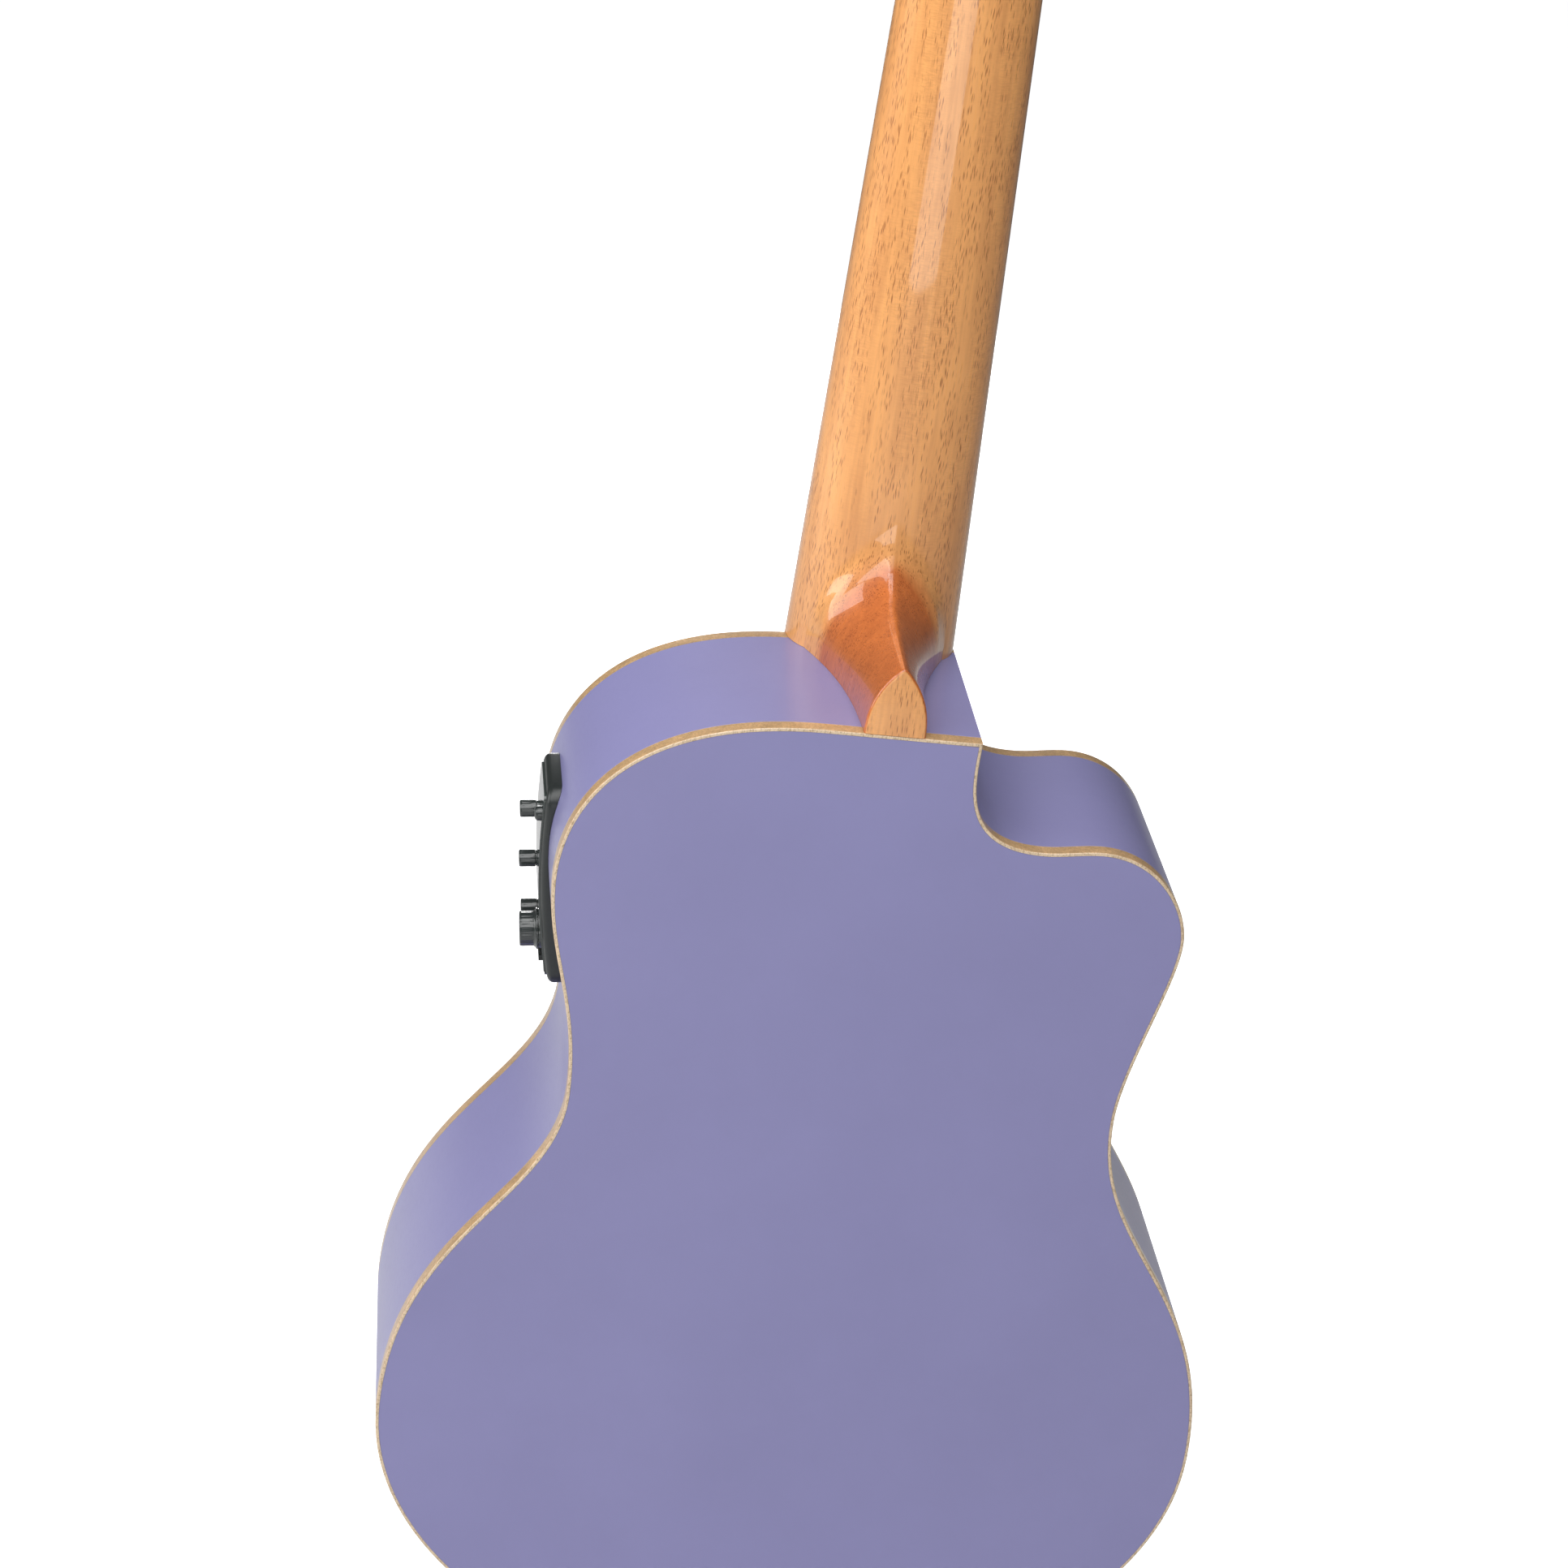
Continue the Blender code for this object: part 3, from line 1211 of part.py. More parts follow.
def build_tuner_plate(number, side, up, head, finish):
    """The base plate with its post hole, and the two ears that the worm's shaft runs in."""
    place = (side * TUNER_SIDE_X, 0, up)
    axis_y = HEAD_THICKNESS + WORM_AXIS_HEIGHT
    low = -WORM_DISTANCE - PLATE_PAST_WORM
    plate_back = HEAD_THICKNESS + SEAT_GAP + PLATE_THICKNESS
    post_hole = circle_points(POST_RADIUS + TUNER_CLEARANCE, (0, 0), POST_STEPS)
    edge = rounded_rectangle(PLATE_WIDTH / 2, (PLATE_PAST_POST - low) / 2, PLATE_CORNER, 3)
    edge = [(x, z + (PLATE_PAST_POST + low) / 2) for x, z in edge]
    mesh = plate_mesh(
        "tuner_plate", [edge, post_hole], lambda z: HEAD_THICKNESS + SEAT_GAP, lambda z: plate_back
    )
    plate = add_object(f"tuner_plate_{number}", mesh, finish, head, place)
    foot_y = plate_back - EAR_ROOT
    loop = [(-EAR_HALF, foot_y), (EAR_HALF, foot_y)]
    for i in range(7):
        angle = math.pi * i / 6
        loop.append((EAR_HALF * math.cos(angle), axis_y + EAR_HALF * math.sin(angle)))
    for label, inner in (("in", -EAR_INNER_HALF - EAR_THICKNESS), ("out", EAR_INNER_HALF)):
        rings = [[(x, y, z - WORM_DISTANCE) for z, y in loop] for x in (inner, inner + EAR_THICKNESS)]
        name = f"tuner_ear_{number}_{label}"
        ear = add_object(name, loft_mesh(name, rings, smooth_degrees=None), None, head, place)
        cut(plate, ear, "UNION")
    name = f"worm_bore_{number}"
    mesh = bore_mesh(name, SHAFT_RADIUS + TUNER_CLEARANCE, -CUTTER_REACH, CUTTER_REACH, "X")
    cut(plate, add_object(name, moved(mesh, (0, axis_y, -WORM_DISTANCE)), None, head, place))


def build_post(number, side, up, head, finish):
    """A string post with its gear wheel, and the small hole for the string's end."""
    place = (side * TUNER_SIDE_X, 0, up)
    axis_y = HEAD_THICKNESS + WORM_AXIS_HEIGHT
    post = add_object(f"tuner_post_{number}", post_mesh("tuner_post"), finish, head, place)
    half = GEAR_THICKNESS / 2
    twist = half * LEAD_SLOPE / GEAR_PITCH_RADIUS
    rings = [gear_ring(axis_y - half, -twist), gear_ring(axis_y + half, twist)]
    name = f"gear_{number}"
    cut(post, add_object(name, loft_mesh(name, rings, smooth_degrees=None), None, head, place), "UNION")
    tip = -(SEAT_GAP + VENEER_THICKNESS) - POST_ABOVE_VENEER
    name = f"string_hole_{number}"
    mesh = bore_mesh(name, POST_HOLE_RADIUS, -CUTTER_REACH, CUTTER_REACH, "Z", 8)
    cut(post, add_object(name, moved(mesh, (0, tip + POST_HOLE_BELOW_TIP, 0)), None, head, place))
    return post


def build_worm(number, side, place, button_x, head, finish):
    """The shaft through both ears and into the button, with the worm thread between the ears."""
    root = WORM_PITCH_RADIUS - TOOTH_DEDENDUM
    inner_end = EAR_INNER_HALF + EAR_THICKNESS + SHAFT_PAST_EAR
    worm_half = EAR_INNER_HALF - SEAT_GAP
    shaft = [
        (0, -inner_end),
        (SHAFT_RADIUS, -inner_end),
        (SHAFT_RADIUS, -worm_half),
        (root, -worm_half),
        (root, worm_half),
        (SHAFT_RADIUS, worm_half),
        (SHAFT_RADIUS, button_x + SHAFT_IN_BUTTON),
        (0, button_x + SHAFT_IN_BUTTON),
    ]
    shaft = [(radius, side * x) for radius, x in shaft]
    mesh = turned_mesh("tuner_worm", shaft, "X", SMALL_STEPS)
    worm = add_object(f"tuner_worm_{number}", mesh, finish, head, place)
    name = f"worm_thread_{number}"
    cut(worm, add_object(name, thread_mesh(name), None, head, place), "UNION")


def build_button(number, side, place, button_x, head, finish):
    """An oval tuner button with a blind bore for its shaft. The bore stays round."""
    shape = (
        (0.0, 0.0),
        (0.48, 0.0),
        (0.52, 0.12),
        (0.82, 0.26),
        (1.0, 0.50),
        (0.92, 0.78),
        (0.62, 0.95),
        (0.0, 1.0),
    )
    profile = [(r * BUTTON_RADIUS, side * (button_x + a * BUTTON_LENGTH)) for r, a in shape]
    name = f"tuner_button_{number}"
    mesh = turned_mesh(name, profile, "X", POST_STEPS, flat=BUTTON_FLATNESS)
    button = add_object(name, mesh, finish, head, place)
    ends = sorted((side * (button_x - CUTTER_REACH), side * (button_x + SHAFT_IN_BUTTON + SEAT_GAP)))
    name = f"button_bore_{number}"
    mesh = bore_mesh(name, SHAFT_RADIUS + SEAT_GAP, *ends, "X")
    cut(button, add_object(name, mesh, None, head, place))


def build_bushing(number, side, up, head, finish):
    """The flanged sleeve that the post turns in, pressed in from the headstock's face."""
    flange_back = -(2 * SEAT_GAP + VENEER_THICKNESS)
    flange_front = flange_back - BUSHING_FLANGE_HEIGHT
    bore = POST_RADIUS + TUNER_CLEARANCE
    profile = [
        (bore, flange_front),
        (BUSHING_FLANGE_RADIUS - BUSHING_FLANGE_HEIGHT / 2, flange_front),
        (BUSHING_FLANGE_RADIUS, flange_back),
        (BUSHING_SLEEVE_RADIUS, flange_back),
        (BUSHING_SLEEVE_RADIUS, flange_back + BUSHING_SLEEVE_LENGTH),
        (bore, flange_back + BUSHING_SLEEVE_LENGTH),
    ]
    mesh = turned_mesh("tuner_bushing", profile, "Y", POST_STEPS)
    add_object(f"tuner_bushing_{number}", mesh, finish, head, (side * TUNER_SIDE_X, 0, up))


def build_tuner(number, side, up, head, finishes):
    """One geared machine: plate, post, worm, button and bushing. The worm is on the post's nut side."""
    chrome = finishes["chrome"]
    build_tuner_plate(number, side, up, head, chrome)
    post = build_post(number, side, up, head, chrome)
    worm_up = up - WORM_DISTANCE
    place = (side * TUNER_SIDE_X, HEAD_THICKNESS + WORM_AXIS_HEIGHT, worm_up)
    button_x = head_half_width(worm_up) - TUNER_SIDE_X + BUTTON_CLEAR_OF_HEAD
    build_worm(number, side, place, button_x, head, chrome)
    build_button(number, side, place, button_x, head, finishes["button_black"])
    build_bushing(number, side, up, head, chrome)
    return post


def thread_mesh(name):
    """The worm's right-hand thread: a trapezoid carried round a helix, with a crest facing the gear."""
    tip = WORM_PITCH_RADIUS + TOOTH_ADDENDUM * 0.96
    buried = WORM_PITCH_RADIUS - TOOTH_DEDENDUM * 1.5
    foot = TOOTH_SHARE * 0.72 * WORM_PITCH
    crest = TOOTH_SHARE * 0.32 * WORM_PITCH
    steps = 10
    total = int(WORM_TURNS * steps)
    rings = []
    for i in range(total + 1):
        turn = (i - total / 2) / steps
        angle = 2 * math.pi * turn
        ring = []
        for radius, offset in ((buried, -foot), (tip, -crest), (tip, crest), (buried, foot)):
            x = turn * WORM_PITCH + offset
            ring.append((x, -radius * math.sin(angle), radius * math.cos(angle)))
        rings.append(ring)
    return loft_mesh(name, rings, smooth_degrees=None)


# Preamp


def crowned_ring(name, corners):
    """A ring-shaped moulding that bows with the body. Each corner of its section is
    (half width, half length, corner radius, depth)."""
    rings = []
    for half_y, half_z, corner, depth in corners:
        loop = rounded_rectangle(half_y, half_z, corner, BEZEL_CORNER_STEPS, BEZEL_SIDE_STEPS)
        rings.append([(depth - crown_fall(z), y, z) for y, z in loop])
    return loft_mesh(name, rings, closed_ends=False, ring_closed=True)


def crown_fall(z):
    """How far the bowed bezel lies under its own middle."""
    return BEZEL_CROWN * (z / (BEZEL_LENGTH / 2)) ** 2


def panel_height(z):
    """The panel's face over the bezel's middle: it bows as the bezel does and stands proud of it."""
    return PANEL_PROUD - crown_fall(z)


def knob_base(z, radius):
    """The height at which a knob's foot clears the bowed panel."""
    return panel_height(max(abs(z) - radius, 0.0)) + SEAT_GAP


def over_panel_mesh(half_y, half_z):
    """The space over the panel's bowed face."""
    steps = 2 * BEZEL_SIDE_STEPS
    outline = [(CUTTER_REACH, half_z), (CUTTER_REACH, -half_z)]
    for i in range(steps + 1):
        z = half_z * (2 * i / steps - 1)
        outline.append((panel_height(z), z))
    return loft_mesh("over_panel", [[(x, y, z) for x, z in outline] for y in (-half_y, half_y)])


def build_preamp(side_bass, finishes):
    """A moulded bezel and collar through the bass side, with the electronics, the knobs and the battery."""
    turn = (PREAMP_TILT, 4, "Y")
    place = (PREAMP_FACE_X, PREAMP_DEPTH_Y, BODY_TOP_Z - PREAMP_DROP)
    frame = add_frame("preamp_frame", place, turn)
    black = finishes["black_plastic"]
    half_y = BEZEL_WIDTH / 2
    half_z = BEZEL_LENGTH / 2
    inner_y = half_y - BEZEL_RIM
    inner_z = half_z - BEZEL_RIM
    collar_y = inner_y + COLLAR_WALL
    collar_z = inner_z + COLLAR_WALL
    lip = COLLAR_WALL / 2
    soft = BEZEL_EDGE
    flange = (
        (inner_y + lip, inner_z + lip, BEZEL_CORNER / 2, 0.0),
        (half_y - soft, half_z - soft, BEZEL_CORNER - soft, 0.0),
        (half_y, half_z, BEZEL_CORNER, -soft),
        (half_y, half_z, BEZEL_CORNER, -COLLAR_DEPTH),
        (inner_y + lip, inner_z + lip, BEZEL_CORNER / 2, -COLLAR_DEPTH),
    )
    bezel = add_object("preamp_bezel", crowned_ring("preamp_bezel", flange), black, frame)
    cut(bezel, body_envelope())
    collar = (
        (inner_y, inner_z, BEZEL_CORNER * 0.4, -BEZEL_EDGE),
        (collar_y, collar_z, BEZEL_CORNER * 0.6, -BEZEL_EDGE),
        (collar_y, collar_z, BEZEL_CORNER * 0.6, -COLLAR_DEPTH - COLLAR_WALL),
        (inner_y, inner_z, BEZEL_CORNER * 0.4, -COLLAR_DEPTH - COLLAR_WALL),
    )
    cut(bezel, add_object("bezel_collar", crowned_ring("bezel_collar", collar), None, frame), "UNION")

    cutter = box_mesh(
        "preamp_cut_out",
        (-COLLAR_DEPTH - CUTTER_REACH, -collar_y - SEAT_GAP, -collar_z - SEAT_GAP),
        (CUTTER_REACH, collar_y + SEAT_GAP, collar_z + SEAT_GAP),
    )
    cut(side_bass, add_object("preamp_cut_out", cutter, None, frame))

    box_y = inner_y - SEAT_GAP
    box_z = inner_z - SEAT_GAP
    loop = rounded_rectangle(box_y, box_z, BEZEL_CORNER * 0.4 - SEAT_GAP)
    rings = [[(x, y, z) for y, z in loop] for x in (-HOUSING_DEPTH, CUTTER_REACH / 2)]
    mesh = loft_mesh("preamp_housing", rings)
    housing = add_object("preamp_housing", mesh, finishes["panel_gloss"], frame)
    cut(housing, add_object("over_panel", over_panel_mesh(half_y, half_z), None, frame))

    knobs = [
        ("knob_bass", TONE_KNOB_Y, TONE_KNOB_TOP),
        ("knob_middle", TONE_KNOB_Y, TONE_KNOB_TOP - TONE_KNOB_SPACING),
        ("knob_treble", TONE_KNOB_Y, TONE_KNOB_TOP - 2 * TONE_KNOB_SPACING),
    ]
    cutters = []
    for name, y, z in knobs:
        base = knob_base(z, SMALL_KNOB_RADIUS)
        profile = knob_profile(SMALL_KNOB_RADIUS, SMALL_KNOB_RADIUS, SMALL_KNOB_HEIGHT)
        add_object(name, turned_mesh(name, profile, "X", SMALL_STEPS), black, frame, (base, y, z))
        cutters.append(stem_hole(base, y, z, KNOB_STEM_RADIUS))
    volume_z = TONE_KNOB_TOP - 2 * TONE_KNOB_SPACING
    base = knob_base(volume_z, VOLUME_SKIRT_RADIUS)
    profile = knob_profile(VOLUME_KNOB_RADIUS, VOLUME_SKIRT_RADIUS, VOLUME_KNOB_HEIGHT)
    mesh = turned_mesh("knob_volume", profile, "X", ROUND_STEPS)
    add_object("knob_volume", mesh, black, frame, (base, VOLUME_KNOB_Y, volume_z))
    cutters.append(stem_hole(base, VOLUME_KNOB_Y, volume_z, KNOB_STEM_RADIUS))

    profile = [
        (0, -KNOB_STEM_LENGTH),
        (PUSH_BUTTON_RADIUS, -KNOB_STEM_LENGTH),
        (PUSH_BUTTON_RADIUS, PUSH_BUTTON_PROUD * 0.7),
        (PUSH_BUTTON_RADIUS * 0.7, PUSH_BUTTON_PROUD),
        (0, PUSH_BUTTON_PROUD),
    ]
    mesh = turned_mesh("preamp_button", profile, "X", SMALL_STEPS)
    button_face = panel_height(PUSH_BUTTON_UP)
    add_object("preamp_button", mesh, black, frame, (button_face, PUSH_BUTTON_Y, PUSH_BUTTON_UP))
    low = button_face - PUSH_BUTTON_CLEARANCE
    cutters.append(stem_hole(low, PUSH_BUTTON_Y, PUSH_BUTTON_UP, PUSH_BUTTON_RADIUS))

    tray_half = TRAY_THICKNESS / 2
    tray_face = panel_height(TRAY_DOWN)
    slot = box_mesh(
        "battery_slot",
        (tray_face - TRAY_DEPTH - SEAT_GAP, -TRAY_WIDTH / 2 - SEAT_GAP, -TRAY_DOWN - tray_half - SEAT_GAP),
        (CUTTER_REACH, TRAY_WIDTH / 2 + SEAT_GAP, -TRAY_DOWN + tray_half + SEAT_GAP),
    )
    cutters.append(slot)
    cut(housing, add_object("housing_holes", join_meshes("housing_holes", cutters), None, frame))
    build_battery_tray(tray_face, frame, finishes)


def knob_profile(radius, skirt, height):
    """A knob on its stem, with a low skirt and an eased top edge."""
    return [
        (0, -KNOB_STEM_LENGTH),
        (KNOB_STEM_RADIUS, -KNOB_STEM_LENGTH),
        (KNOB_STEM_RADIUS, 0.0),
        (skirt, 0.0),
        (skirt, SKIRT_HEIGHT),
        (radius, SKIRT_SLOPE_HEIGHT),
        (radius, height - KNOB_EDGE),
        (radius - KNOB_EDGE, height),
        (0, height),
    ]


def stem_hole(base, y, z, radius):
    deep = KNOB_STEM_LENGTH + SEAT_GAP
    mesh = bore_mesh("stem_hole", radius + TUNER_CLEARANCE, -deep, CUTTER_REACH, "X")
    return moved(mesh, (base, y, z))


def build_battery_tray(face, frame, finishes):
    """A drawer with a finger lip, and the coin cell in its round pocket."""
    half = TRAY_THICKNESS / 2
    body = box_mesh(
        "battery_tray",
        (-TRAY_DEPTH, -TRAY_WIDTH / 2, -half),
        (0.0, TRAY_WIDTH / 2, half),
    )
    place = (face, 0, -TRAY_DOWN)
    tray = add_object("battery_tray", body, finishes["black_plastic"], frame, place)
    lip = box_mesh(
        "tray_lip",
        (-LIP_PROUD, -TRAY_WIDTH / 4, -half + LIP_FROM_LOW_EDGE),
        (LIP_PROUD, TRAY_WIDTH / 4, half - LIP_FROM_HIGH_EDGE),
    )
    cut(tray, add_object("tray_lip", lip, None, frame, place), "UNION")
    floor = -half + TRAY_FLOOR
    centre_x = -TRAY_DEPTH / 2
    pocket = bore_mesh("cell_pocket", CELL_RADIUS + SEAT_GAP, floor, CUTTER_REACH, "Z", ROUND_STEPS)
    cut(tray, add_object("cell_pocket", moved(pocket, (centre_x, 0, 0)), None, frame, place))
    low = floor + SEAT_GAP
    high = low + CELL_THICKNESS
    cell = [
        (0, low),
        (CELL_RADIUS - CELL_STEP, low),
        (CELL_RADIUS - CELL_STEP, low + CELL_EDGE),
        (CELL_RADIUS, low + 2 * CELL_EDGE),
        (CELL_RADIUS, high - CELL_EDGE),
        (CELL_RADIUS - CELL_EDGE, high),
        (0, high),
    ]
    mesh = moved(turned_mesh("coin_cell", cell, "Z"), (centre_x, 0, 0))
    add_object("coin_cell", mesh, finishes["cell_steel"], frame, place)


def build_output_jack(finish):
    """An end-pin jack: its flange and strap groove outside the tail, its threaded tube inside the block."""
    outside = TAIL_Z - SEAT_GAP
    groove = JACK_TUBE_RADIUS + JACK_GROOVE_DEPTH
    profile = [
        (JACK_BORE_RADIUS, outside - JACK_OUTSIDE),
        (JACK_FLANGE_RADIUS * 0.72, outside - JACK_OUTSIDE),
        (JACK_FLANGE_RADIUS * 0.80, outside - JACK_OUTSIDE * 0.88),
        (groove, outside - JACK_OUTSIDE * 0.72),
        (groove, outside - JACK_OUTSIDE * 0.32),
        (JACK_FLANGE_RADIUS, outside - JACK_OUTSIDE * 0.16),
        (JACK_FLANGE_RADIUS, outside),
        (JACK_TUBE_RADIUS, outside),
        (JACK_TUBE_RADIUS, TAIL_Z + JACK_INSIDE),
        (JACK_BORE_RADIUS, TAIL_Z + JACK_INSIDE),
    ]
    mesh = turned_mesh("output_jack", profile, "Z")
    add_object("output_jack", moved(mesh, (0, JACK_DEPTH_Y, 0)), finish)


def main():
    clear_scene()
    finishes = make_materials()
    head = add_frame("headstock_frame", (0, 0, NUT_LENGTH), (-HEAD_TILT, 4, "X"))
    sides = build_sides(finishes["lavender_paint"])
    build_bindings(finishes["maple_binding"])
    build_plates(finishes["lavender_paint"])
    build_linings(finishes["spruce_inside"])
    build_blocks(finishes["spruce_inside"])
    build_braces(finishes["spruce_inside"])
    build_neck(finishes["neck_mahogany"], head)
    build_head_veneer(finishes["rosewood"], head)
    build_fretboard(finishes["rosewood"])
    build_nut(finishes["bone_white"])
    build_bridge(finishes["rosewood"], finishes["bone_white"], finishes["chrome"])
    posts = {}
    for number, side, up in tuner_places():
        posts[number] = build_tuner(number, side, up, head, finishes)
    build_strings(finishes["string_nylon"], head)
    build_windings(finishes["string_nylon"], head, posts)
    build_preamp(sides["side_bass"], finishes)
    build_output_jack(finishes["chrome"])
    bpy.context.view_layer.update()


if __name__ == "__main__":
    main()
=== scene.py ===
"""Finish, studio and camera for a left-handed cutaway tenor ukulele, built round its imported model."""

import json
import math

import bmesh
import bpy
import numpy as np
from mathutils import Matrix, Vector

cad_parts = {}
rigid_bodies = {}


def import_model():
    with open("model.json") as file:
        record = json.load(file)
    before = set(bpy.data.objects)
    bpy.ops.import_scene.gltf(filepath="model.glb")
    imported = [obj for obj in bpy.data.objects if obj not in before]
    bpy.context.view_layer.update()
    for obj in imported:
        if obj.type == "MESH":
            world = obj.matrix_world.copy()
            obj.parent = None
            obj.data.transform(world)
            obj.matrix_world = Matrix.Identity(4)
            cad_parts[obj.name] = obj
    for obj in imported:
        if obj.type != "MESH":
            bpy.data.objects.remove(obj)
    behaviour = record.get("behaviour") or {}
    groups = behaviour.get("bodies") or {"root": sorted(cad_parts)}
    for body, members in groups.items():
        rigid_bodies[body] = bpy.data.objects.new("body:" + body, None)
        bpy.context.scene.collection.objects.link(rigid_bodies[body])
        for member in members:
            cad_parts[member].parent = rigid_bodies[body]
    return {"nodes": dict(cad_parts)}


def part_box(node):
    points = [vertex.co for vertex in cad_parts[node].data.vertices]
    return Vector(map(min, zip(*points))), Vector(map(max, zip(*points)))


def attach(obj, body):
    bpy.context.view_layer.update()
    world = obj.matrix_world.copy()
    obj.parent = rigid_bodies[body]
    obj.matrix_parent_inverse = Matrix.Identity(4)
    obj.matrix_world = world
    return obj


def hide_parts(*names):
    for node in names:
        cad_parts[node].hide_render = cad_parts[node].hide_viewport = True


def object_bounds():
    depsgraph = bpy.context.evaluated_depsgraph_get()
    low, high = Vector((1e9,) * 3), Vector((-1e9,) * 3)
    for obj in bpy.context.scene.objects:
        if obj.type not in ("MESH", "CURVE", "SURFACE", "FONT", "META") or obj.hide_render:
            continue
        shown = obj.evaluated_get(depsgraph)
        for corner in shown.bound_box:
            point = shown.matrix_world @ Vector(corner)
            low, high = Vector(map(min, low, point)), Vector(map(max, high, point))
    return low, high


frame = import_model()
CAD_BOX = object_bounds()

bl_info = {
    "name": "Tenor ukulele finish",
    "version": (1, 0, 0),
    "blender": (4, 5, 0),
    "location": "View3D > Sidebar > Ukulele",
    "description": "Builds the visible surfaces, the finishes and the studio of a tenor ukulele",
    "category": "Object",
}

ROOT = "instrument"

# Scale and neck
SCALE_LENGTH = 0.432
FRET_COUNT = 18
BODY_FRET = 14
NUT_WIDTH = 0.0345
NECK_WIDTH_AT_BODY = 0.0468
NECK_THICKNESS_AT_NUT = 0.0140
NECK_THICKNESS_AT_HEEL = 0.0172
NECK_ROUNDNESS = 2.15
BOARD_THICKNESS = 0.0045
BOARD_SIDE_LEAN = 0.0009
BOARD_EASE = 0.0001
BOARD_FACE_EDGE = 0.0004
FRET_HEIGHT = 0.0010
FRET_WIDTH = 0.0020
FRET_END = 0.0008
FRET_END_SHARE = 0.1
FRET_SUNK = 0.0003
DOT_RADIUS = 0.0026
DOT_OFFSET = 0.0105
DOT_PROUD = 0.00004
DOT_DEPTH = 0.0004
SEAT_GAP = 0.0003
BODY_TOP_Z = -SCALE_LENGTH * (1 - 2 ** (-BODY_FRET / 12))

# Position marks: the fret next to each towards the body, and the sides its dots are on, 0 for the middle
POSITION_MARKS = (
    (5, (0,)),
    (7, (0,)),
    (10, (0,)),
    (12, (-1, 1)),
    (15, (0,)),
)

# Body outline, measured down from the neck end of the body
BODY_LENGTH = 0.298
UPPER_BOUT_HALF = 0.0840
UPPER_BOUT_DROP = 0.0485
TOP_FLAT_HALF = 0.0177
SHOULDER_FULLNESS = 0.0496
UPPER_BOUT_RISE = 0.0229
UPPER_BOUT_FALL = 0.0211
BASS_WAIST_HALF = 0.0734
BASS_WAIST_DROP = 0.1109
BASS_WAIST_RISE = 0.0279
BASS_WAIST_FALL = 0.0331
LOWER_BOUT_HALF = 0.1150
LOWER_BOUT_DROP = 0.2112
LOWER_BOUT_RISE = 0.0552
LOWER_BOUT_FALL = 0.0512
TAIL_FULLNESS = 0.0543
CUTAWAY_WALL_FULLNESS = 0.0104
CUTAWAY_DIP_X = 0.0444
CUTAWAY_DIP_DROP = 0.0292
CUTAWAY_DIP_FULLNESS = 0.0238
HORN_SHELF_X = 0.0604
HORN_SHELF_DROP = 0.0277
HORN_SHELF_FULLNESS = 0.0158
HORN_HALF = 0.0862
HORN_DROP = 0.0529
HORN_RISE = 0.0110
HORN_FALL = 0.0126
TREBLE_WAIST_HALF = 0.0762
TREBLE_WAIST_DROP = 0.1066
TREBLE_WAIST_RISE = 0.0158
TREBLE_WAIST_FALL = 0.0405
DEPTH_AT_NECK = 0.0658
DEPTH_AT_TAIL = 0.0752
SIDE_THICKNESS = 0.0020
TOP_THICKNESS = 0.0022
BACK_THICKNESS = 0.0024
BINDING_WIDTH = 0.0009
BINDING_HEIGHT = 0.0042
SOUND_HOLE_RADIUS = 0.0280
SOUND_HOLE_BELOW_BOARD = 0.0045
JACK_OPENING_RADIUS = 0.0058
JACK_OPENING_OUT = 0.004
JACK_OPENING_IN = 0.020
TAIL_Z = BODY_TOP_Z - BODY_LENGTH
BACK_SLOPE = (DEPTH_AT_TAIL - DEPTH_AT_NECK) / BODY_LENGTH

# Surfaces of the body. INNER_WALL counts the face of a side's section that looks into the body
OUTLINE_STEPS = 40
HOLE_STEPS = 96
BINDING_STEPS = 6
HALF_SEAM = 0.00002
PAINT_EDGE = 0.00012
INNER_WALL = 6
ROSETTE_PROUD = 0.00005
ROSETTE_DEPTH = 0.0005
ROSETTE_RINGS = (
    ("rosette_inner_line", 0.0290, 0.0295, "board"),
    ("rosette_band", 0.0295, 0.0315, "rosette"),
    ("rosette_outer_line", 0.0315, 0.0320, "board"),
)

# Heel
HEEL_CAP_HALF = 0.0082
HEEL_CAP_LENGTH = 0.0191
HEEL_CAP_POINT = 2.4
HEEL_FLANK_TOP = (0.0175, 0.0160)
HEEL_FLANK_LOW = (0.0090, 0.0280)
HEEL_RIDGE_LENGTH = 0.0380
HEEL_RIDGE_TOP = 0.0225
HEEL_RIDGE_LOW_DEPTH = 0.0350
HEEL_RIDGE_HALF = 0.0008
HEEL_TOP = HEEL_RIDGE_LENGTH + 0.010
FILLET_REACH = 0.0045
FILLET_FADE = 0.3
FOOT_GAP = 0.00005
SHALLOWEST_FLANK = 0.003
FIN_COLUMNS = 26
SIDE_COLUMNS = 18
UP_ROWS = 16
FIN_ROWS = 44
CAP_STEPS = 6
RIDGE_SHARP_ANGLE = math.radians(40)

# Headstock
HEAD_TILT = math.radians(13.0)
NUT_LENGTH = 0.0050
HEAD_LENGTH = 0.1300
HEAD_THICKNESS = 0.0115
HEAD_ROOT_THICKNESS = 0.0123
HEAD_HALF_LOW = 0.0290
HEAD_HALF_HIGH = 0.0260
HEAD_FLARE_LENGTH = 0.0240
HEAD_CROWN_LENGTH = 0.0150
HEAD_CROWN_POWER = 2.4
HEAD_WAIST = 0.0012
HEAD_BACK_EDGE = 0.0015
HEAD_BLEND_Z = -0.026
HEAD_BLEND_ROWS = 12
LAST_CROWN_ANGLE = 1.48
TUNER_SIDE_X = 0.0165
TUNER_FIRST_UP = 0.0330
TUNER_SPACING = 0.0460
BUSHING_SLEEVE_RADIUS = 0.0041
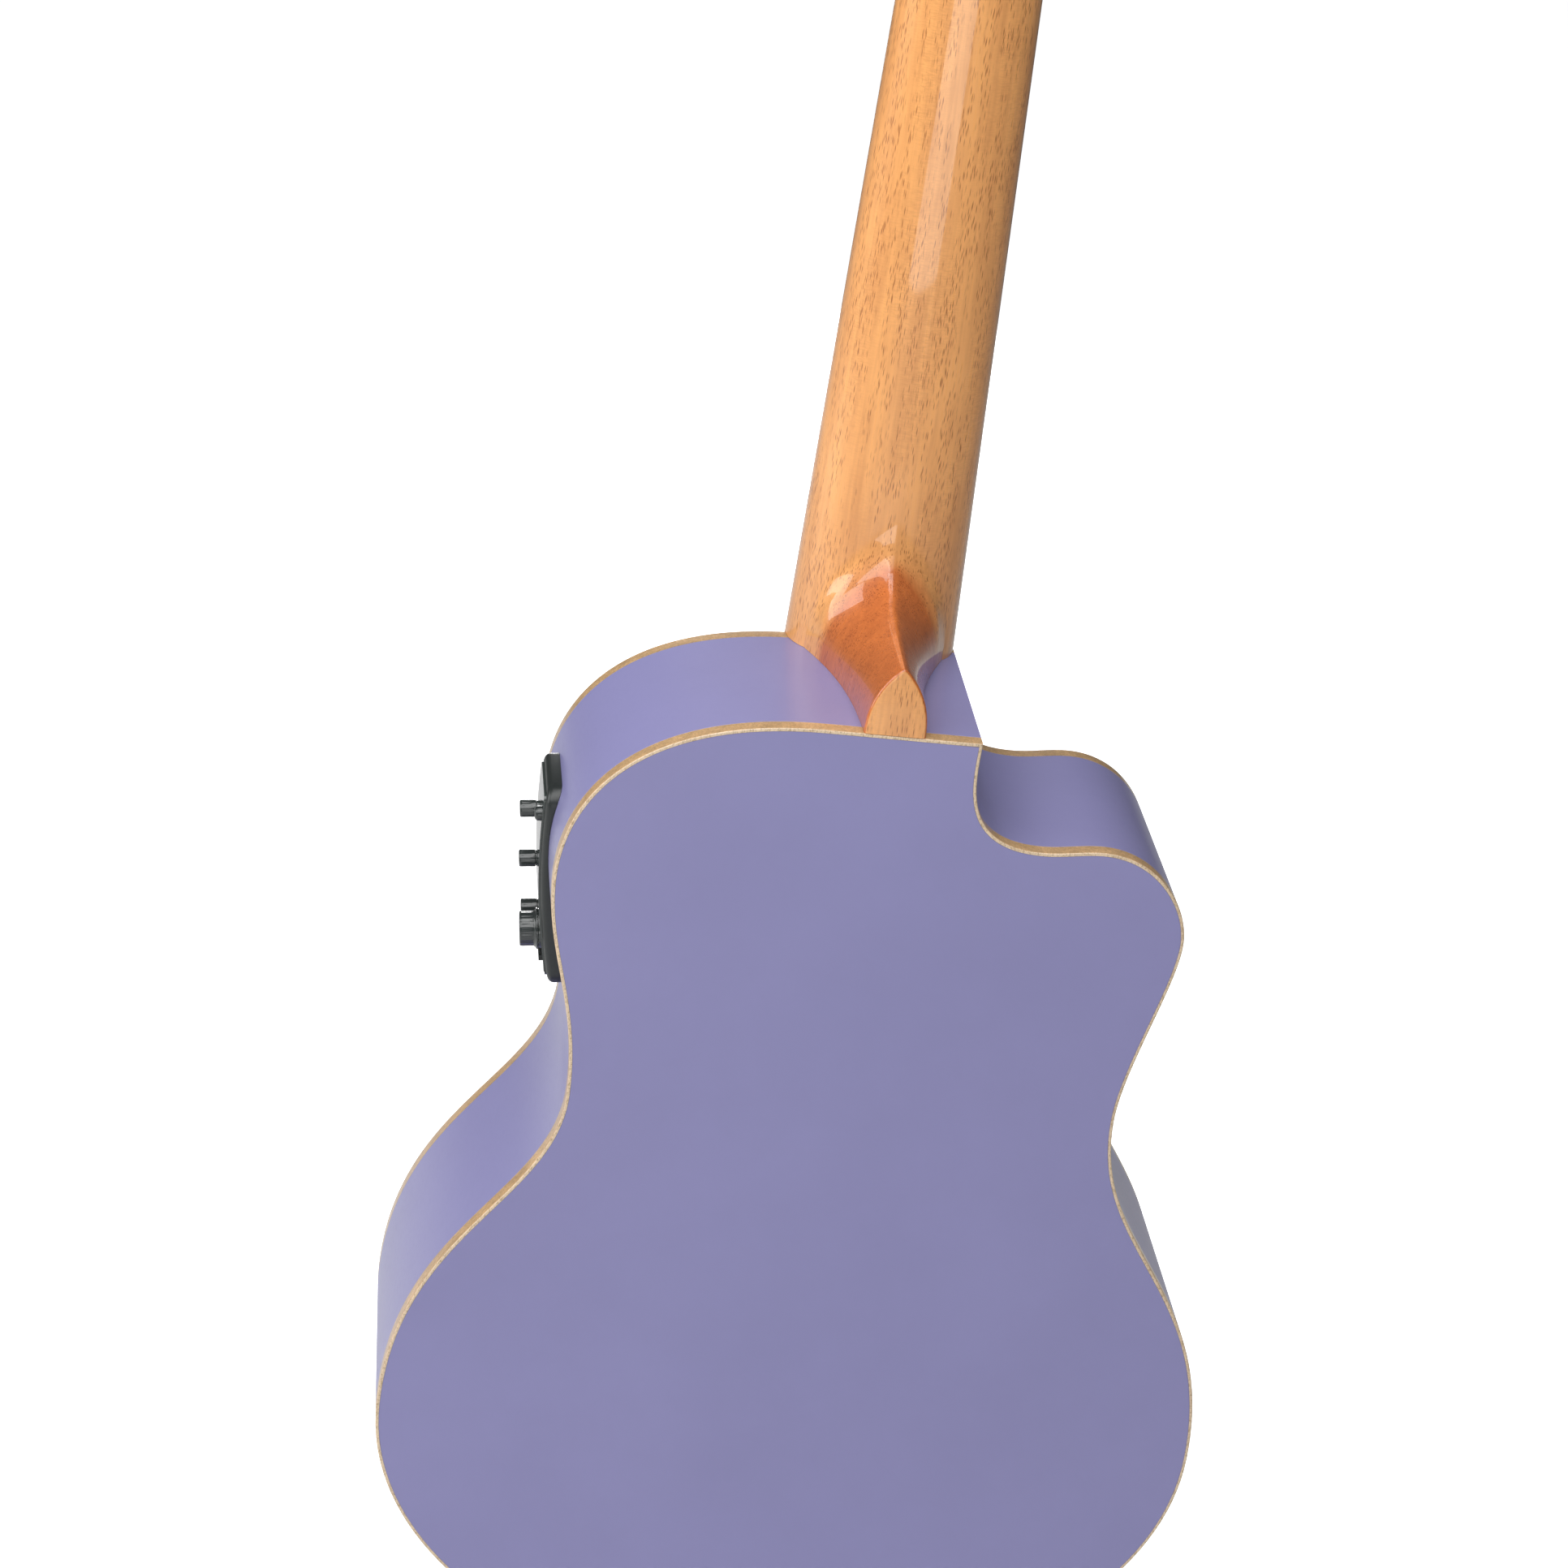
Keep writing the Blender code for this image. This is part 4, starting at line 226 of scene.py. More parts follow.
TUNER_BORE_ENDS = (-0.01, 0.03)

# Preamp
PREAMP_DROP = 0.0650
PREAMP_DEPTH_Y = 0.0275
PREAMP_FACE_X = 0.0846
PREAMP_TILT = math.radians(6.5)
PREAMP_OPENING_ENDS = (-0.02, 0.01)
PREAMP_SIDE_SPAN = (-0.20, -0.02)
BEZEL_LENGTH = 0.0590
BEZEL_WIDTH = 0.0295
BEZEL_RIM = 0.0022
BEZEL_CROWN = 0.0020
BEZEL_CORNER = 0.0050
BEZEL_SOFT = 0.0005
BEZEL_OUTER_SOFT = 0.0016
BEZEL_INNER_CORNER = BEZEL_CORNER * 0.4
BEZEL_EDGE_STEPS = 5
BEZEL_SEAT = SEAT_GAP * 0.3
COLLAR_WALL = 0.0013
COLLAR_DEPTH = 0.0110
COLLAR_CORNER = BEZEL_CORNER * 0.6
HOUSING_DEPTH = 0.0260
PANEL_PROUD = 0.0006
PANEL_BLANK_TOP = 0.0060
OVER_PANEL = 0.0120
KNOB_SHOW = 0.00006
KNOB_SEAT_DEPTH = 0.0040
KNOB_SEAT_INSET = 0.0002
KNOB_SEAT_EDGE = 0.0001
SMALL_KNOB_RADIUS = 0.0024
SMALL_KNOB_HEIGHT = 0.0045
VOLUME_KNOB_RADIUS = 0.0048
VOLUME_SKIRT_RADIUS = 0.0057
VOLUME_KNOB_HEIGHT = 0.0050
KNOB_STEM_RADIUS = 0.0015
KNOB_STEM_LENGTH = 0.0040
KNOB_EDGE = 0.0004
KNOB_EDGE_STEPS = 5
KNOB_DISH_RIM = 0.72
KNOB_DISH_FLOOR = 0.66
KNOB_DISH_DEPTH = 0.00015
KNOB_DISH_MIDDLE = 0.00025
FLUTE_DEPTH = 0.00009
FLUTE_RISE = 0.0003
FLUTE_STEPS = 6
SMALL_KNOB_FLUTES = 14
VOLUME_KNOB_FLUTES = 24
SKIRT_EDGE = 0.0001
SKIRT_HEIGHT = 0.0004
SKIRT_SLOPE_HEIGHT = 0.0012
SKIRT_HOLLOW = 0.6
TONE_KNOB_Y = -0.0075
TONE_KNOB_TOP = 0.0145
TONE_KNOB_SPACING = 0.0150
VOLUME_KNOB_Y = 0.0056
PUSH_BUTTON_RADIUS = 0.0020
PUSH_BUTTON_PROUD = 0.0018
PUSH_BUTTON_Y = 0.0085
PUSH_BUTTON_UP = 0.0205
PUSH_BUTTON_EDGE = 0.0005
TRAY_THICKNESS = 0.0044
TRAY_WIDTH = 0.0224
TRAY_DEPTH = 0.0225
TRAY_DOWN = 0.0238

# Camera, from the photo's perspective
CAMERA_PLACE = (0.162375, 0.99393, 0.16067)
CAMERA_RIGHT = (-0.98734, 0.0835, 0.13487)
CAMERA_DOWN = (-0.08808, 0.41854, -0.90392)
CAMERA_FORWARD = (-0.13193, -0.90435, -0.40589)
CAMERA_LENS = 90.43
SENSOR = 36.0
NEAREST_SEEN = 0.01

# Stage: each softbox's setting, place, aim and size
FLOOR_GAP = 0.0002
FLOOR_REACH = 6.0
SKY_SEEN = 0.95
BODY_AIM = (0.0, 0.04, -0.35)
SOFTBOXES = (
    ("key", (0.51, 0.56, 0.49), BODY_AIM, (0.8, 0.8)),
    ("side", (1.23, 0.04, 0.07), BODY_AIM, (0.8, 0.8)),
    ("back", (0.0, 0.96, 0.57), BODY_AIM, (0.8, 0.8)),
    ("top", (0.0, 0.17, 0.94), BODY_AIM, (0.8, 0.8)),
    ("front", (-0.05, -1.3, -0.30), BODY_AIM, (0.4, 0.4)),
    ("sheen", (0.06, 1.2, -0.30), (0.0, 0.02, -0.12), (0.55, 0.30)),
)

# Finishes: a painted shade that darkens the heel's flanks, by depth and by a face's turn, and a painted
# sheen that makes the binding's face paler
HEEL_PAINTED_SHADE = (0.70, 0.42, 0.31)
PAINTED_SHADE_DEPTHS = (0.0160, 0.0205)
PAINTED_SHADE_TURNS = (0.96, 0.78)
BINDING_PAINTED_SHEEN = (0.86, 0.70, 0.50)
BINDING_SHEEN_TURNS = (0.35, 0.8)

SHARP_ANGLE = math.radians(32)
EDGE_GAP = 0.00006


# Sizes and colours that a user would change


def settings(kind):
    return getattr(bpy.context.scene, kind)


class UkuleleBodyLook(bpy.types.PropertyGroup):
    paint: bpy.props.FloatVectorProperty(
        name="Paint",
        description="Colour of the lacquer on the body",
        subtype="COLOR",
        default=(0.272, 0.262, 0.495),
    )
    paint_roughness: bpy.props.FloatProperty(
        name="Paint roughness",
        description="How satin the lacquer is",
        default=0.34,
        min=0.02,
        max=1.0,
    )
    binding: bpy.props.FloatVectorProperty(
        name="Binding",
        description="Colour of the pale binding",
        subtype="COLOR",
        default=(0.66, 0.42, 0.21),
    )
    edge_round: bpy.props.FloatProperty(
        name="Edge rounding",
        description="Radius worn on the binding's corner",
        default=0.0004,
        unit="LENGTH",
    )


class UkuleleNeckLook(bpy.types.PropertyGroup):
    light: bpy.props.FloatVectorProperty(
        name="Light wood",
        description="Early wood of the neck",
        subtype="COLOR",
        default=(0.96, 0.455, 0.155),
    )
    dark: bpy.props.FloatVectorProperty(
        name="Dark wood",
        description="Late wood and pores of the neck",
        subtype="COLOR",
        default=(0.38, 0.115, 0.032),
    )
    cap_round: bpy.props.FloatProperty(
        name="Heel edge",
        description="Radius of the heel cap's edge",
        default=0.0009,
        unit="LENGTH",
    )


class UkuleleFittingsLook(bpy.types.PropertyGroup):
    plastic: bpy.props.FloatVectorProperty(
        name="Plastic",
        description="Colour of the preamp's mouldings",
        subtype="COLOR",
        default=(0.021, 0.025, 0.024),
    )
    metal: bpy.props.FloatVectorProperty(
        name="Plating",
        description="Colour of the plated metal",
        subtype="COLOR",
        default=(0.74, 0.74, 0.75),
    )
    board: bpy.props.FloatVectorProperty(
        name="Fingerboard",
        description="Colour of the dark hardwood",
        subtype="COLOR",
        default=(0.085, 0.036, 0.020),
    )


class UkuleleStageLook(bpy.types.PropertyGroup):
    surround: bpy.props.FloatProperty(
        name="Surround",
        description="Brightness of the pale room",
        default=0.06,
        min=0.0,
    )
    floor_glow: bpy.props.FloatProperty(
        name="Floor glow",
        description="How far the floor is lifted to white, as the camera sees it",
        default=0.92,
        min=0.0,
    )
    key: bpy.props.FloatProperty(
        name="Key light",
        description="Power of the main softbox in watts",
        default=6.6,
    )
    side: bpy.props.FloatProperty(
        name="Side light",
        description="Power of the softbox on the bass side in watts",
        default=6.6,
    )
    back: bpy.props.FloatProperty(
        name="Back light",
        description="Power of the softbox over the back in watts",
        default=2.4,
    )
    top: bpy.props.FloatProperty(
        name="Top light",
        description="Power of the softbox overhead in watts",
        default=7.0,
    )
    front: bpy.props.FloatProperty(
        name="Front light",
        description="Power of the softbox before the top in watts",
        default=4.0,
    )
    sheen: bpy.props.FloatProperty(
        name="Sheen light",
        description="Power of the softbox mirrored in the neck in watts",
        default=1.2,
    )


# Curves and outlines


def bezier(start, start_handle, end_handle, end, steps):
    """Points of a cubic, without its last one."""
    points = []
    for i in range(steps):
        t = i / steps
        weights = ((1 - t) ** 3, 3 * (1 - t) ** 2 * t, 3 * (1 - t) * t * t, t**3)
        controls = (start, start_handle, end_handle, end)
        points.append(tuple(sum(w * c[k] for w, c in zip(weights, controls)) for k in range(len(start))))
    return points


def neck_half_width(z):
    """Half the width of the neck and fingerboard."""
    return (NUT_WIDTH + (NECK_WIDTH_AT_BODY - NUT_WIDTH) * z / BODY_TOP_Z) / 2


def back_y(z):
    """The outer face of the back."""
    return DEPTH_AT_NECK + BACK_SLOPE * (BODY_TOP_Z - z)


def lower_bout(waist, waist_fall, steps):
    bout = LOWER_BOUT_HALF, -LOWER_BOUT_DROP
    rise = bout[0], bout[1] + LOWER_BOUT_RISE
    fall = bout[0], bout[1] - LOWER_BOUT_FALL
    tail = 0.0, -BODY_LENGTH
    points = bezier(waist, (waist[0], waist[1] - waist_fall), rise, bout, steps)
    points += bezier(bout, fall, (TAIL_FULLNESS, -BODY_LENGTH), tail, steps)
    return points + [tail]


def bass_path(steps):
    """From the top centre, over the shoulder and the waist to the tail centre."""
    shoulder = TOP_FLAT_HALF, 0.0
    upper = UPPER_BOUT_HALF, -UPPER_BOUT_DROP
    waist = BASS_WAIST_HALF, -BASS_WAIST_DROP
    full = TOP_FLAT_HALF + SHOULDER_FULLNESS, 0.0
    points = [(0.0, 0.0), (TOP_FLAT_HALF / 2, 0.0)]
    points += bezier(shoulder, full, (upper[0], upper[1] + UPPER_BOUT_RISE), upper, steps)
    fall = upper[0], upper[1] - UPPER_BOUT_FALL
    points += bezier(upper, fall, (waist[0], waist[1] + BASS_WAIST_RISE), waist, steps)
    points += lower_bout(waist, BASS_WAIST_FALL, steps)
    return [(x, BODY_TOP_Z + drop) for x, drop in points]


def treble_path(steps):
    """From the top centre, round the cutaway, the horn and the waist to the tail centre."""
    wall = neck_half_width(BODY_TOP_Z), 0.0
    dip = CUTAWAY_DIP_X, -CUTAWAY_DIP_DROP
    shelf = HORN_SHELF_X, -HORN_SHELF_DROP
    horn = HORN_HALF, -HORN_DROP
    waist = TREBLE_WAIST_HALF, -TREBLE_WAIST_DROP
    third = (shelf[0] - dip[0]) / 3
    points = [(0.0, 0.0), (wall[0] / 2, 0.0)]
    points += bezier(
        wall, (wall[0], -CUTAWAY_WALL_FULLNESS), (dip[0] - CUTAWAY_DIP_FULLNESS, dip[1]), dip, steps
    )
    points += bezier(dip, (dip[0] + third, dip[1]), (shelf[0] - third, shelf[1]), shelf, steps // 2)
    points += bezier(
        shelf, (shelf[0] + HORN_SHELF_FULLNESS, shelf[1]), (horn[0], horn[1] + HORN_RISE), horn, steps
    )
    points += bezier(
        horn, (horn[0], horn[1] - HORN_FALL), (waist[0], waist[1] + TREBLE_WAIST_RISE), waist, steps
    )
    points += lower_bout(waist, TREBLE_WAIST_FALL, steps)
    return [(-x, BODY_TOP_Z + drop) for x, drop in points]


def inset_points(path, inset, closed):
    """The path moved into the body, mitred at its corners. The body lies to the path's left."""
    points = [Vector(p) for p in path]
    normals = []
    for a, b in zip(points, points[1:] + points[:1]):
        run = (b - a).normalized()
        normals.append(Vector((-run.y, run.x)))
    inner = []
    for i, point in enumerate(points):
        before, after = normals[i - 1], normals[i]
        if not closed and i == 0:
            before = Vector((-after.x, after.y))
        if not closed and i == len(points) - 1:
            after = Vector((-before.x, before.y))
        inner.append(tuple(point + inset * (before + after) / (1 + before.dot(after))))
    return inner


def resampled(points, count):
    """Points spaced evenly along a line of points."""
    points = np.array([tuple(p) for p in points])
    along = np.concatenate([[0.0], np.cumsum(np.linalg.norm(np.diff(points, axis=0), axis=1))])
    wanted = np.linspace(0, along[-1], count)
    return [tuple(float(np.interp(w, along, points[:, k])) for k in range(points.shape[1])) for w in wanted]


def rounded_rectangle(half_y, half_z, corner, steps=8, side_steps=14):
    """Points round a rectangle with round corners, and along its long sides so that they can be bowed."""
    points = []
    for quarter, (sy, sz) in enumerate(((1, 1), (-1, 1), (-1, -1), (1, -1))):
        middle = sy * (half_y - corner), sz * (half_z - corner)
        for i in range(steps + 1):
            angle = math.pi / 2 * (quarter + i / steps)
            points.append((middle[0] + corner * math.cos(angle), middle[1] + corner * math.sin(angle)))
        if quarter % 2:
            last_y, last_z = points[-1]
            for i in range(1, side_steps):
                points.append((last_y, last_z * (1 - 2 * i / side_steps)))
    return points


def circle_points(radius, centre, steps):
    turns = [2 * math.pi * i / steps for i in range(steps)]
    return [(centre[0] + radius * math.cos(a), centre[1] + radius * math.sin(a)) for a in turns]


# Mesh helpers


def finish_mesh(bm, name, sharp=SHARP_ANGLE):
    """A smooth mesh, with sharp edges where its faces turn by more than an angle."""
    bmesh.ops.recalc_face_normals(bm, faces=bm.faces)
    mesh = bpy.data.meshes.new(name)
    bm.to_mesh(mesh)
    bm.free()
    mesh.shade_smooth()
    mesh.set_sharp_from_angle(angle=sharp)
    return mesh


def grid_into(bm, rings, across=True, along=False):
    """Faces between rows of vertices. across closes each row, along joins the last row to the first."""
    count = len(rings[0])
    pairs = list(zip(rings, rings[1:])) + ([(rings[-1], rings[0])] if along else [])
    for low, high in pairs:
        for i in range(count if across else count - 1):
            j = (i + 1) % count
            corners = []
            for vert in (low[i], low[j], high[j], high[i]):
                if vert not in corners:
                    corners.append(vert)
            if len(corners) > 2:
                bm.faces.new(corners)


def loft_mesh(name, rings, looped=False):
    """Joins rings of points: looped joins the last ring to the first, and otherwise both ends are closed."""
    bm = bmesh.new()
    rows = [[bm.verts.new(p) for p in ring] for ring in rings]
    grid_into(bm, rows, along=looped)
    if not looped:
        bm.faces.new(rows[0])
        bm.faces.new(rows[-1])
    return finish_mesh(bm, name)


def turned_mesh(name, profile, axis="X", steps=48):
    """Turns (radius, along) points about an axis."""
    bm = bmesh.new()
    put = {
        "X": lambda a, u, v: (a, u, v),
        "Y": lambda a, u, v: (u, a, v),
        "Z": lambda a, u, v: (u, v, a),
    }[axis]
    rows = []
    for radius, along in profile:
        if radius == 0:
            rows.append([bm.verts.new(put(along, 0, 0))] * steps)
        else:
            ring = circle_points(radius, (0.0, 0.0), steps)
            rows.append([bm.verts.new(put(along, u, v)) for u, v in ring])
    grid_into(bm, rows, along=profile[0][0] > 0)
    return finish_mesh(bm, name)


def plate_mesh(name, loops, front_y, rear_y):
    """A plate in the XZ plane with holes. Its faces follow y(z)."""
    bm = bmesh.new()
    edges = []
    for loop in loops:
        verts = [bm.verts.new((x, 0, z)) for x, z in loop]
        edges += [bm.edges.new((verts[i - 1], verts[i])) for i in range(len(verts))]
    bmesh.ops.triangle_fill(bm, use_beauty=True, edges=edges)
    extruded = bmesh.ops.extrude_face_region(bm, geom=list(bm.faces))
    rear = {v for v in extruded["geom"] if isinstance(v, bmesh.types.BMVert)}
    for vert in bm.verts:
        vert.co.y = rear_y(vert.co.z) if vert in rear else front_y(vert.co.z)
    return finish_mesh(bm, name)


def softened(profile, radius, steps=4):
    """A turned profile with its corners rounded, where they are wide enough to take the radius."""
    points = [profile[0]]
    for before, corner, after in zip(profile, profile[1:], profile[2:]):
        a, b, c = Vector(before), Vector(corner), Vector(after)
        reach = min(radius, (a - b).length * 0.45, (c - b).length * 0.45)
        start = b + (a - b).normalized() * reach
        end = b + (c - b).normalized() * reach
        for i in range(steps + 1):
            t = i / steps
            points.append(tuple((1 - t) ** 2 * start + 2 * t * (1 - t) * b + t * t * end))
    points.append(profile[-1])
    return points


def piece(name, mesh, finish, body=ROOT, replaces=(), placed_by=None):
    """Adds an object that rides on a body. replaces lists the CAD nodes whose place it takes."""
    obj = bpy.data.objects.new(name, mesh)
    bpy.context.scene.collection.objects.link(obj)
    if placed_by is not None:
        mesh.transform(placed_by)
    mesh.materials.append(material(finish))
    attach(obj, body)
    if replaces:
        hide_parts(*replaces)
    return obj


def cut(obj, mesh, operation="DIFFERENCE"):
    """Applies one Boolean at once and drops its cutter."""
    cutter = bpy.data.objects.new("cutter", mesh)
    bpy.context.scene.collection.objects.link(cutter)
    step = obj.modifiers.new("cut", "BOOLEAN")
    step.operation = operation
    step.object = cutter
    step.solver = "EXACT"
    graph = bpy.context.evaluated_depsgraph_get()
    made = bpy.data.meshes.new_from_object(obj.evaluated_get(graph), depsgraph=graph)
    obj.modifiers.clear()
    old = obj.data
    obj.data = made
    made.name = old.name
    made.shade_smooth()
    made.set_sharp_from_angle(angle=SHARP_ANGLE)
    bpy.data.objects.remove(cutter)
    bpy.data.meshes.remove(old)


# Shader node groups


def group(name, inputs, outputs):
    """A new shader node group with named sockets: inputs are (name, kind, default)."""
    made = bpy.data.node_groups.new(name, "ShaderNodeTree")
    for label, kind, default in inputs:
        socket = made.interface.new_socket(label, in_out="INPUT", socket_type=kind)
        if default is not None:
            socket.default_value = default
    for label, kind in outputs:
        made.interface.new_socket(label, in_out="OUTPUT", socket_type=kind)
    start = made.nodes.new("NodeGroupInput")
    end = made.nodes.new("NodeGroupOutput")
    return made, start, end


def add(tree, kind, sets=None, links=None, **options):
    """Adds a node. sets gives plain inputs and links the rest, both by socket name or number."""
    node = tree.nodes.new(kind)
    for key, value in options.items():
        setattr(node, key, value)
    for key, value in (sets or {}).items():
        node.inputs[key].default_value = value
    for key, source in (links or {}).items():
        tree.links.new(source, node.inputs[key])
    return node


def math_node(tree, operation, *values):
    node = tree.nodes.new("ShaderNodeMath")
    node.operation = operation
    for i, value in enumerate(values):
        if isinstance(value, (int, float)):
            node.inputs[i].default_value = value
        else:
            tree.links.new(value, node.inputs[i])
    return node.outputs[0]


def ramp(tree, source, low, high, low_value=0.0, high_value=1.0):
    """Maps low..high of a value to low_value..high_value, clamped."""
    node = add(
        tree,
        "ShaderNodeMapRange",
        {"From Min": low, "From Max": high, "To Min": low_value, "To Max": high_value},
        {"Value": source},
    )
    return node.outputs["Result"]


def mix_colour(tree, factor, first, second, blend="MIX"):
    node = tree.nodes.new("ShaderNodeMix")
    node.data_type = "RGBA"
    node.blend_type = blend
    for label, value in (("Factor", factor), ("A", first), ("B", second)):
        socket = node.inputs[label]
        if isinstance(value, (int, float)):
            socket.default_value = value
        elif isinstance(value, (tuple, Vector)):
            socket.default_value = (*value[:3], 1.0)
        else:
            tree.links.new(value, socket)
    return node.outputs["Result"]


def stretched(tree, source, scale):
    """The vector scaled on each axis: a small share draws a pattern out along that axis."""
    return add(tree, "ShaderNodeMapping", {"Scale": scale}, {"Vector": source}).outputs[0]


def noise(tree, source, scale, detail=3.0, rough=0.5, warp=0.0):
    node = add(
        tree,
        "ShaderNodeTexNoise",
        {"Scale": scale, "Detail": detail, "Roughness": rough, "Distortion": warp},
        {"Vector": source},
    )
    return node.outputs["Fac"]


def put_out(tree, end, values):
    """Links a group's results to its outputs."""
    for label, value in values.items():
        tree.links.new(value, end.inputs[label])
    return tree


def facing_back(tree):
    """How far a face looks along the body's depth: 1 towards the back, -1 towards the top."""
    faces = tree.nodes.new("ShaderNodeTexCoord").outputs["Normal"]
    return add(tree, "ShaderNodeSeparateXYZ", links={0: faces}).outputs["Y"]


def make_wood_group():
    """Figure, pores and cross ripple of a straight-grained wood whose grain runs along Z."""
    tree, start, end = group(
        "uke_wood_grain",
        [
            ("Vector", "NodeSocketVector", None),
            ("Figure Scale", "NodeSocketFloat", 1.0),
            ("Ripple", "NodeSocketFloat", 0.5),
        ],
        [
            ("Figure", "NodeSocketFloat"),
            ("Pores", "NodeSocketFloat"),
            ("Ripple", "NodeSocketFloat"),
            ("Height", "NodeSocketFloat"),
        ],
    )
    source = add(tree, "ShaderNodeVectorMath", links={0: start.outputs["Vector"]}, operation="SCALE")
    tree.links.new(start.outputs["Figure Scale"], source.inputs["Scale"])
    vector = source.outputs[0]
    # The grain wanders a little off its straight run
    wander = noise(tree, stretched(tree, vector, (1, 1, 0.18)), scale=60, detail=2)
    bent = add(tree, "ShaderNodeVectorMath", links={0: vector}, operation="ADD")
    nudge = add(tree, "ShaderNodeCombineXYZ", links={0: math_node(tree, "MULTIPLY", wander, 0.0035)})
    tree.links.new(nudge.outputs[0], bent.inputs[1])
    straight = bent.outputs[0]
    # Figure: broad and fine lines with a soft mottle
    broad = noise(tree, stretched(tree, straight, (1, 1, 0.045)), scale=230, detail=3, rough=0.6)
    fine = noise(tree, stretched(tree, straight, (1, 1, 0.03)), scale=900, detail=2, rough=0.6)
    mottle = noise(tree, stretched(tree, vector, (1, 1, 0.5)), scale=110, detail=3, rough=0.6)
    figure = math_node(tree, "MULTIPLY", broad, 0.35)
    figure = math_node(tree, "MULTIPLY_ADD", fine, 0.35, figure)
    figure = math_node(tree, "MULTIPLY_ADD", mottle, 0.3, figure)
    figure = ramp(tree, figure, 0.40, 0.60)
    # Pores: short dark dashes, gathered in patches
    cells = add(tree, "ShaderNodeTexVoronoi", {"Scale": 2500.0, "Randomness": 1.0}, feature="F1")
    drawn = add(tree, "ShaderNodeVectorMath", {1: (1.0, 1.0, 0.11)}, {0: straight}, operation="MULTIPLY")
    tree.links.new(drawn.outputs[0], cells.inputs["Vector"])
    patches = noise(tree, stretched(tree, straight, (1, 1, 0.08)), scale=420, detail=2)
    pore = ramp(tree, cells.outputs["Distance"], 0.16, 0.42, 1.0, 0.0)
    pores = math_node(tree, "MULTIPLY", pore, ramp(tree, patches, 0.40, 0.56))
    # Ripple: bands across the grain that come and go
    bands = noise(tree, stretched(tree, vector, (0.22, 0.22, 1)), scale=2400, detail=2, rough=0.55, warp=0.3)
    clouds = noise(tree, stretched(tree, vector, (1, 1, 0.25)), scale=75, detail=2)
    ripple = math_node(tree, "MULTIPLY", ramp(tree, bands, 0.42, 0.62), ramp(tree, clouds, 0.42, 0.62))
    ripple = math_node(tree, "MULTIPLY", ripple, start.outputs["Ripple"])
    height = math_node(tree, "MULTIPLY_ADD", pores, -1.0, math_node(tree, "MULTIPLY", fine, 0.35))
    return put_out(tree, end, {"Figure": figure, "Pores": pores, "Ripple": ripple, "Height": height})


def make_lacquer_group():
    """The slow waviness and the fine peel of a sprayed coat, and faint scuffs in its gloss."""
    tree, start, end = group(
        "uke_sprayed_coat",
        [
            ("Vector", "NodeSocketVector", None),
            ("Roughness", "NodeSocketFloat", 0.3),
            ("Scuffs", "NodeSocketFloat", 0.05),
        ],
        [("Roughness", "NodeSocketFloat"), ("Height", "NodeSocketFloat"), ("Tone", "NodeSocketFloat")],
    )
    vector = start.outputs["Vector"]
    peel = noise(tree, vector, scale=700, detail=2, rough=0.5)
    wave = noise(tree, vector, scale=60, detail=2, rough=0.4)
    height = math_node(tree, "MULTIPLY_ADD", wave, 2.0, math_node(tree, "MULTIPLY", peel, 0.35))
    scuff = noise(tree, stretched(tree, vector, (1, 1, 4)), scale=300, detail=4, rough=0.7)
    scuff = ramp(tree, scuff, 0.45, 0.75)
    rough = math_node(tree, "MULTIPLY_ADD", scuff, start.outputs["Scuffs"], start.outputs["Roughness"])
    tone = noise(tree, vector, scale=18, detail=4, rough=0.55)
    return put_out(tree, end, {"Roughness": rough, "Height": height, "Tone": tone})


def make_speckle_group():
    """Fine moulded grain and dust for small plastic and metal pieces."""
    tree, start, end = group(
        "uke_fine_speckle",
        [
            ("Vector", "NodeSocketVector", None),
            ("Scale", "NodeSocketFloat", 2500.0),
            ("Roughness", "NodeSocketFloat", 0.3),
            ("Spread", "NodeSocketFloat", 0.1),
        ],
        [("Roughness", "NodeSocketFloat"), ("Height", "NodeSocketFloat"), ("Dust", "NodeSocketFloat")],
    )
    vector = start.outputs["Vector"]
    grain = add(
        tree,
        "ShaderNodeTexNoise",
        {"Detail": 2.0},
        {"Vector": vector, "Scale": start.outputs["Scale"]},
    ).outputs["Fac"]
    cloud = noise(tree, vector, scale=140, detail=4, rough=0.6)
    rough = math_node(tree, "MULTIPLY_ADD", cloud, start.outputs["Spread"], start.outputs["Roughness"])
    dust = ramp(tree, noise(tree, vector, scale=900, detail=5, rough=0.7), 0.62, 0.82)
    return put_out(tree, end, {"Roughness": rough, "Height": grain, "Dust": dust})


GROUPS = {}


def use_group(tree, maker, sets, vector):
    """Places a node group in a material with its own values. Each group is built once."""
    if maker not in GROUPS:
        GROUPS[maker] = maker()
    node = tree.nodes.new("ShaderNodeGroup")
    node.node_tree = GROUPS[maker]
    tree.links.new(vector, node.inputs["Vector"])
    for key, value in sets.items():
        node.inputs[key].default_value = value
    return node


# Materials


def new_material(name, roughness=0.4, metallic=0.0, **constants):
    """A material with its Principled shader: constants are set on the shader's own sockets."""
    made = bpy.data.materials.new(name)
    made.use_nodes = True
    tree = made.node_tree
    shader = tree.nodes["Principled BSDF"]
    shader.inputs["Roughness"].default_value = roughness
    shader.inputs["Metallic"].default_value = metallic
    for key, value in constants.items():
        shader.inputs[key.replace("_", " ")].default_value = value
    coordinates = tree.nodes.new("ShaderNodeTexCoord")
    return made, tree, shader, coordinates.outputs["Object"]


def bump(tree, shader, height, strength, distance):
    node = add(tree, "ShaderNodeBump", {"Strength": strength, "Distance": distance}, {"Height": height})
    tree.links.new(node.outputs[0], shader.inputs["Normal"])


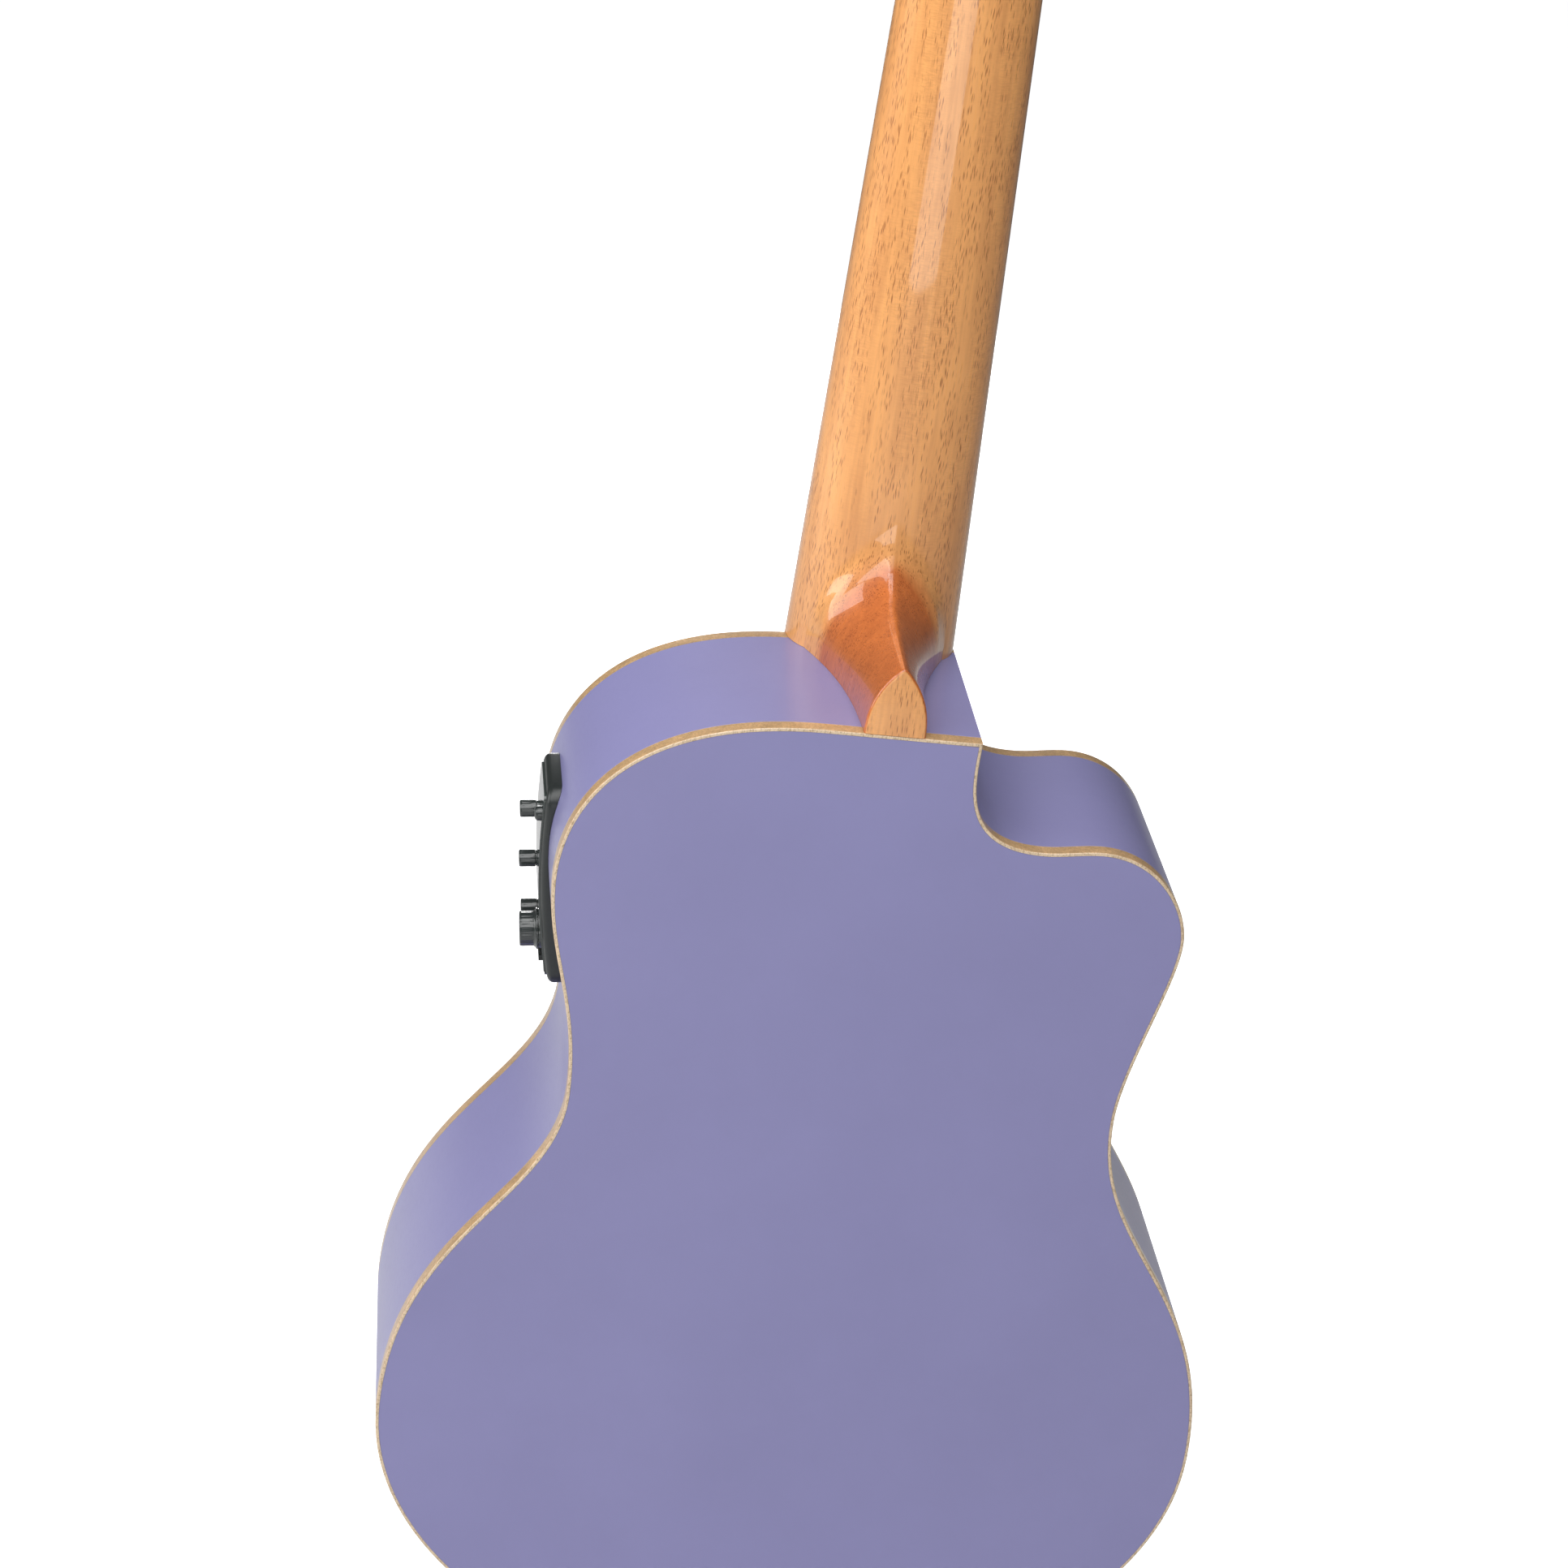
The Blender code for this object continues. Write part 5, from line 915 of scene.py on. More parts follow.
def lavender_lacquer():
    look = settings("ukulele_body")
    made, tree, shader, vector = new_material(
        "lavender_lacquer",
        Coat_Weight=0.22,
        Coat_Roughness=0.14,
        Specular_IOR_Level=0.35,
    )
    values = {"Roughness": look.paint_roughness, "Scuffs": 0.05}
    coat = use_group(tree, make_lacquer_group, values, vector)
    base = Vector(look.paint)
    tone = ramp(tree, coat.outputs["Tone"], 0.3, 0.7)
    colour = mix_colour(tree, tone, base * 0.97, base * 1.03)
    tree.links.new(colour, shader.inputs["Base Color"])
    tree.links.new(coat.outputs["Roughness"], shader.inputs["Roughness"])
    bump(tree, shader, coat.outputs["Height"], strength=0.05, distance=0.0004)
    return made


def pale_binding():
    """Pale flecked wood, with a painted sheen that makes it paler still on the faces that look forward or
    back.
    """
    look = settings("ukulele_body")
    made, tree, shader, vector = new_material("pale_binding", 0.28, Coat_Weight=0.6, Coat_Roughness=0.08)
    grain = use_group(tree, make_wood_group, {"Figure Scale": 1.6, "Ripple": 0.9}, vector)
    base = Vector(look.binding)
    colour = mix_colour(tree, grain.outputs["Figure"], base * 1.10, base * 0.74)
    # Painted sheen: faces that look forward or back are mixed towards a paler colour.
    turn = math_node(tree, "ABSOLUTE", facing_back(tree))
    flat = ramp(tree, turn, *BINDING_SHEEN_TURNS, high_value=0.75)
    colour = mix_colour(tree, flat, colour, BINDING_PAINTED_SHEEN)
    fleck = noise(tree, stretched(tree, vector, (1, 1, 0.5)), scale=2100, detail=3, rough=0.7)
    flecked = ramp(tree, fleck, 0.48, 0.66, high_value=0.75)
    colour = mix_colour(tree, flecked, colour, base * 0.50)
    ripple = math_node(tree, "MULTIPLY", grain.outputs["Ripple"], 0.4)
    colour = mix_colour(tree, ripple, colour, base * 0.6)
    tree.links.new(colour, shader.inputs["Base Color"])
    bump(tree, shader, fleck, strength=0.08, distance=0.0001)
    return made


def gloss_mahogany():
    """The neck's wood under a thick clear coat, with a painted shade darkening the heel's flanks."""
    look = settings("ukulele_neck")
    made, tree, shader, vector = new_material(
        "gloss_mahogany",
        0.30,
        Coat_Weight=1.0,
        Coat_Roughness=0.03,
        Coat_IOR=1.5,
        Specular_IOR_Level=0.35,
    )
    grain = use_group(tree, make_wood_group, {"Figure Scale": 1.0, "Ripple": 0.8}, vector)
    light, dark = Vector(look.light), Vector(look.dark)
    colour = mix_colour(tree, grain.outputs["Figure"], light * 0.68 + dark * 0.32, light)
    ripple = math_node(tree, "MULTIPLY", grain.outputs["Ripple"], 0.50)
    colour = mix_colour(tree, ripple, colour, light * 0.5 + dark * 0.5)
    pores = math_node(tree, "MULTIPLY", grain.outputs["Pores"], 0.85)
    colour = mix_colour(tree, pores, colour, dark * 0.8)
    # Painted shade: faces deep in the heel that turn away from the back are multiplied darker, standing in
    # for the shade on its flanks.
    depth = add(tree, "ShaderNodeSeparateXYZ", links={0: vector}).outputs["Y"]
    deep = ramp(tree, depth, *PAINTED_SHADE_DEPTHS)
    painted_shade = math_node(tree, "MULTIPLY", deep, ramp(tree, facing_back(tree), *PAINTED_SHADE_TURNS))
    colour = mix_colour(tree, painted_shade, colour, HEEL_PAINTED_SHADE, "MULTIPLY")
    tree.links.new(colour, shader.inputs["Base Color"])
    rough = ramp(tree, grain.outputs["Figure"], 0.0, 1.0, 0.38, 0.26)
    tree.links.new(rough, shader.inputs["Roughness"])
    return made


def plain_wood(name, colour, roughness, figure_scale, contrast, pores=0.5, coat=0.0):
    made, tree, shader, vector = new_material(name, roughness, Coat_Weight=coat, Coat_Roughness=0.15)
    grain = use_group(tree, make_wood_group, {"Figure Scale": figure_scale, "Ripple": 0.4}, vector)
    base = Vector(colour)
    mixed = mix_colour(tree, grain.outputs["Figure"], base * (1 - contrast), base * (1 + contrast))
    dark = math_node(tree, "MULTIPLY", grain.outputs["Pores"], pores)
    mixed = mix_colour(tree, dark, mixed, base * 0.35)
    tree.links.new(mixed, shader.inputs["Base Color"])
    rough = ramp(tree, grain.outputs["Figure"], 0.0, 1.0, roughness + 0.08, roughness - 0.05)
    tree.links.new(rough, shader.inputs["Roughness"])
    bump(tree, shader, grain.outputs["Height"], strength=0.25, distance=0.0002)
    return made


def speckled(tree, shader, vector, roughness, speckle, spread):
    """Gives a material the fine speckle's roughness, and returns the speckle."""
    values = {"Scale": speckle, "Roughness": roughness - spread / 2, "Spread": spread}
    grain = use_group(tree, make_speckle_group, values, vector)
    tree.links.new(grain.outputs["Roughness"], shader.inputs["Roughness"])
    return grain


def moulded(name, colour, roughness, speckle, spread, grain_strength, dust, **constants):
    """Moulded plastic, or another smooth solid, with a fine grain and a little dust."""
    made, tree, shader, vector = new_material(name, roughness, **constants)
    grain = speckled(tree, shader, vector, roughness, speckle, spread)
    base = Vector(colour)
    paler = base * 0.8 + Vector((0.12, 0.12, 0.12))
    dusty = math_node(tree, "MULTIPLY", grain.outputs["Dust"], dust)
    tree.links.new(mix_colour(tree, dusty, base, paler), shader.inputs["Base Color"])
    bump(tree, shader, grain.outputs["Height"], strength=grain_strength, distance=0.00005)
    return made


def brushed(name, colour, roughness, spread):
    """Plated or bare metal."""
    made, tree, shader, vector = new_material(name, roughness, metallic=1.0)
    grain = speckled(tree, shader, vector, roughness, 1800.0, spread)
    base = Vector(colour)
    dusty = math_node(tree, "MULTIPLY", grain.outputs["Dust"], 0.2)
    tree.links.new(mix_colour(tree, dusty, base, base * 0.7), shader.inputs["Base Color"])
    return made


def nylon_string():
    made, tree, shader, vector = new_material("nylon_string", 0.22, Coat_Weight=0.4, Coat_Roughness=0.1)
    grain = speckled(tree, shader, vector, roughness=0.24, speckle=4000.0, spread=0.12)
    mixed = mix_colour(tree, grain.outputs["Dust"], (0.62, 0.62, 0.60), (0.50, 0.50, 0.49))
    tree.links.new(mixed, shader.inputs["Base Color"])
    return made


def fittings(label):
    """One of the fittings' colours."""
    return getattr(settings("ukulele_fittings"), label)


MAKERS = {
    "lavender": lavender_lacquer,
    "binding": pale_binding,
    "mahogany": gloss_mahogany,
    "spruce": lambda: plain_wood(
        "inside_spruce", (0.66, 0.45, 0.25), roughness=0.6, figure_scale=0.8, contrast=0.12, pores=0.1
    ),
    "board": lambda: plain_wood(
        "dark_board", fittings("board"), roughness=0.42, figure_scale=1.2, contrast=0.45, coat=0.05
    ),
    "rosette": lambda: plain_wood(
        "rosette_wood", (0.55, 0.33, 0.15), roughness=0.35, figure_scale=2.0, contrast=0.3, coat=0.4
    ),
    "bone": lambda: moulded(
        "bone_white",
        (0.80, 0.74, 0.60),
        roughness=0.35,
        speckle=900.0,
        spread=0.1,
        grain_strength=0.05,
        dust=0.15,
        Coat_Weight=0.3,
    ),
    "pearl": lambda: moulded(
        "dot_pearl",
        (0.78, 0.77, 0.72),
        roughness=0.2,
        speckle=700.0,
        spread=0.1,
        grain_strength=0.02,
        dust=0.4,
        Coat_Weight=0.7,
    ),
    "plastic": lambda: moulded(
        "satin_plastic",
        fittings("plastic"),
        roughness=0.34,
        speckle=3500.0,
        spread=0.12,
        grain_strength=0.2,
        dust=0.12,
    ),
    "panel": lambda: moulded(
        "panel_gloss",
        (0.040, 0.050, 0.047),
        roughness=0.12,
        speckle=1200.0,
        spread=0.06,
        grain_strength=0.03,
        dust=0.08,
        Coat_Weight=0.5,
    ),
    "knob": lambda: moulded(
        "knob_gloss",
        (0.030, 0.036, 0.035),
        roughness=0.22,
        speckle=1800.0,
        spread=0.08,
        grain_strength=0.06,
        dust=0.1,
        Coat_Weight=0.4,
    ),
    "button": lambda: moulded(
        "button_gloss",
        (0.016, 0.016, 0.017),
        roughness=0.16,
        speckle=1500.0,
        spread=0.08,
        grain_strength=0.05,
        dust=0.1,
        Coat_Weight=0.6,
    ),
    "chrome": lambda: brushed("plated_metal", fittings("metal"), roughness=0.16, spread=0.08),
    "fret": lambda: brushed("fret_metal", (0.62, 0.60, 0.56), roughness=0.25, spread=0.15),
    "steel": lambda: brushed("cell_steel", (0.56, 0.56, 0.57), roughness=0.32, spread=0.2),
    "string": nylon_string,
}
MATERIALS = {}


def material(key):
    """A finish by its key. Each one is made once."""
    if key not in MATERIALS:
        MATERIALS[key] = MAKERS[key]()
    return MATERIALS[key]


def dress(node, key):
    """Gives a CAD node that stays visible its finish."""
    obj = frame["nodes"][node]
    obj.data.materials.clear()
    obj.data.materials.append(material(key))


# Body


def sweep_wall(name, path, profile, closed):
    """Sweeps a section round the body. Each corner is (inset, from_back, distance)."""
    columns = []
    for inset, from_back, distance in profile:
        inner = inset_points(path, inset, closed)
        columns.append([(x, back_y(z) - distance if from_back else distance, z) for x, z in inner])
    rings = [[column[i] for column in columns] for i in range(len(path))]
    return loft_mesh(name, rings, looped=closed)


def edge_profile(from_back, edge):
    """The binding's section: flush with the side and the plate, with its corner rounded."""
    corner = []
    for i in range(BINDING_STEPS + 1):
        angle = math.pi / 2 * i / BINDING_STEPS
        corner.append((edge * (1 - math.cos(angle)), from_back, edge * (1 - math.sin(angle))))
    outer = [(0.0, from_back, BINDING_HEIGHT)]
    inner = [(BINDING_WIDTH, from_back, 0.0), (BINDING_WIDTH, from_back, BINDING_HEIGHT)]
    return outer + corner + inner


def side_profile():
    """A side's section, with a rabbet for each binding."""
    rabbet = BINDING_HEIGHT + EDGE_GAP
    ledge = BINDING_WIDTH + EDGE_GAP
    return (
        (PAINT_EDGE, False, rabbet),
        (0.0, False, rabbet + PAINT_EDGE),
        (0.0, True, rabbet + PAINT_EDGE),
        (PAINT_EDGE, True, rabbet),
        (ledge, True, rabbet),
        (ledge, True, BACK_THICKNESS + SEAT_GAP),
        (SIDE_THICKNESS, True, BACK_THICKNESS + SEAT_GAP),
        (SIDE_THICKNESS, False, TOP_THICKNESS + SEAT_GAP),
        (ledge, False, TOP_THICKNESS + SEAT_GAP),
        (ledge, False, rabbet),
    )


def bare_inside(mesh, inner):
    """Leaves the faces inside the body as bare wood."""
    mesh.materials.append(material("spruce"))
    for face in mesh.polygons:
        if inner(face):
            face.material_index = 1


def build_side(name, node, path, sign):
    """One painted side. Its ends stop short of the middle by half the seam."""
    ends = [(HALF_SEAM * sign, path[0][1])] + list(path[1:-1]) + [(HALF_SEAM * sign, path[-1][1])]
    profile = side_profile()
    mesh = sweep_wall(name, ends, profile, closed=False)
    wall = piece(name, mesh, "lavender", replaces=[node])
    bare_inside(mesh, lambda face: face.index % len(profile) == INNER_WALL)
    return wall


def sound_hole_z():
    low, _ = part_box("fretboard")
    return low.z - SOUND_HOLE_BELOW_BOARD - SOUND_HOLE_RADIUS


class UKE_OT_body(bpy.types.Operator):
    """Builds the painted sides, the plates, the binding and the rosette"""

    bl_idname = "ukulele.body"
    bl_label = "Body"

    def execute(self, context):
        look = settings("ukulele_body")
        bass, treble = bass_path(OUTLINE_STEPS), treble_path(OUTLINE_STEPS)
        outline = treble + bass[-2:0:-1]
        cut(build_side("painted_side_treble", "side_treble", treble, -1), jack_opening_mesh())
        side = build_side("painted_side_bass", "side_bass", bass[::-1], 1)
        cut(side, preamp_opening_mesh())
        cut(side, jack_opening_mesh())
        for name, node, from_back in (
            ("front_binding", "top_binding", False),
            ("rear_binding", "back_binding", True),
        ):
            mesh = sweep_wall(name, outline, edge_profile(from_back, look.edge_round), closed=True)
            piece(name, mesh, "binding", replaces=[node])
        rim = inset_points(outline, BINDING_WIDTH + EDGE_GAP, closed=True)
        middle = (0.0, sound_hole_z())
        hole = circle_points(SOUND_HOLE_RADIUS, middle, HOLE_STEPS)
        top = plate_mesh("painted_top", [rim, hole], lambda z: 0.0, lambda z: TOP_THICKNESS)
        piece("painted_top", top, "lavender", replaces=["soundboard"])
        bare_inside(top, lambda face: face.normal.y > 0.5)
        for name, inner, outer, finish in ROSETTE_RINGS:
            loops = [circle_points(radius, middle, HOLE_STEPS) for radius in (outer, inner)]
            ring = plate_mesh(name, loops, lambda z: -ROSETTE_PROUD, lambda z: ROSETTE_DEPTH)
            piece(name, ring, finish)
        back = plate_mesh("painted_back", [rim], lambda z: back_y(z) - BACK_THICKNESS, back_y)
        piece("painted_back", back, "lavender", replaces=["back_plate"])
        bare_inside(back, lambda face: face.normal.y < -0.5)
        return {"FINISHED"}


def preamp_matrix():
    place = Matrix.Translation((PREAMP_FACE_X, PREAMP_DEPTH_Y, BODY_TOP_Z - PREAMP_DROP))
    return place @ Matrix.Rotation(PREAMP_TILT, 4, "Y")


def preamp_opening_mesh():
    half_y = BEZEL_WIDTH / 2 - BEZEL_RIM + COLLAR_WALL + SEAT_GAP
    half_z = BEZEL_LENGTH / 2 - BEZEL_RIM + COLLAR_WALL + SEAT_GAP
    loop = rounded_rectangle(half_y, half_z, BEZEL_CORNER / 2, 4, 1)
    mesh = loft_mesh("opening", [[(x, y, z) for y, z in loop] for x in PREAMP_OPENING_ENDS])
    mesh.transform(preamp_matrix())
    return mesh


def bore_mesh(radius, low, high, axis, steps=48):
    """A plain round cutter from low to high along an axis."""
    return turned_mesh("bore", [(0, low), (radius, low), (radius, high), (0, high)], axis, steps)


def jack_opening_mesh():
    low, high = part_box("output_jack")
    mesh = bore_mesh(JACK_OPENING_RADIUS, TAIL_Z - JACK_OPENING_OUT, TAIL_Z + JACK_OPENING_IN, "Z")
    mesh.transform(Matrix.Translation(((low.x + high.x) / 2, (low.y + high.y) / 2, 0)))
    return mesh


# Neck


def neck_thickness(z):
    share = min(max(z / BODY_TOP_Z, 0.0), 1.0)
    return NECK_THICKNESS_AT_NUT + (NECK_THICKNESS_AT_HEEL - NECK_THICKNESS_AT_NUT) * share


def shaft_point(s, z):
    """A point of the neck's back: s runs from 0 at the middle to 1 at the edge of the board."""
    angle = s * math.pi / 2
    power = 2 / NECK_ROUNDNESS
    return Vector((
        neck_half_width(z) * math.sin(angle) ** power,
        neck_thickness(z) * max(math.cos(angle), 0.0) ** power,
        z,
    ))


def shaft_half(y, z):
    """Half the neck's width at depth y."""
    share = min(y / neck_thickness(z), 1.0)
    return neck_half_width(z) * (1 - share**NECK_ROUNDNESS) ** (1 / NECK_ROUNDNESS)


def heel_contact_curve():
    """Half width and depth where the heel meets the body."""
    edge = neck_half_width(BODY_TOP_Z), 0.0
    cap = HEEL_CAP_HALF, DEPTH_AT_NECK
    return bezier(edge, HEEL_FLANK_TOP, HEEL_FLANK_LOW, cap, 80) + [cap]


def contact_half(curve, y):
    """Half the heel's width at a depth, from its contact curve."""
    return float(np.interp(y, [p[1] for p in curve], [p[0] for p in curve]))


def heel_ridge_curve():
    """Height above the body and depth of the heel's ridge, from the neck's back to the cap's point."""
    thickness = neck_thickness(BODY_TOP_Z)
    cap = HEEL_CAP_LENGTH, back_y(BODY_TOP_Z + HEEL_CAP_LENGTH)
    low = HEEL_CAP_LENGTH + HEEL_RIDGE_HALF, HEEL_RIDGE_LOW_DEPTH
    high = HEEL_RIDGE_TOP, thickness + HEEL_RIDGE_HALF
    top = HEEL_RIDGE_LENGTH, thickness
    return (bezier(cap, low, high, top, 60) + [top])[::-1]


def fin_start(share, contact):
    """The depth at which one line of the heel's flank leaves the neck's round back."""
    z = BODY_TOP_Z + HEEL_RIDGE_LENGTH * share
    arch = 1 - share**HEEL_CAP_POINT
    low, high = SHALLOWEST_FLANK, neck_thickness(z)
    for _ in range(40):
        y = (low + high) / 2
        if contact_half(contact, y) * arch < shaft_half(y, z):
            low = y
        else:
            high = y
    return (low + high) / 2


def fin_line(share, contact, edge):
    """A line of the heel's flank at one share of its arch, from the neck's back to the cap's edge."""
    arch = 1 - share**HEEL_CAP_POINT
    ridge = heel_ridge_curve()
    depths = np.linspace(fin_start(share, contact), ridge[0][1], 12)
    line = [(HEEL_RIDGE_LENGTH, y) for y in depths[:-1]] + ridge
    last = back_y(BODY_TOP_Z + HEEL_CAP_LENGTH * share) - edge
    points = []
    for height, y in line:
        if y >= last:
            break
        z = BODY_TOP_Z + max(height * share, FOOT_GAP)
        points.append(Vector((contact_half(contact, y) * arch, y, z)))
    end_z = BODY_TOP_Z + max(HEEL_CAP_LENGTH * share, FOOT_GAP)
    return points + [Vector((contact_half(contact, last) * arch, last, end_z))]


def eased_corner(up, down, reach):
    """Points of two joined lines, with their corner rounded off over a reach either side."""
    if reach <= 0:
        return up, down
    corner, end = down[0], down[-1]
    start = corner + (up[-2] - corner).normalized() * reach
    kept_up = [p for p in up if (p - corner).length > reach]
    kept_down = []
    walked = 0.0
    for first, second in zip(down, down[1:]):
        step = (second - first).length
        if walked + step >= reach > walked:
            end = first + (second - first) * ((reach - walked) / step)
        walked += step
        if walked > reach:
            kept_down.append(second)
    arc = [(1 - t) ** 2 * start + 2 * t * (1 - t) * corner + t * t * end for t in np.linspace(0, 1, 17)]
    return kept_up + arc[:9], arc[8:] + kept_down


def arch_shares():
    """Shares of the heel's arch for its columns, evenly spaced round the cap, from its point to its foot."""
    outline = []
    for share in np.linspace(0, 1, 200):
        outline.append((HEEL_CAP_HALF * (1 - share**HEEL_CAP_POINT), HEEL_CAP_LENGTH * share, share))
    outline = np.array(outline)[::-1]
    along = np.concatenate([[0.0], np.cumsum(np.linalg.norm(np.diff(outline[:, :2], axis=0), axis=1))])
    return [float(np.interp(w, along, outline[:, 2])) for w in np.linspace(0, along[-1], FIN_COLUMNS + 1)]


def round_off_ridge(half_rows):
    """Softens the heel's ridge, where both halves of a row meet."""
    for row in half_rows:
        reach = min(4, len(row) - 1)
        for _ in range(3):
            full = [Vector((-p.x, p.y, p.z)) for p in row[reach:0:-1]] + row[: reach + 1]
            for i in range(1, len(full) - 1):
                k = i - reach
                if k < 0 or k > 2:
                    continue
                row[k] = full[i] * 0.5 + (full[i - 1] + full[i + 1]) * 0.25
        row[0].x = 0.0


def heel_columns(edge):
    """The lines of the neck and heel on the bass half.

    Each is its share of the neck's back, its way down the neck, and its way out to the cap or None.
    """
    columns = []
    contact = heel_contact_curve()
    for arch_share in arch_shares():
        fin = fin_line(arch_share, contact, edge)
        start = fin[0]
        angle = math.asin(min((start.x / neck_half_width(start.z)) ** (NECK_ROUNDNESS / 2), 1.0))
        share = angle / (math.pi / 2)
        heights = np.linspace(BODY_TOP_Z + HEEL_TOP, start.z, 40)
        up = [shaft_point(share, float(z)) for z in heights[:-1]] + [start]
        reach = FILLET_REACH * min(1.0, arch_share / FILLET_FADE)
        up, fin = eased_corner(up, fin, reach)
        columns.append((share, resampled(up, UP_ROWS + 1), resampled(fin, FIN_ROWS + 1)))
    last = columns[-1][0]
    for share in np.linspace(last, 1.0, SIDE_COLUMNS + 1)[1:]:
        heights = np.linspace(BODY_TOP_Z + HEEL_TOP, BODY_TOP_Z + FOOT_GAP, 40)
        up = [shaft_point(float(share), float(z)) for z in heights]
        columns.append((float(share), resampled(up, UP_ROWS + 1), None))
    return columns


def square_half_section(half, thickness, shares):
    """Half the headstock's section, from the middle of its back over an eased edge to its front."""
    edge = HEAD_BACK_EDGE
    arc = []
    for a in np.linspace(0, math.pi / 2, 9):
        arc.append((half - edge + edge * math.sin(a), thickness - edge + edge * math.cos(a)))
    line = np.array([(0.0, thickness)] + arc + [(half, 0.0)])
    along = np.concatenate([[0.0], np.cumsum(np.linalg.norm(np.diff(line, axis=0), axis=1))])
    return [tuple(float(np.interp(s * along[-1], along, line[:, k])) for k in range(2)) for s in shares]


def head_half_width(up):
    root = NUT_WIDTH / 2
    if up < HEAD_FLARE_LENGTH:
        share = max(up, 0.0) / HEAD_FLARE_LENGTH
        return root + (HEAD_HALF_LOW - root) * (share * share * (3 - 2 * share))
    crown = HEAD_LENGTH - HEAD_CROWN_LENGTH
    share = (min(up, crown) - HEAD_FLARE_LENGTH) / (crown - HEAD_FLARE_LENGTH)
    width = HEAD_HALF_LOW + (HEAD_HALF_HIGH - HEAD_HALF_LOW) * share
    width -= HEAD_WAIST * math.sin(share * math.pi)
    if up > crown:
        rise = min((up - crown) / HEAD_CROWN_LENGTH, 1.0)
        width *= max(1 - rise**HEAD_CROWN_POWER, 0.0) ** (1 / HEAD_CROWN_POWER)
    return width


def head_stations():
    crown = HEAD_LENGTH - HEAD_CROWN_LENGTH
    flare = list(np.linspace(0, HEAD_FLARE_LENGTH, 14))
    middle = list(np.linspace(HEAD_FLARE_LENGTH, crown, 10)[1:])
    top = [crown + HEAD_CROWN_LENGTH * math.sin(a) for a in np.linspace(0, LAST_CROWN_ANGLE, 16)[1:]]
    return flare + middle + top


def head_matrix():
    return Matrix.Translation((0, 0, NUT_LENGTH)) @ Matrix.Rotation(-HEAD_TILT, 4, "X")


def tuner_places():
    """Side and height on the headstock of each tuner, in the order of the strings."""
    low, high = TUNER_FIRST_UP, TUNER_FIRST_UP + TUNER_SPACING
    return ((-1, low), (-1, high), (1, high), (1, low))


def shaft_rows(shares):
    """Half rows of the neck above the heel, over the blend into the headstock and up to the crown."""
    rows = []
    for z in np.linspace(BODY_TOP_Z + HEEL_TOP, HEAD_BLEND_Z, 16)[1:]:
        rows.append([shaft_point(s, float(z)) for s in shares])
    for i in range(1, HEAD_BLEND_ROWS + 1):
        share = i / HEAD_BLEND_ROWS
        z = HEAD_BLEND_Z + (NUT_LENGTH - HEAD_BLEND_Z) * share
        ease = share * share * (3 - 2 * share)
        square = square_half_section(neck_half_width(min(z, 0.0)), HEAD_ROOT_THICKNESS, shares)
        row = []
        for s, flat in zip(shares, square):
            x, y, _ = shaft_point(s, min(z, 0.0))
            row.append(Vector((x + (flat[0] - x) * ease, y + (flat[1] - y) * ease, z)))
        rows.append(row)
    to_head = head_matrix()
    for up in head_stations()[1:]:
        section = square_half_section(head_half_width(up), HEAD_THICKNESS, shares)
        rows.append([to_head @ Vector((x, y, up)) for x, y in section])
    return rows


def cap_rows(half_rim, edge):
    """Rounds the heel cap's edge: half rings from the flanks' end in to the flat facet."""
    rings = []
    for i in range(1, CAP_STEPS + 1):
        angle = math.pi / 2 * i / CAP_STEPS
        shift, rise = edge * (1 - math.cos(angle)), edge * math.sin(angle)
        ring = []
        for k, point in enumerate(half_rim):
            if k == 0:
                inward = Vector((0, 0, -1))
            elif k == len(half_rim) - 1:
                inward = Vector((-1, 0, 0))
            else:
                run = half_rim[k + 1] - half_rim[k - 1]
                inward = Vector((run.z, 0, -run.x)).normalized()
            place = point + inward * shift + Vector((0, rise, 0))
            place.x = max(place.x, 0.0)
            place.z = max(place.z, BODY_TOP_Z + FOOT_GAP)
            ring.append(place)
        rings.append(ring)
    return rings


def neck_mesh(edge):
    """Neck, heel and headstock as one skin. edge is the rounding of the heel cap."""
    columns = heel_columns(edge)
    shares = [c[0] for c in columns]
    up_rows = [[Vector(c[1][r]) for c in columns] for r in range(UP_ROWS + 1)]
    fins = [c for c in columns if c[2]]
    fin_rows = [[Vector(c[2][r]) for c in fins] for r in range(1, FIN_ROWS + 1)]
    round_off_ridge(fin_rows)
    fin_rows += cap_rows(fin_rows[-1], edge)
    bm = bmesh.new()

    def ring(half_row):
        bass = [bm.verts.new(p) for p in half_row]
        treble = [bm.verts.new((-p.x, p.y, p.z)) for p in half_row[1:]]
        return treble[::-1] + bass

    above = [ring(row) for row in shaft_rows(shares)]
    heel = [ring(row) for row in up_rows]
    middle = len(columns) - 1
    reach = len(fins) - 1
    fin = [heel[-1][middle - reach : middle + reach + 1]] + [ring(row) for row in fin_rows]
    grid_into(bm, above[::-1] + heel)
    grid_into(bm, fin, across=False)
    bm.faces.new(fin[-1])
    bm.faces.new(above[-1])
    foot = heel[-1][: middle - reach] + [row[0] for row in fin] + [row[-1] for row in reversed(fin)]
    bm.faces.new(foot + heel[-1][middle + reach + 1 :])
    return finish_mesh(bm, "gloss_neck", RIDGE_SHARP_ANGLE)


def fret_z(number):
    """Where a fret sits, from the nut's edge."""
    return -SCALE_LENGTH * (1 - 2 ** (-number / 12))


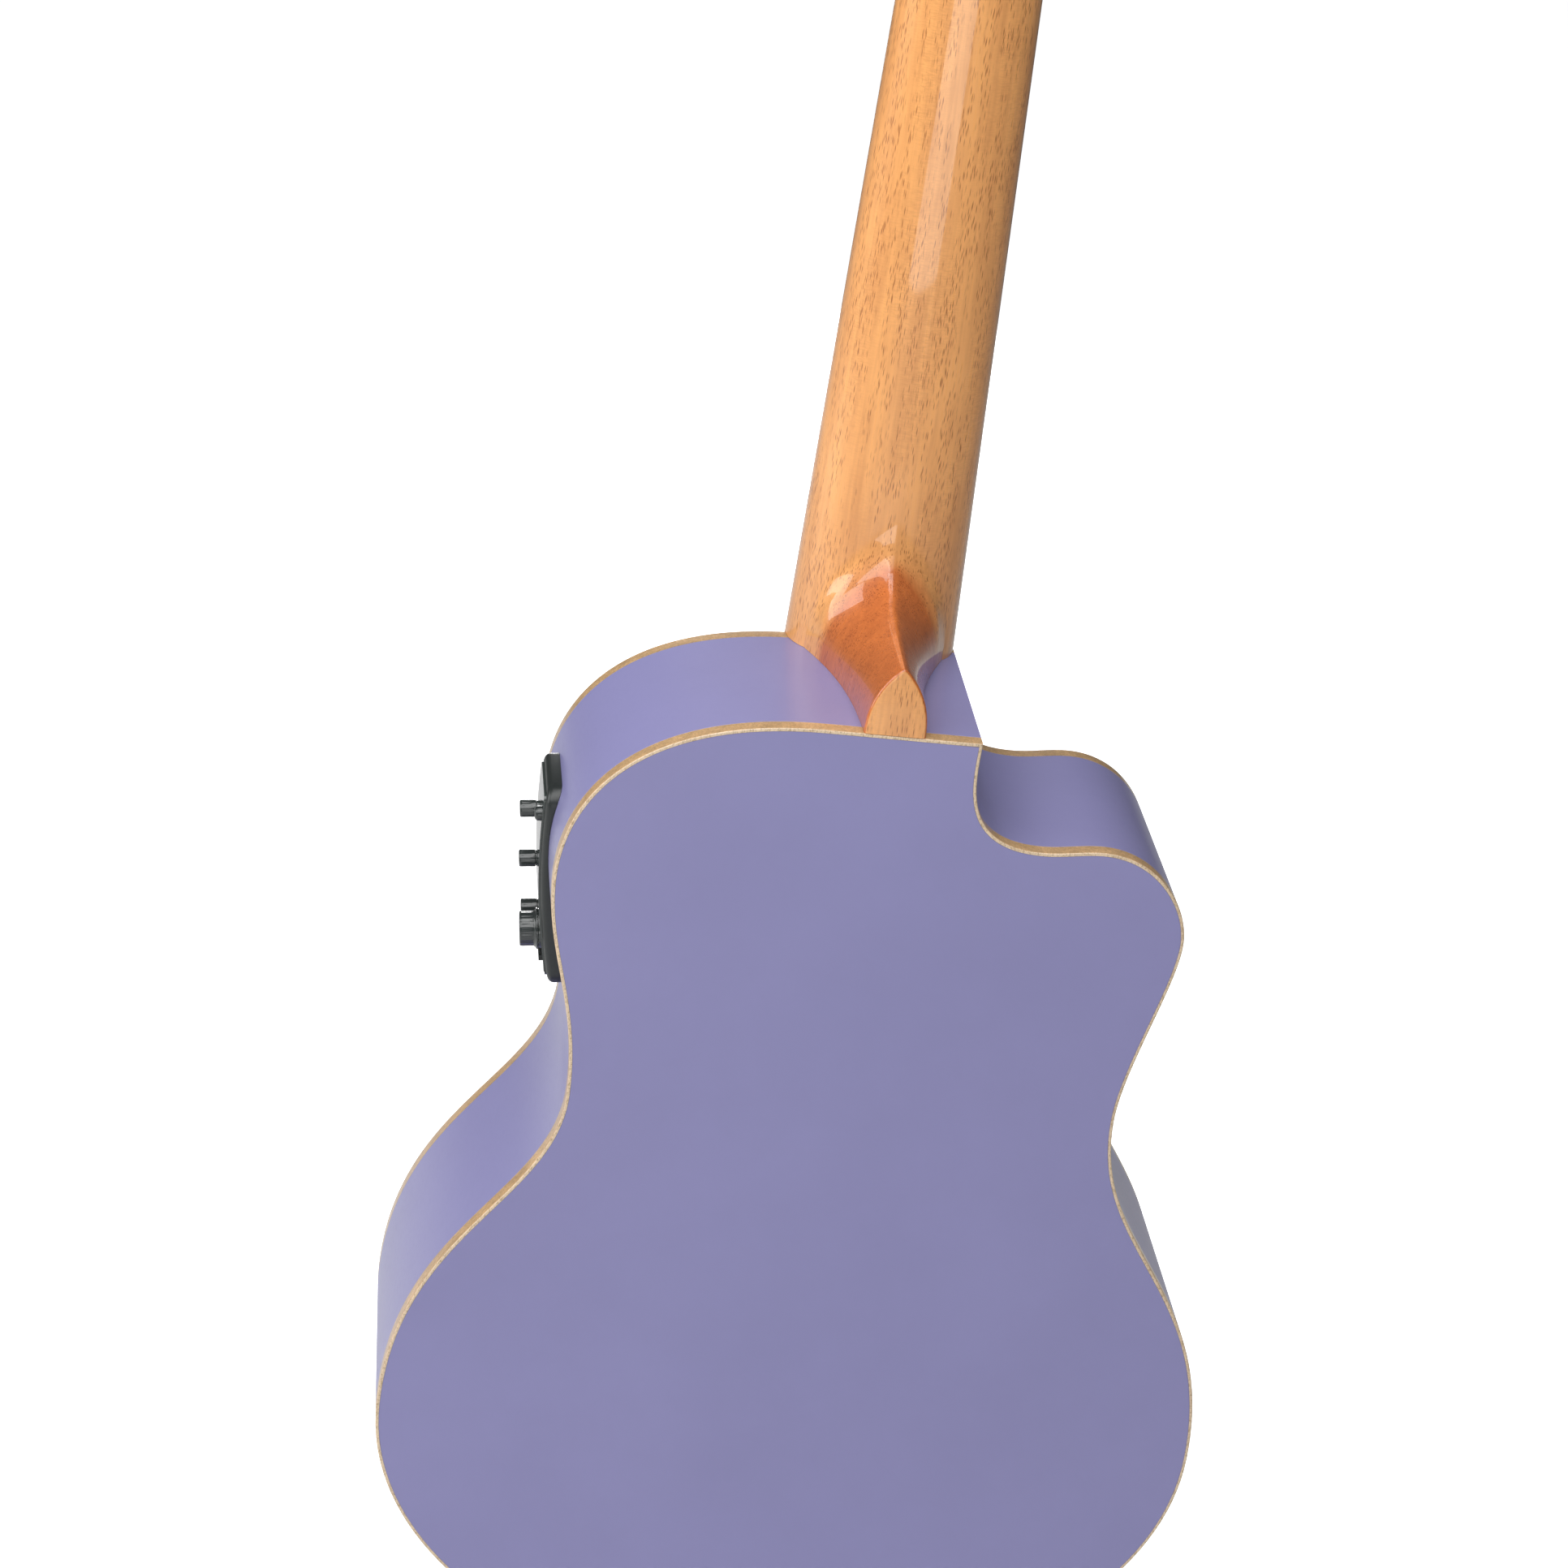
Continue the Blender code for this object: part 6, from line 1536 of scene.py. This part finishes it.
def board_mesh():
    """The fingerboard: its sides lean in towards the playing face and its corners are eased."""
    front, rear = -SEAT_GAP - BOARD_THICKNESS, -SEAT_GAP
    low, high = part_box("fretboard")
    rings = []
    for z in np.linspace(low.z, high.z, 41):
        half = neck_half_width(float(z))
        face = half - BOARD_SIDE_LEAN
        side = [
            (half - BOARD_EASE, rear),
            (half, rear - BOARD_EASE),
            (face + BOARD_FACE_EDGE / 2, front + BOARD_FACE_EDGE),
            (face, front + BOARD_EASE),
            (face - BOARD_FACE_EDGE, front),
        ]
        rings.append([(x, y, z) for x, y in side] + [(-x, y, z) for x, y in reversed(side)])
    return loft_mesh("dark_fingerboard", rings)


def frets_mesh():
    """All frets: crowned wires with their ends filed to a slope."""
    bm = bmesh.new()
    front = -SEAT_GAP - BOARD_THICKNESS
    arc = [math.pi * i / 10 for i in range(11)]
    for number in range(1, FRET_COUNT + 1):
        z = fret_z(number)
        half = neck_half_width(z) - BOARD_SIDE_LEAN
        shoulder = half - FRET_END
        rings = []
        for x, share in ((-half, FRET_END_SHARE), (-shoulder, 1), (shoulder, 1), (half, FRET_END_SHARE)):
            height = FRET_HEIGHT * share
            ring = [(x, front - height * math.sin(a), z + FRET_WIDTH / 2 * math.cos(a)) for a in arc]
            ring += [(x, front + FRET_SUNK, z + side * FRET_WIDTH / 2) for side in (-1, 1)]
            rings.append([bm.verts.new(p) for p in ring])
        grid_into(bm, rings)
        bm.faces.new(rings[0])
        bm.faces.new(rings[-1])
    return finish_mesh(bm, "fret_wires")


def dots_mesh():
    """Round position marks, let into the board between the frets."""
    bm = bmesh.new()
    front = -SEAT_GAP - BOARD_THICKNESS - DOT_PROUD
    for number, sides in POSITION_MARKS:
        z = (fret_z(number) + fret_z(number - 1)) / 2
        for side in sides:
            circle = circle_points(DOT_RADIUS, (side * DOT_OFFSET, z), 32)
            face = [bm.verts.new((x, front, u)) for x, u in circle]
            rear = [bm.verts.new((x, front + DOT_DEPTH, u)) for x, u in circle]
            grid_into(bm, [face, rear])
            bm.faces.new(face)
            bm.faces.new(rear)
    return finish_mesh(bm, "position_dots")


class UKE_OT_neck(bpy.types.Operator):
    """Builds the neck with its heel and headstock, the veneer, the board with its frets, and the nut"""

    bl_idname = "ukulele.neck"
    bl_label = "Neck"

    def execute(self, context):
        look = settings("ukulele_neck")
        neck = piece("gloss_neck", neck_mesh(look.cap_round), "mahogany", replaces=["neck"])
        for side, up in tuner_places():
            bore = bore_mesh(BUSHING_SLEEVE_RADIUS + SEAT_GAP, *TUNER_BORE_ENDS, "Y")
            bore.transform(head_matrix() @ Matrix.Translation((side * TUNER_SIDE_X, 0, up)))
            cut(neck, bore)
        dress("head_veneer", "board")
        piece("dark_fingerboard", board_mesh(), "board", replaces=["fretboard"])
        piece("fret_wires", frets_mesh(), "fret")
        piece("position_dots", dots_mesh(), "pearl")
        dress("nut", "bone")
        return {"FINISHED"}


class UKE_OT_bridge(bpy.types.Operator):
    """Finishes the bridge, the saddle and the strings"""

    bl_idname = "ukulele.bridge"
    bl_label = "Bridge and strings"

    def execute(self, context):
        dress("bridge", "board")
        dress("saddle", "bone")
        dress("saddle_pickup", "chrome")
        for number in range(1, 5):
            dress(f"string_{number}", "string")
            dress(f"string_winding_{number}", "string")
        return {"FINISHED"}


class UKE_OT_tuners(bpy.types.Operator):
    """Finishes the four geared tuners"""

    bl_idname = "ukulele.tuners"
    bl_label = "Tuners"

    def execute(self, context):
        for number in range(1, 5):
            for node in ("plate", "worm", "post", "bushing"):
                dress(f"tuner_{node}_{number}", "chrome")
            dress(f"tuner_button_{number}", "button")
        return {"FINISHED"}


# Preamp


def side_x(z):
    """The outer face of the bass side at a height, between the shoulder and the tail."""
    low, high = PREAMP_SIDE_SPAN
    path = [p for p in bass_path(OUTLINE_STEPS) if low < p[1] - BODY_TOP_Z < high]
    return float(np.interp(-z, [-p[1] for p in path], [p[0] for p in path]))


def depth_to_side(z, gap):
    """How deep under the bezel's face plane the painted side lies, at a height in the preamp's frame."""
    cos, sin = math.cos(PREAMP_TILT), math.sin(PREAMP_TILT)
    depth = 0.0
    for _ in range(12):
        world_z = BODY_TOP_Z - PREAMP_DROP - depth * sin + z * cos
        depth = (side_x(world_z) + gap - PREAMP_FACE_X - z * sin) / cos
    return depth


def crown_fall(z):
    """How far the bowed bezel lies under its own middle."""
    return BEZEL_CROWN * (z / (BEZEL_LENGTH / 2)) ** 2


def panel_height(z):
    """The panel's face: it bows as the bezel does and stands a little proud of it."""
    return PANEL_PROUD - crown_fall(z)


def knob_base(z, radius):
    """The height at which a knob's foot clears the bowed panel."""
    return panel_height(max(abs(z) - radius, 0.0)) + SEAT_GAP


def bowed_ring(loop, depth):
    """A ring of the bezel at a depth under its bowed face."""
    return [(-depth - crown_fall(z), y, z) for y, z in loop]


def foot_ring(loop):
    """A ring of the bezel's foot, on the painted side."""
    return [(depth_to_side(z, BEZEL_SEAT), y, z) for y, z in loop]


def bezel_mesh():
    """The bezel: a collar in the side, a rim rounded on both edges, and a foot on the painted side."""
    half_y, half_z = BEZEL_WIDTH / 2, BEZEL_LENGTH / 2
    inner_y, inner_z = half_y - BEZEL_RIM, half_z - BEZEL_RIM
    turns = [math.pi / 2 * i / BEZEL_EDGE_STEPS for i in range(BEZEL_EDGE_STEPS + 1)]
    rings = [bowed_ring(rounded_rectangle(inner_y, inner_z, BEZEL_INNER_CORNER), COLLAR_DEPTH)]
    for angle in turns:
        grow = BEZEL_SOFT * (1 - math.cos(angle))
        loop = rounded_rectangle(inner_y + grow, inner_z + grow, BEZEL_INNER_CORNER + grow)
        rings.append(bowed_ring(loop, BEZEL_SOFT * (1 - math.sin(angle))))
    for angle in turns:
        shrink = BEZEL_OUTER_SOFT * (1 - math.sin(angle))
        loop = rounded_rectangle(half_y - shrink, half_z - shrink, BEZEL_CORNER - shrink)
        rings.append(bowed_ring(loop, BEZEL_OUTER_SOFT * (1 - math.cos(angle))))
    collar = rounded_rectangle(inner_y + COLLAR_WALL, inner_z + COLLAR_WALL, COLLAR_CORNER)
    rings.append(foot_ring(rounded_rectangle(half_y, half_z, BEZEL_CORNER)))
    rings.append(foot_ring(collar))
    rings.append(bowed_ring(collar, COLLAR_DEPTH))
    return loft_mesh("preamp_bezel_moulding", rings, looped=True)


def panel_mesh():
    """The electronics' housing, before its face is cut to its bow."""
    half_y = BEZEL_WIDTH / 2 - BEZEL_RIM - SEAT_GAP
    half_z = BEZEL_LENGTH / 2 - BEZEL_RIM - SEAT_GAP
    loop = rounded_rectangle(half_y, half_z, BEZEL_INNER_CORNER - SEAT_GAP)
    ends = (-HOUSING_DEPTH, PANEL_BLANK_TOP)
    return loft_mesh("gloss_panel", [[(x, y, z) for y, z in loop] for x in ends])


def over_panel_mesh():
    """The space over the panel's bowed face."""
    reach_y, reach_z = BEZEL_WIDTH / 2, BEZEL_LENGTH / 2
    outline = [(OVER_PANEL, reach_z), (OVER_PANEL, -reach_z)]
    for z in np.linspace(-reach_z, reach_z, 81):
        outline.append((panel_height(float(z)), float(z)))
    return loft_mesh("over_panel", [[(x, y, z) for x, z in outline] for y in (-reach_y, reach_y)])


def panel_hole(radius, y, z):
    """A blind hole for a stem, into the panel."""
    low = panel_height(z) - KNOB_STEM_LENGTH - PUSH_BUTTON_PROUD
    mesh = bore_mesh(radius, low, OVER_PANEL, "X", 32)
    mesh.transform(Matrix.Translation((0, y, z)))
    return mesh


def knob_seat_mesh(radius, y, z):
    """A low round seat on the bowed panel, just under a knob."""
    low, high = panel_height(z) - KNOB_SEAT_DEPTH, knob_base(z, radius) - KNOB_SHOW
    foot = radius - KNOB_SEAT_INSET
    eased = [(foot, high - KNOB_SEAT_EDGE), (foot - KNOB_SEAT_EDGE, high)]
    mesh = turned_mesh("knob_seat", [(0, low), (foot, low)] + eased + [(0, high)], "X", 40)
    mesh.transform(Matrix.Translation((0, y, z)))
    return mesh


def drawer_slot_mesh():
    """The slot that the battery drawer slides in."""
    low = panel_height(TRAY_DOWN) - TRAY_DEPTH - SEAT_GAP
    half_y, half_z = TRAY_WIDTH / 2 + SEAT_GAP, TRAY_THICKNESS / 2 + SEAT_GAP
    corners = ((half_y, half_z), (-half_y, half_z), (-half_y, -half_z), (half_y, -half_z))
    return loft_mesh("drawer_slot", [[(x, y, z - TRAY_DOWN) for y, z in corners] for x in (low, OVER_PANEL)])


def knob_profile(radius, skirt, height):
    """A knob on its stem, as (radius, along, share of a flute's depth).

    It has a low flared skirt, a fluted barrel, a rounded edge and a dished end.
    """
    rows = [(0.0, -KNOB_STEM_LENGTH, 0), (KNOB_STEM_RADIUS, -KNOB_STEM_LENGTH, 0)]
    rows += [(KNOB_STEM_RADIUS, 0.0, 0), (skirt - SKIRT_EDGE, 0.0, 0), (skirt, SKIRT_EDGE, 0)]
    rows.append((skirt, SKIRT_HEIGHT, 0))
    if skirt > radius:
        slope = SKIRT_SLOPE_HEIGHT - SKIRT_HEIGHT
        for share in (0.35, 0.7):
            across = skirt + (radius - skirt) * share**SKIRT_HOLLOW
            rows.append((across, SKIRT_HEIGHT + slope * share, 0))
    rows += [(radius, SKIRT_SLOPE_HEIGHT, 0), (radius, SKIRT_SLOPE_HEIGHT + FLUTE_RISE, 1)]
    rows.append((radius, height - 2 * KNOB_EDGE, 1))
    for i in range(1, KNOB_EDGE_STEPS + 1):
        angle = math.pi / 2 * i / KNOB_EDGE_STEPS
        across = radius - KNOB_EDGE * (1 - math.cos(angle))
        rows.append((across, height - KNOB_EDGE + KNOB_EDGE * math.sin(angle), 1 - i / KNOB_EDGE_STEPS))
    rows += [(radius * KNOB_DISH_RIM, height, 0), (radius * KNOB_DISH_FLOOR, height - KNOB_DISH_DEPTH, 0)]
    return rows + [(0.0, height - KNOB_DISH_MIDDLE, 0)]


def knob_mesh(name, radius, skirt, height, flutes):
    """Turns a knob's profile, with its flutes let into the barrel."""
    steps = flutes * FLUTE_STEPS
    bm = bmesh.new()
    made = []
    for row_radius, along, fluted in knob_profile(radius, skirt, height):
        if row_radius == 0:
            made.append([bm.verts.new((along, 0, 0))] * steps)
            continue
        row = []
        for k in range(steps):
            angle = 2 * math.pi * k / steps
            r = row_radius - fluted * FLUTE_DEPTH * (1 - math.cos(flutes * angle)) / 2
            row.append(bm.verts.new((along, r * math.cos(angle), r * math.sin(angle))))
        made.append(row)
    grid_into(bm, made)
    return finish_mesh(bm, name)


def shaped_knob(label):
    """A tone knob, or the volume knob, which is larger and has a skirt."""
    name = f"{label}_knob"
    if label == "volume":
        return knob_mesh(
            name, VOLUME_KNOB_RADIUS, VOLUME_SKIRT_RADIUS, VOLUME_KNOB_HEIGHT, VOLUME_KNOB_FLUTES
        )
    return knob_mesh(name, SMALL_KNOB_RADIUS, SMALL_KNOB_RADIUS, SMALL_KNOB_HEIGHT, SMALL_KNOB_FLUTES)


def push_button_mesh():
    radius, proud = PUSH_BUTTON_RADIUS, PUSH_BUTTON_PROUD
    stem = [(0, -KNOB_STEM_LENGTH), (radius, -KNOB_STEM_LENGTH)]
    profile = stem + [(radius, proud * 0.7), (radius * 0.7, proud), (0, proud)]
    return turned_mesh("soft_push_button", softened(profile, PUSH_BUTTON_EDGE), "X", 32)


class UKE_OT_preamp(bpy.types.Operator):
    """Builds the preamp's bezel, panel, knobs, button and battery drawer"""

    bl_idname = "ukulele.preamp"
    bl_label = "Preamp"

    def execute(self, context):
        to_side = preamp_matrix()
        piece(
            "preamp_bezel_moulding",
            bezel_mesh(),
            "plastic",
            replaces=["preamp_bezel"],
            placed_by=to_side,
        )
        low_z = TONE_KNOB_TOP - 2 * TONE_KNOB_SPACING
        knobs = (
            ("bass", SMALL_KNOB_RADIUS, TONE_KNOB_Y, TONE_KNOB_TOP),
            ("middle", SMALL_KNOB_RADIUS, TONE_KNOB_Y, TONE_KNOB_TOP - TONE_KNOB_SPACING),
            ("treble", SMALL_KNOB_RADIUS, TONE_KNOB_Y, low_z),
            ("volume", VOLUME_SKIRT_RADIUS, VOLUME_KNOB_Y, low_z),
        )
        panel = piece("gloss_panel", panel_mesh(), "panel", replaces=["preamp_housing"])
        cut(panel, over_panel_mesh())
        for _, foot, y, z in knobs:
            cut(panel, knob_seat_mesh(foot, y, z), "UNION")
        for _, _, y, z in knobs:
            cut(panel, panel_hole(KNOB_STEM_RADIUS + SEAT_GAP, y, z))
        cut(panel, panel_hole(PUSH_BUTTON_RADIUS + SEAT_GAP, PUSH_BUTTON_Y, PUSH_BUTTON_UP))
        cut(panel, drawer_slot_mesh())
        panel.data.transform(to_side)
        for label, foot, y, z in knobs:
            piece(
                f"{label}_knob_fluted",
                shaped_knob(label),
                "knob",
                body=f"{label}_knob",
                replaces=[f"knob_{label}"],
                placed_by=to_side @ Matrix.Translation((knob_base(z, foot), y, z)),
            )
        place = panel_height(PUSH_BUTTON_UP), PUSH_BUTTON_Y, PUSH_BUTTON_UP
        piece(
            "soft_push_button",
            push_button_mesh(),
            "knob",
            body="preamp_button",
            replaces=["preamp_button"],
            placed_by=to_side @ Matrix.Translation(place),
        )
        dress("battery_tray", "plastic")
        dress("coin_cell", "steel")
        return {"FINISHED"}


class UKE_OT_inside(bpy.types.Operator):
    """Finishes the linings, blocks, braces and the output jack"""

    bl_idname = "ukulele.inside"
    bl_label = "Inside and jack"

    def execute(self, context):
        for node in ("top_lining", "back_lining", "neck_block", "tail_block", "bridge_patch"):
            dress(node, "spruce")
        for node in ("upper_top_brace", "lower_top_brace", "upper_back_brace", "lower_back_brace"):
            dress(node, "spruce")
        dress("output_jack", "chrome")
        return {"FINISHED"}


# Stage


def add_floor(scene, glow):
    """A pale floor under the part, lifted to white for the camera only."""
    z = CAD_BOX[0][2] - FLOOR_GAP
    corners = ((-1, -1), (1, -1), (1, 1), (-1, 1))
    mesh = bpy.data.meshes.new("studio_floor")
    mesh.from_pydata([(FLOOR_REACH * x, FLOOR_REACH * y, z) for x, y in corners], [], [(0, 1, 2, 3)])
    made, tree, shader, vector = new_material("pale_floor", 0.6)
    tone = mix_colour(tree, noise(tree, vector, scale=3.0), (0.86, 0.86, 0.86), (0.90, 0.90, 0.90))
    tree.links.new(tone, shader.inputs["Base Color"])
    shader.inputs["Emission Color"].default_value = (1, 1, 1, 1)
    seen = tree.nodes.new("ShaderNodeLightPath").outputs["Is Camera Ray"]
    tree.links.new(math_node(tree, "MULTIPLY", seen, glow), shader.inputs["Emission Strength"])
    mesh.materials.append(made)
    floor = bpy.data.objects.new("studio_floor", mesh)
    scene.collection.objects.link(floor)


def add_room(scene, surround):
    """A pale room. The camera sees it brighter than the part does."""
    world = bpy.data.worlds.new("pale_room")
    scene.world = world
    world.use_nodes = True
    tree = world.node_tree
    background = tree.nodes["Background"]
    background.inputs["Color"].default_value = (1, 1, 1, 1)
    seen = tree.nodes.new("ShaderNodeLightPath").outputs["Is Camera Ray"]
    strength = ramp(tree, seen, 0.0, 1.0, surround, SKY_SEEN)
    tree.links.new(strength, background.inputs["Strength"])


def add_softbox(scene, name, place, aim, size, power):
    light = bpy.data.lights.new(name, "AREA")
    light.shape = "RECTANGLE"
    light.size, light.size_y = size
    light.energy = power
    obj = bpy.data.objects.new(name, light)
    scene.collection.objects.link(obj)
    obj.location = place
    obj.rotation_euler = (Vector(aim) - Vector(place)).to_track_quat("-Z", "Y").to_euler()


def add_camera(scene):
    """The camera where the photo's perspective puts it."""
    camera = bpy.data.cameras.new("camera")
    camera.lens = CAMERA_LENS
    camera.sensor_width = SENSOR
    camera.clip_start = NEAREST_SEEN
    obj = bpy.data.objects.new("camera", camera)
    scene.collection.objects.link(obj)
    turn = Matrix((Vector(CAMERA_RIGHT), -Vector(CAMERA_DOWN), -Vector(CAMERA_FORWARD))).transposed()
    obj.matrix_world = Matrix.Translation(CAMERA_PLACE) @ turn.to_4x4()
    scene.camera = obj


class UKE_OT_stage(bpy.types.Operator):
    """Sets up the pale floor, the soft studio light and the camera"""

    bl_idname = "ukulele.stage"
    bl_label = "Stage"

    def execute(self, context):
        look = settings("ukulele_stage")
        scene = context.scene
        add_floor(scene, look.floor_glow)
        add_room(scene, look.surround)
        for label, place, aim, size in SOFTBOXES:
            add_softbox(scene, f"{label}_softbox", place, aim, size, getattr(look, label))
        add_camera(scene)
        scene.view_settings.view_transform = "Standard"
        return {"FINISHED"}


OPERATORS = (
    UKE_OT_stage,
    UKE_OT_body,
    UKE_OT_neck,
    UKE_OT_bridge,
    UKE_OT_tuners,
    UKE_OT_preamp,
    UKE_OT_inside,
)
LOOKS = (
    ("ukulele_body", UkuleleBodyLook),
    ("ukulele_neck", UkuleleNeckLook),
    ("ukulele_fittings", UkuleleFittingsLook),
    ("ukulele_stage", UkuleleStageLook),
)


class UKE_PT_panel(bpy.types.Panel):
    """Lists the settings and the steps"""

    bl_label = "Tenor ukulele"
    bl_idname = "UKE_PT_panel"
    bl_space_type = "VIEW_3D"
    bl_region_type = "UI"
    bl_category = "Ukulele"

    def draw(self, context):
        for name, look in LOOKS:
            box = self.layout.box()
            for label in look.__annotations__:
                box.prop(getattr(context.scene, name), label)
        for operator in OPERATORS:
            self.layout.operator(operator.bl_idname)


def register():
    for name, look in LOOKS:
        bpy.utils.register_class(look)
        setattr(bpy.types.Scene, name, bpy.props.PointerProperty(type=look))
    for made in OPERATORS:
        bpy.utils.register_class(made)
    bpy.utils.register_class(UKE_PT_panel)


def unregister():
    bpy.utils.unregister_class(UKE_PT_panel)
    for made in reversed(OPERATORS):
        bpy.utils.unregister_class(made)
    for name, look in reversed(LOOKS):
        delattr(bpy.types.Scene, name)
        bpy.utils.unregister_class(look)


def main():
    for obj in list(bpy.data.objects):
        if obj.name in ("Cube", "Light", "Camera"):
            bpy.data.objects.remove(obj, do_unlink=True)
    register()
    bpy.ops.ukulele.stage()
    bpy.ops.ukulele.body()
    bpy.ops.ukulele.neck()
    bpy.ops.ukulele.bridge()
    bpy.ops.ukulele.tuners()
    bpy.ops.ukulele.preamp()
    bpy.ops.ukulele.inside()
    bpy.context.view_layer.update()


if __name__ == "__main__":
    main()
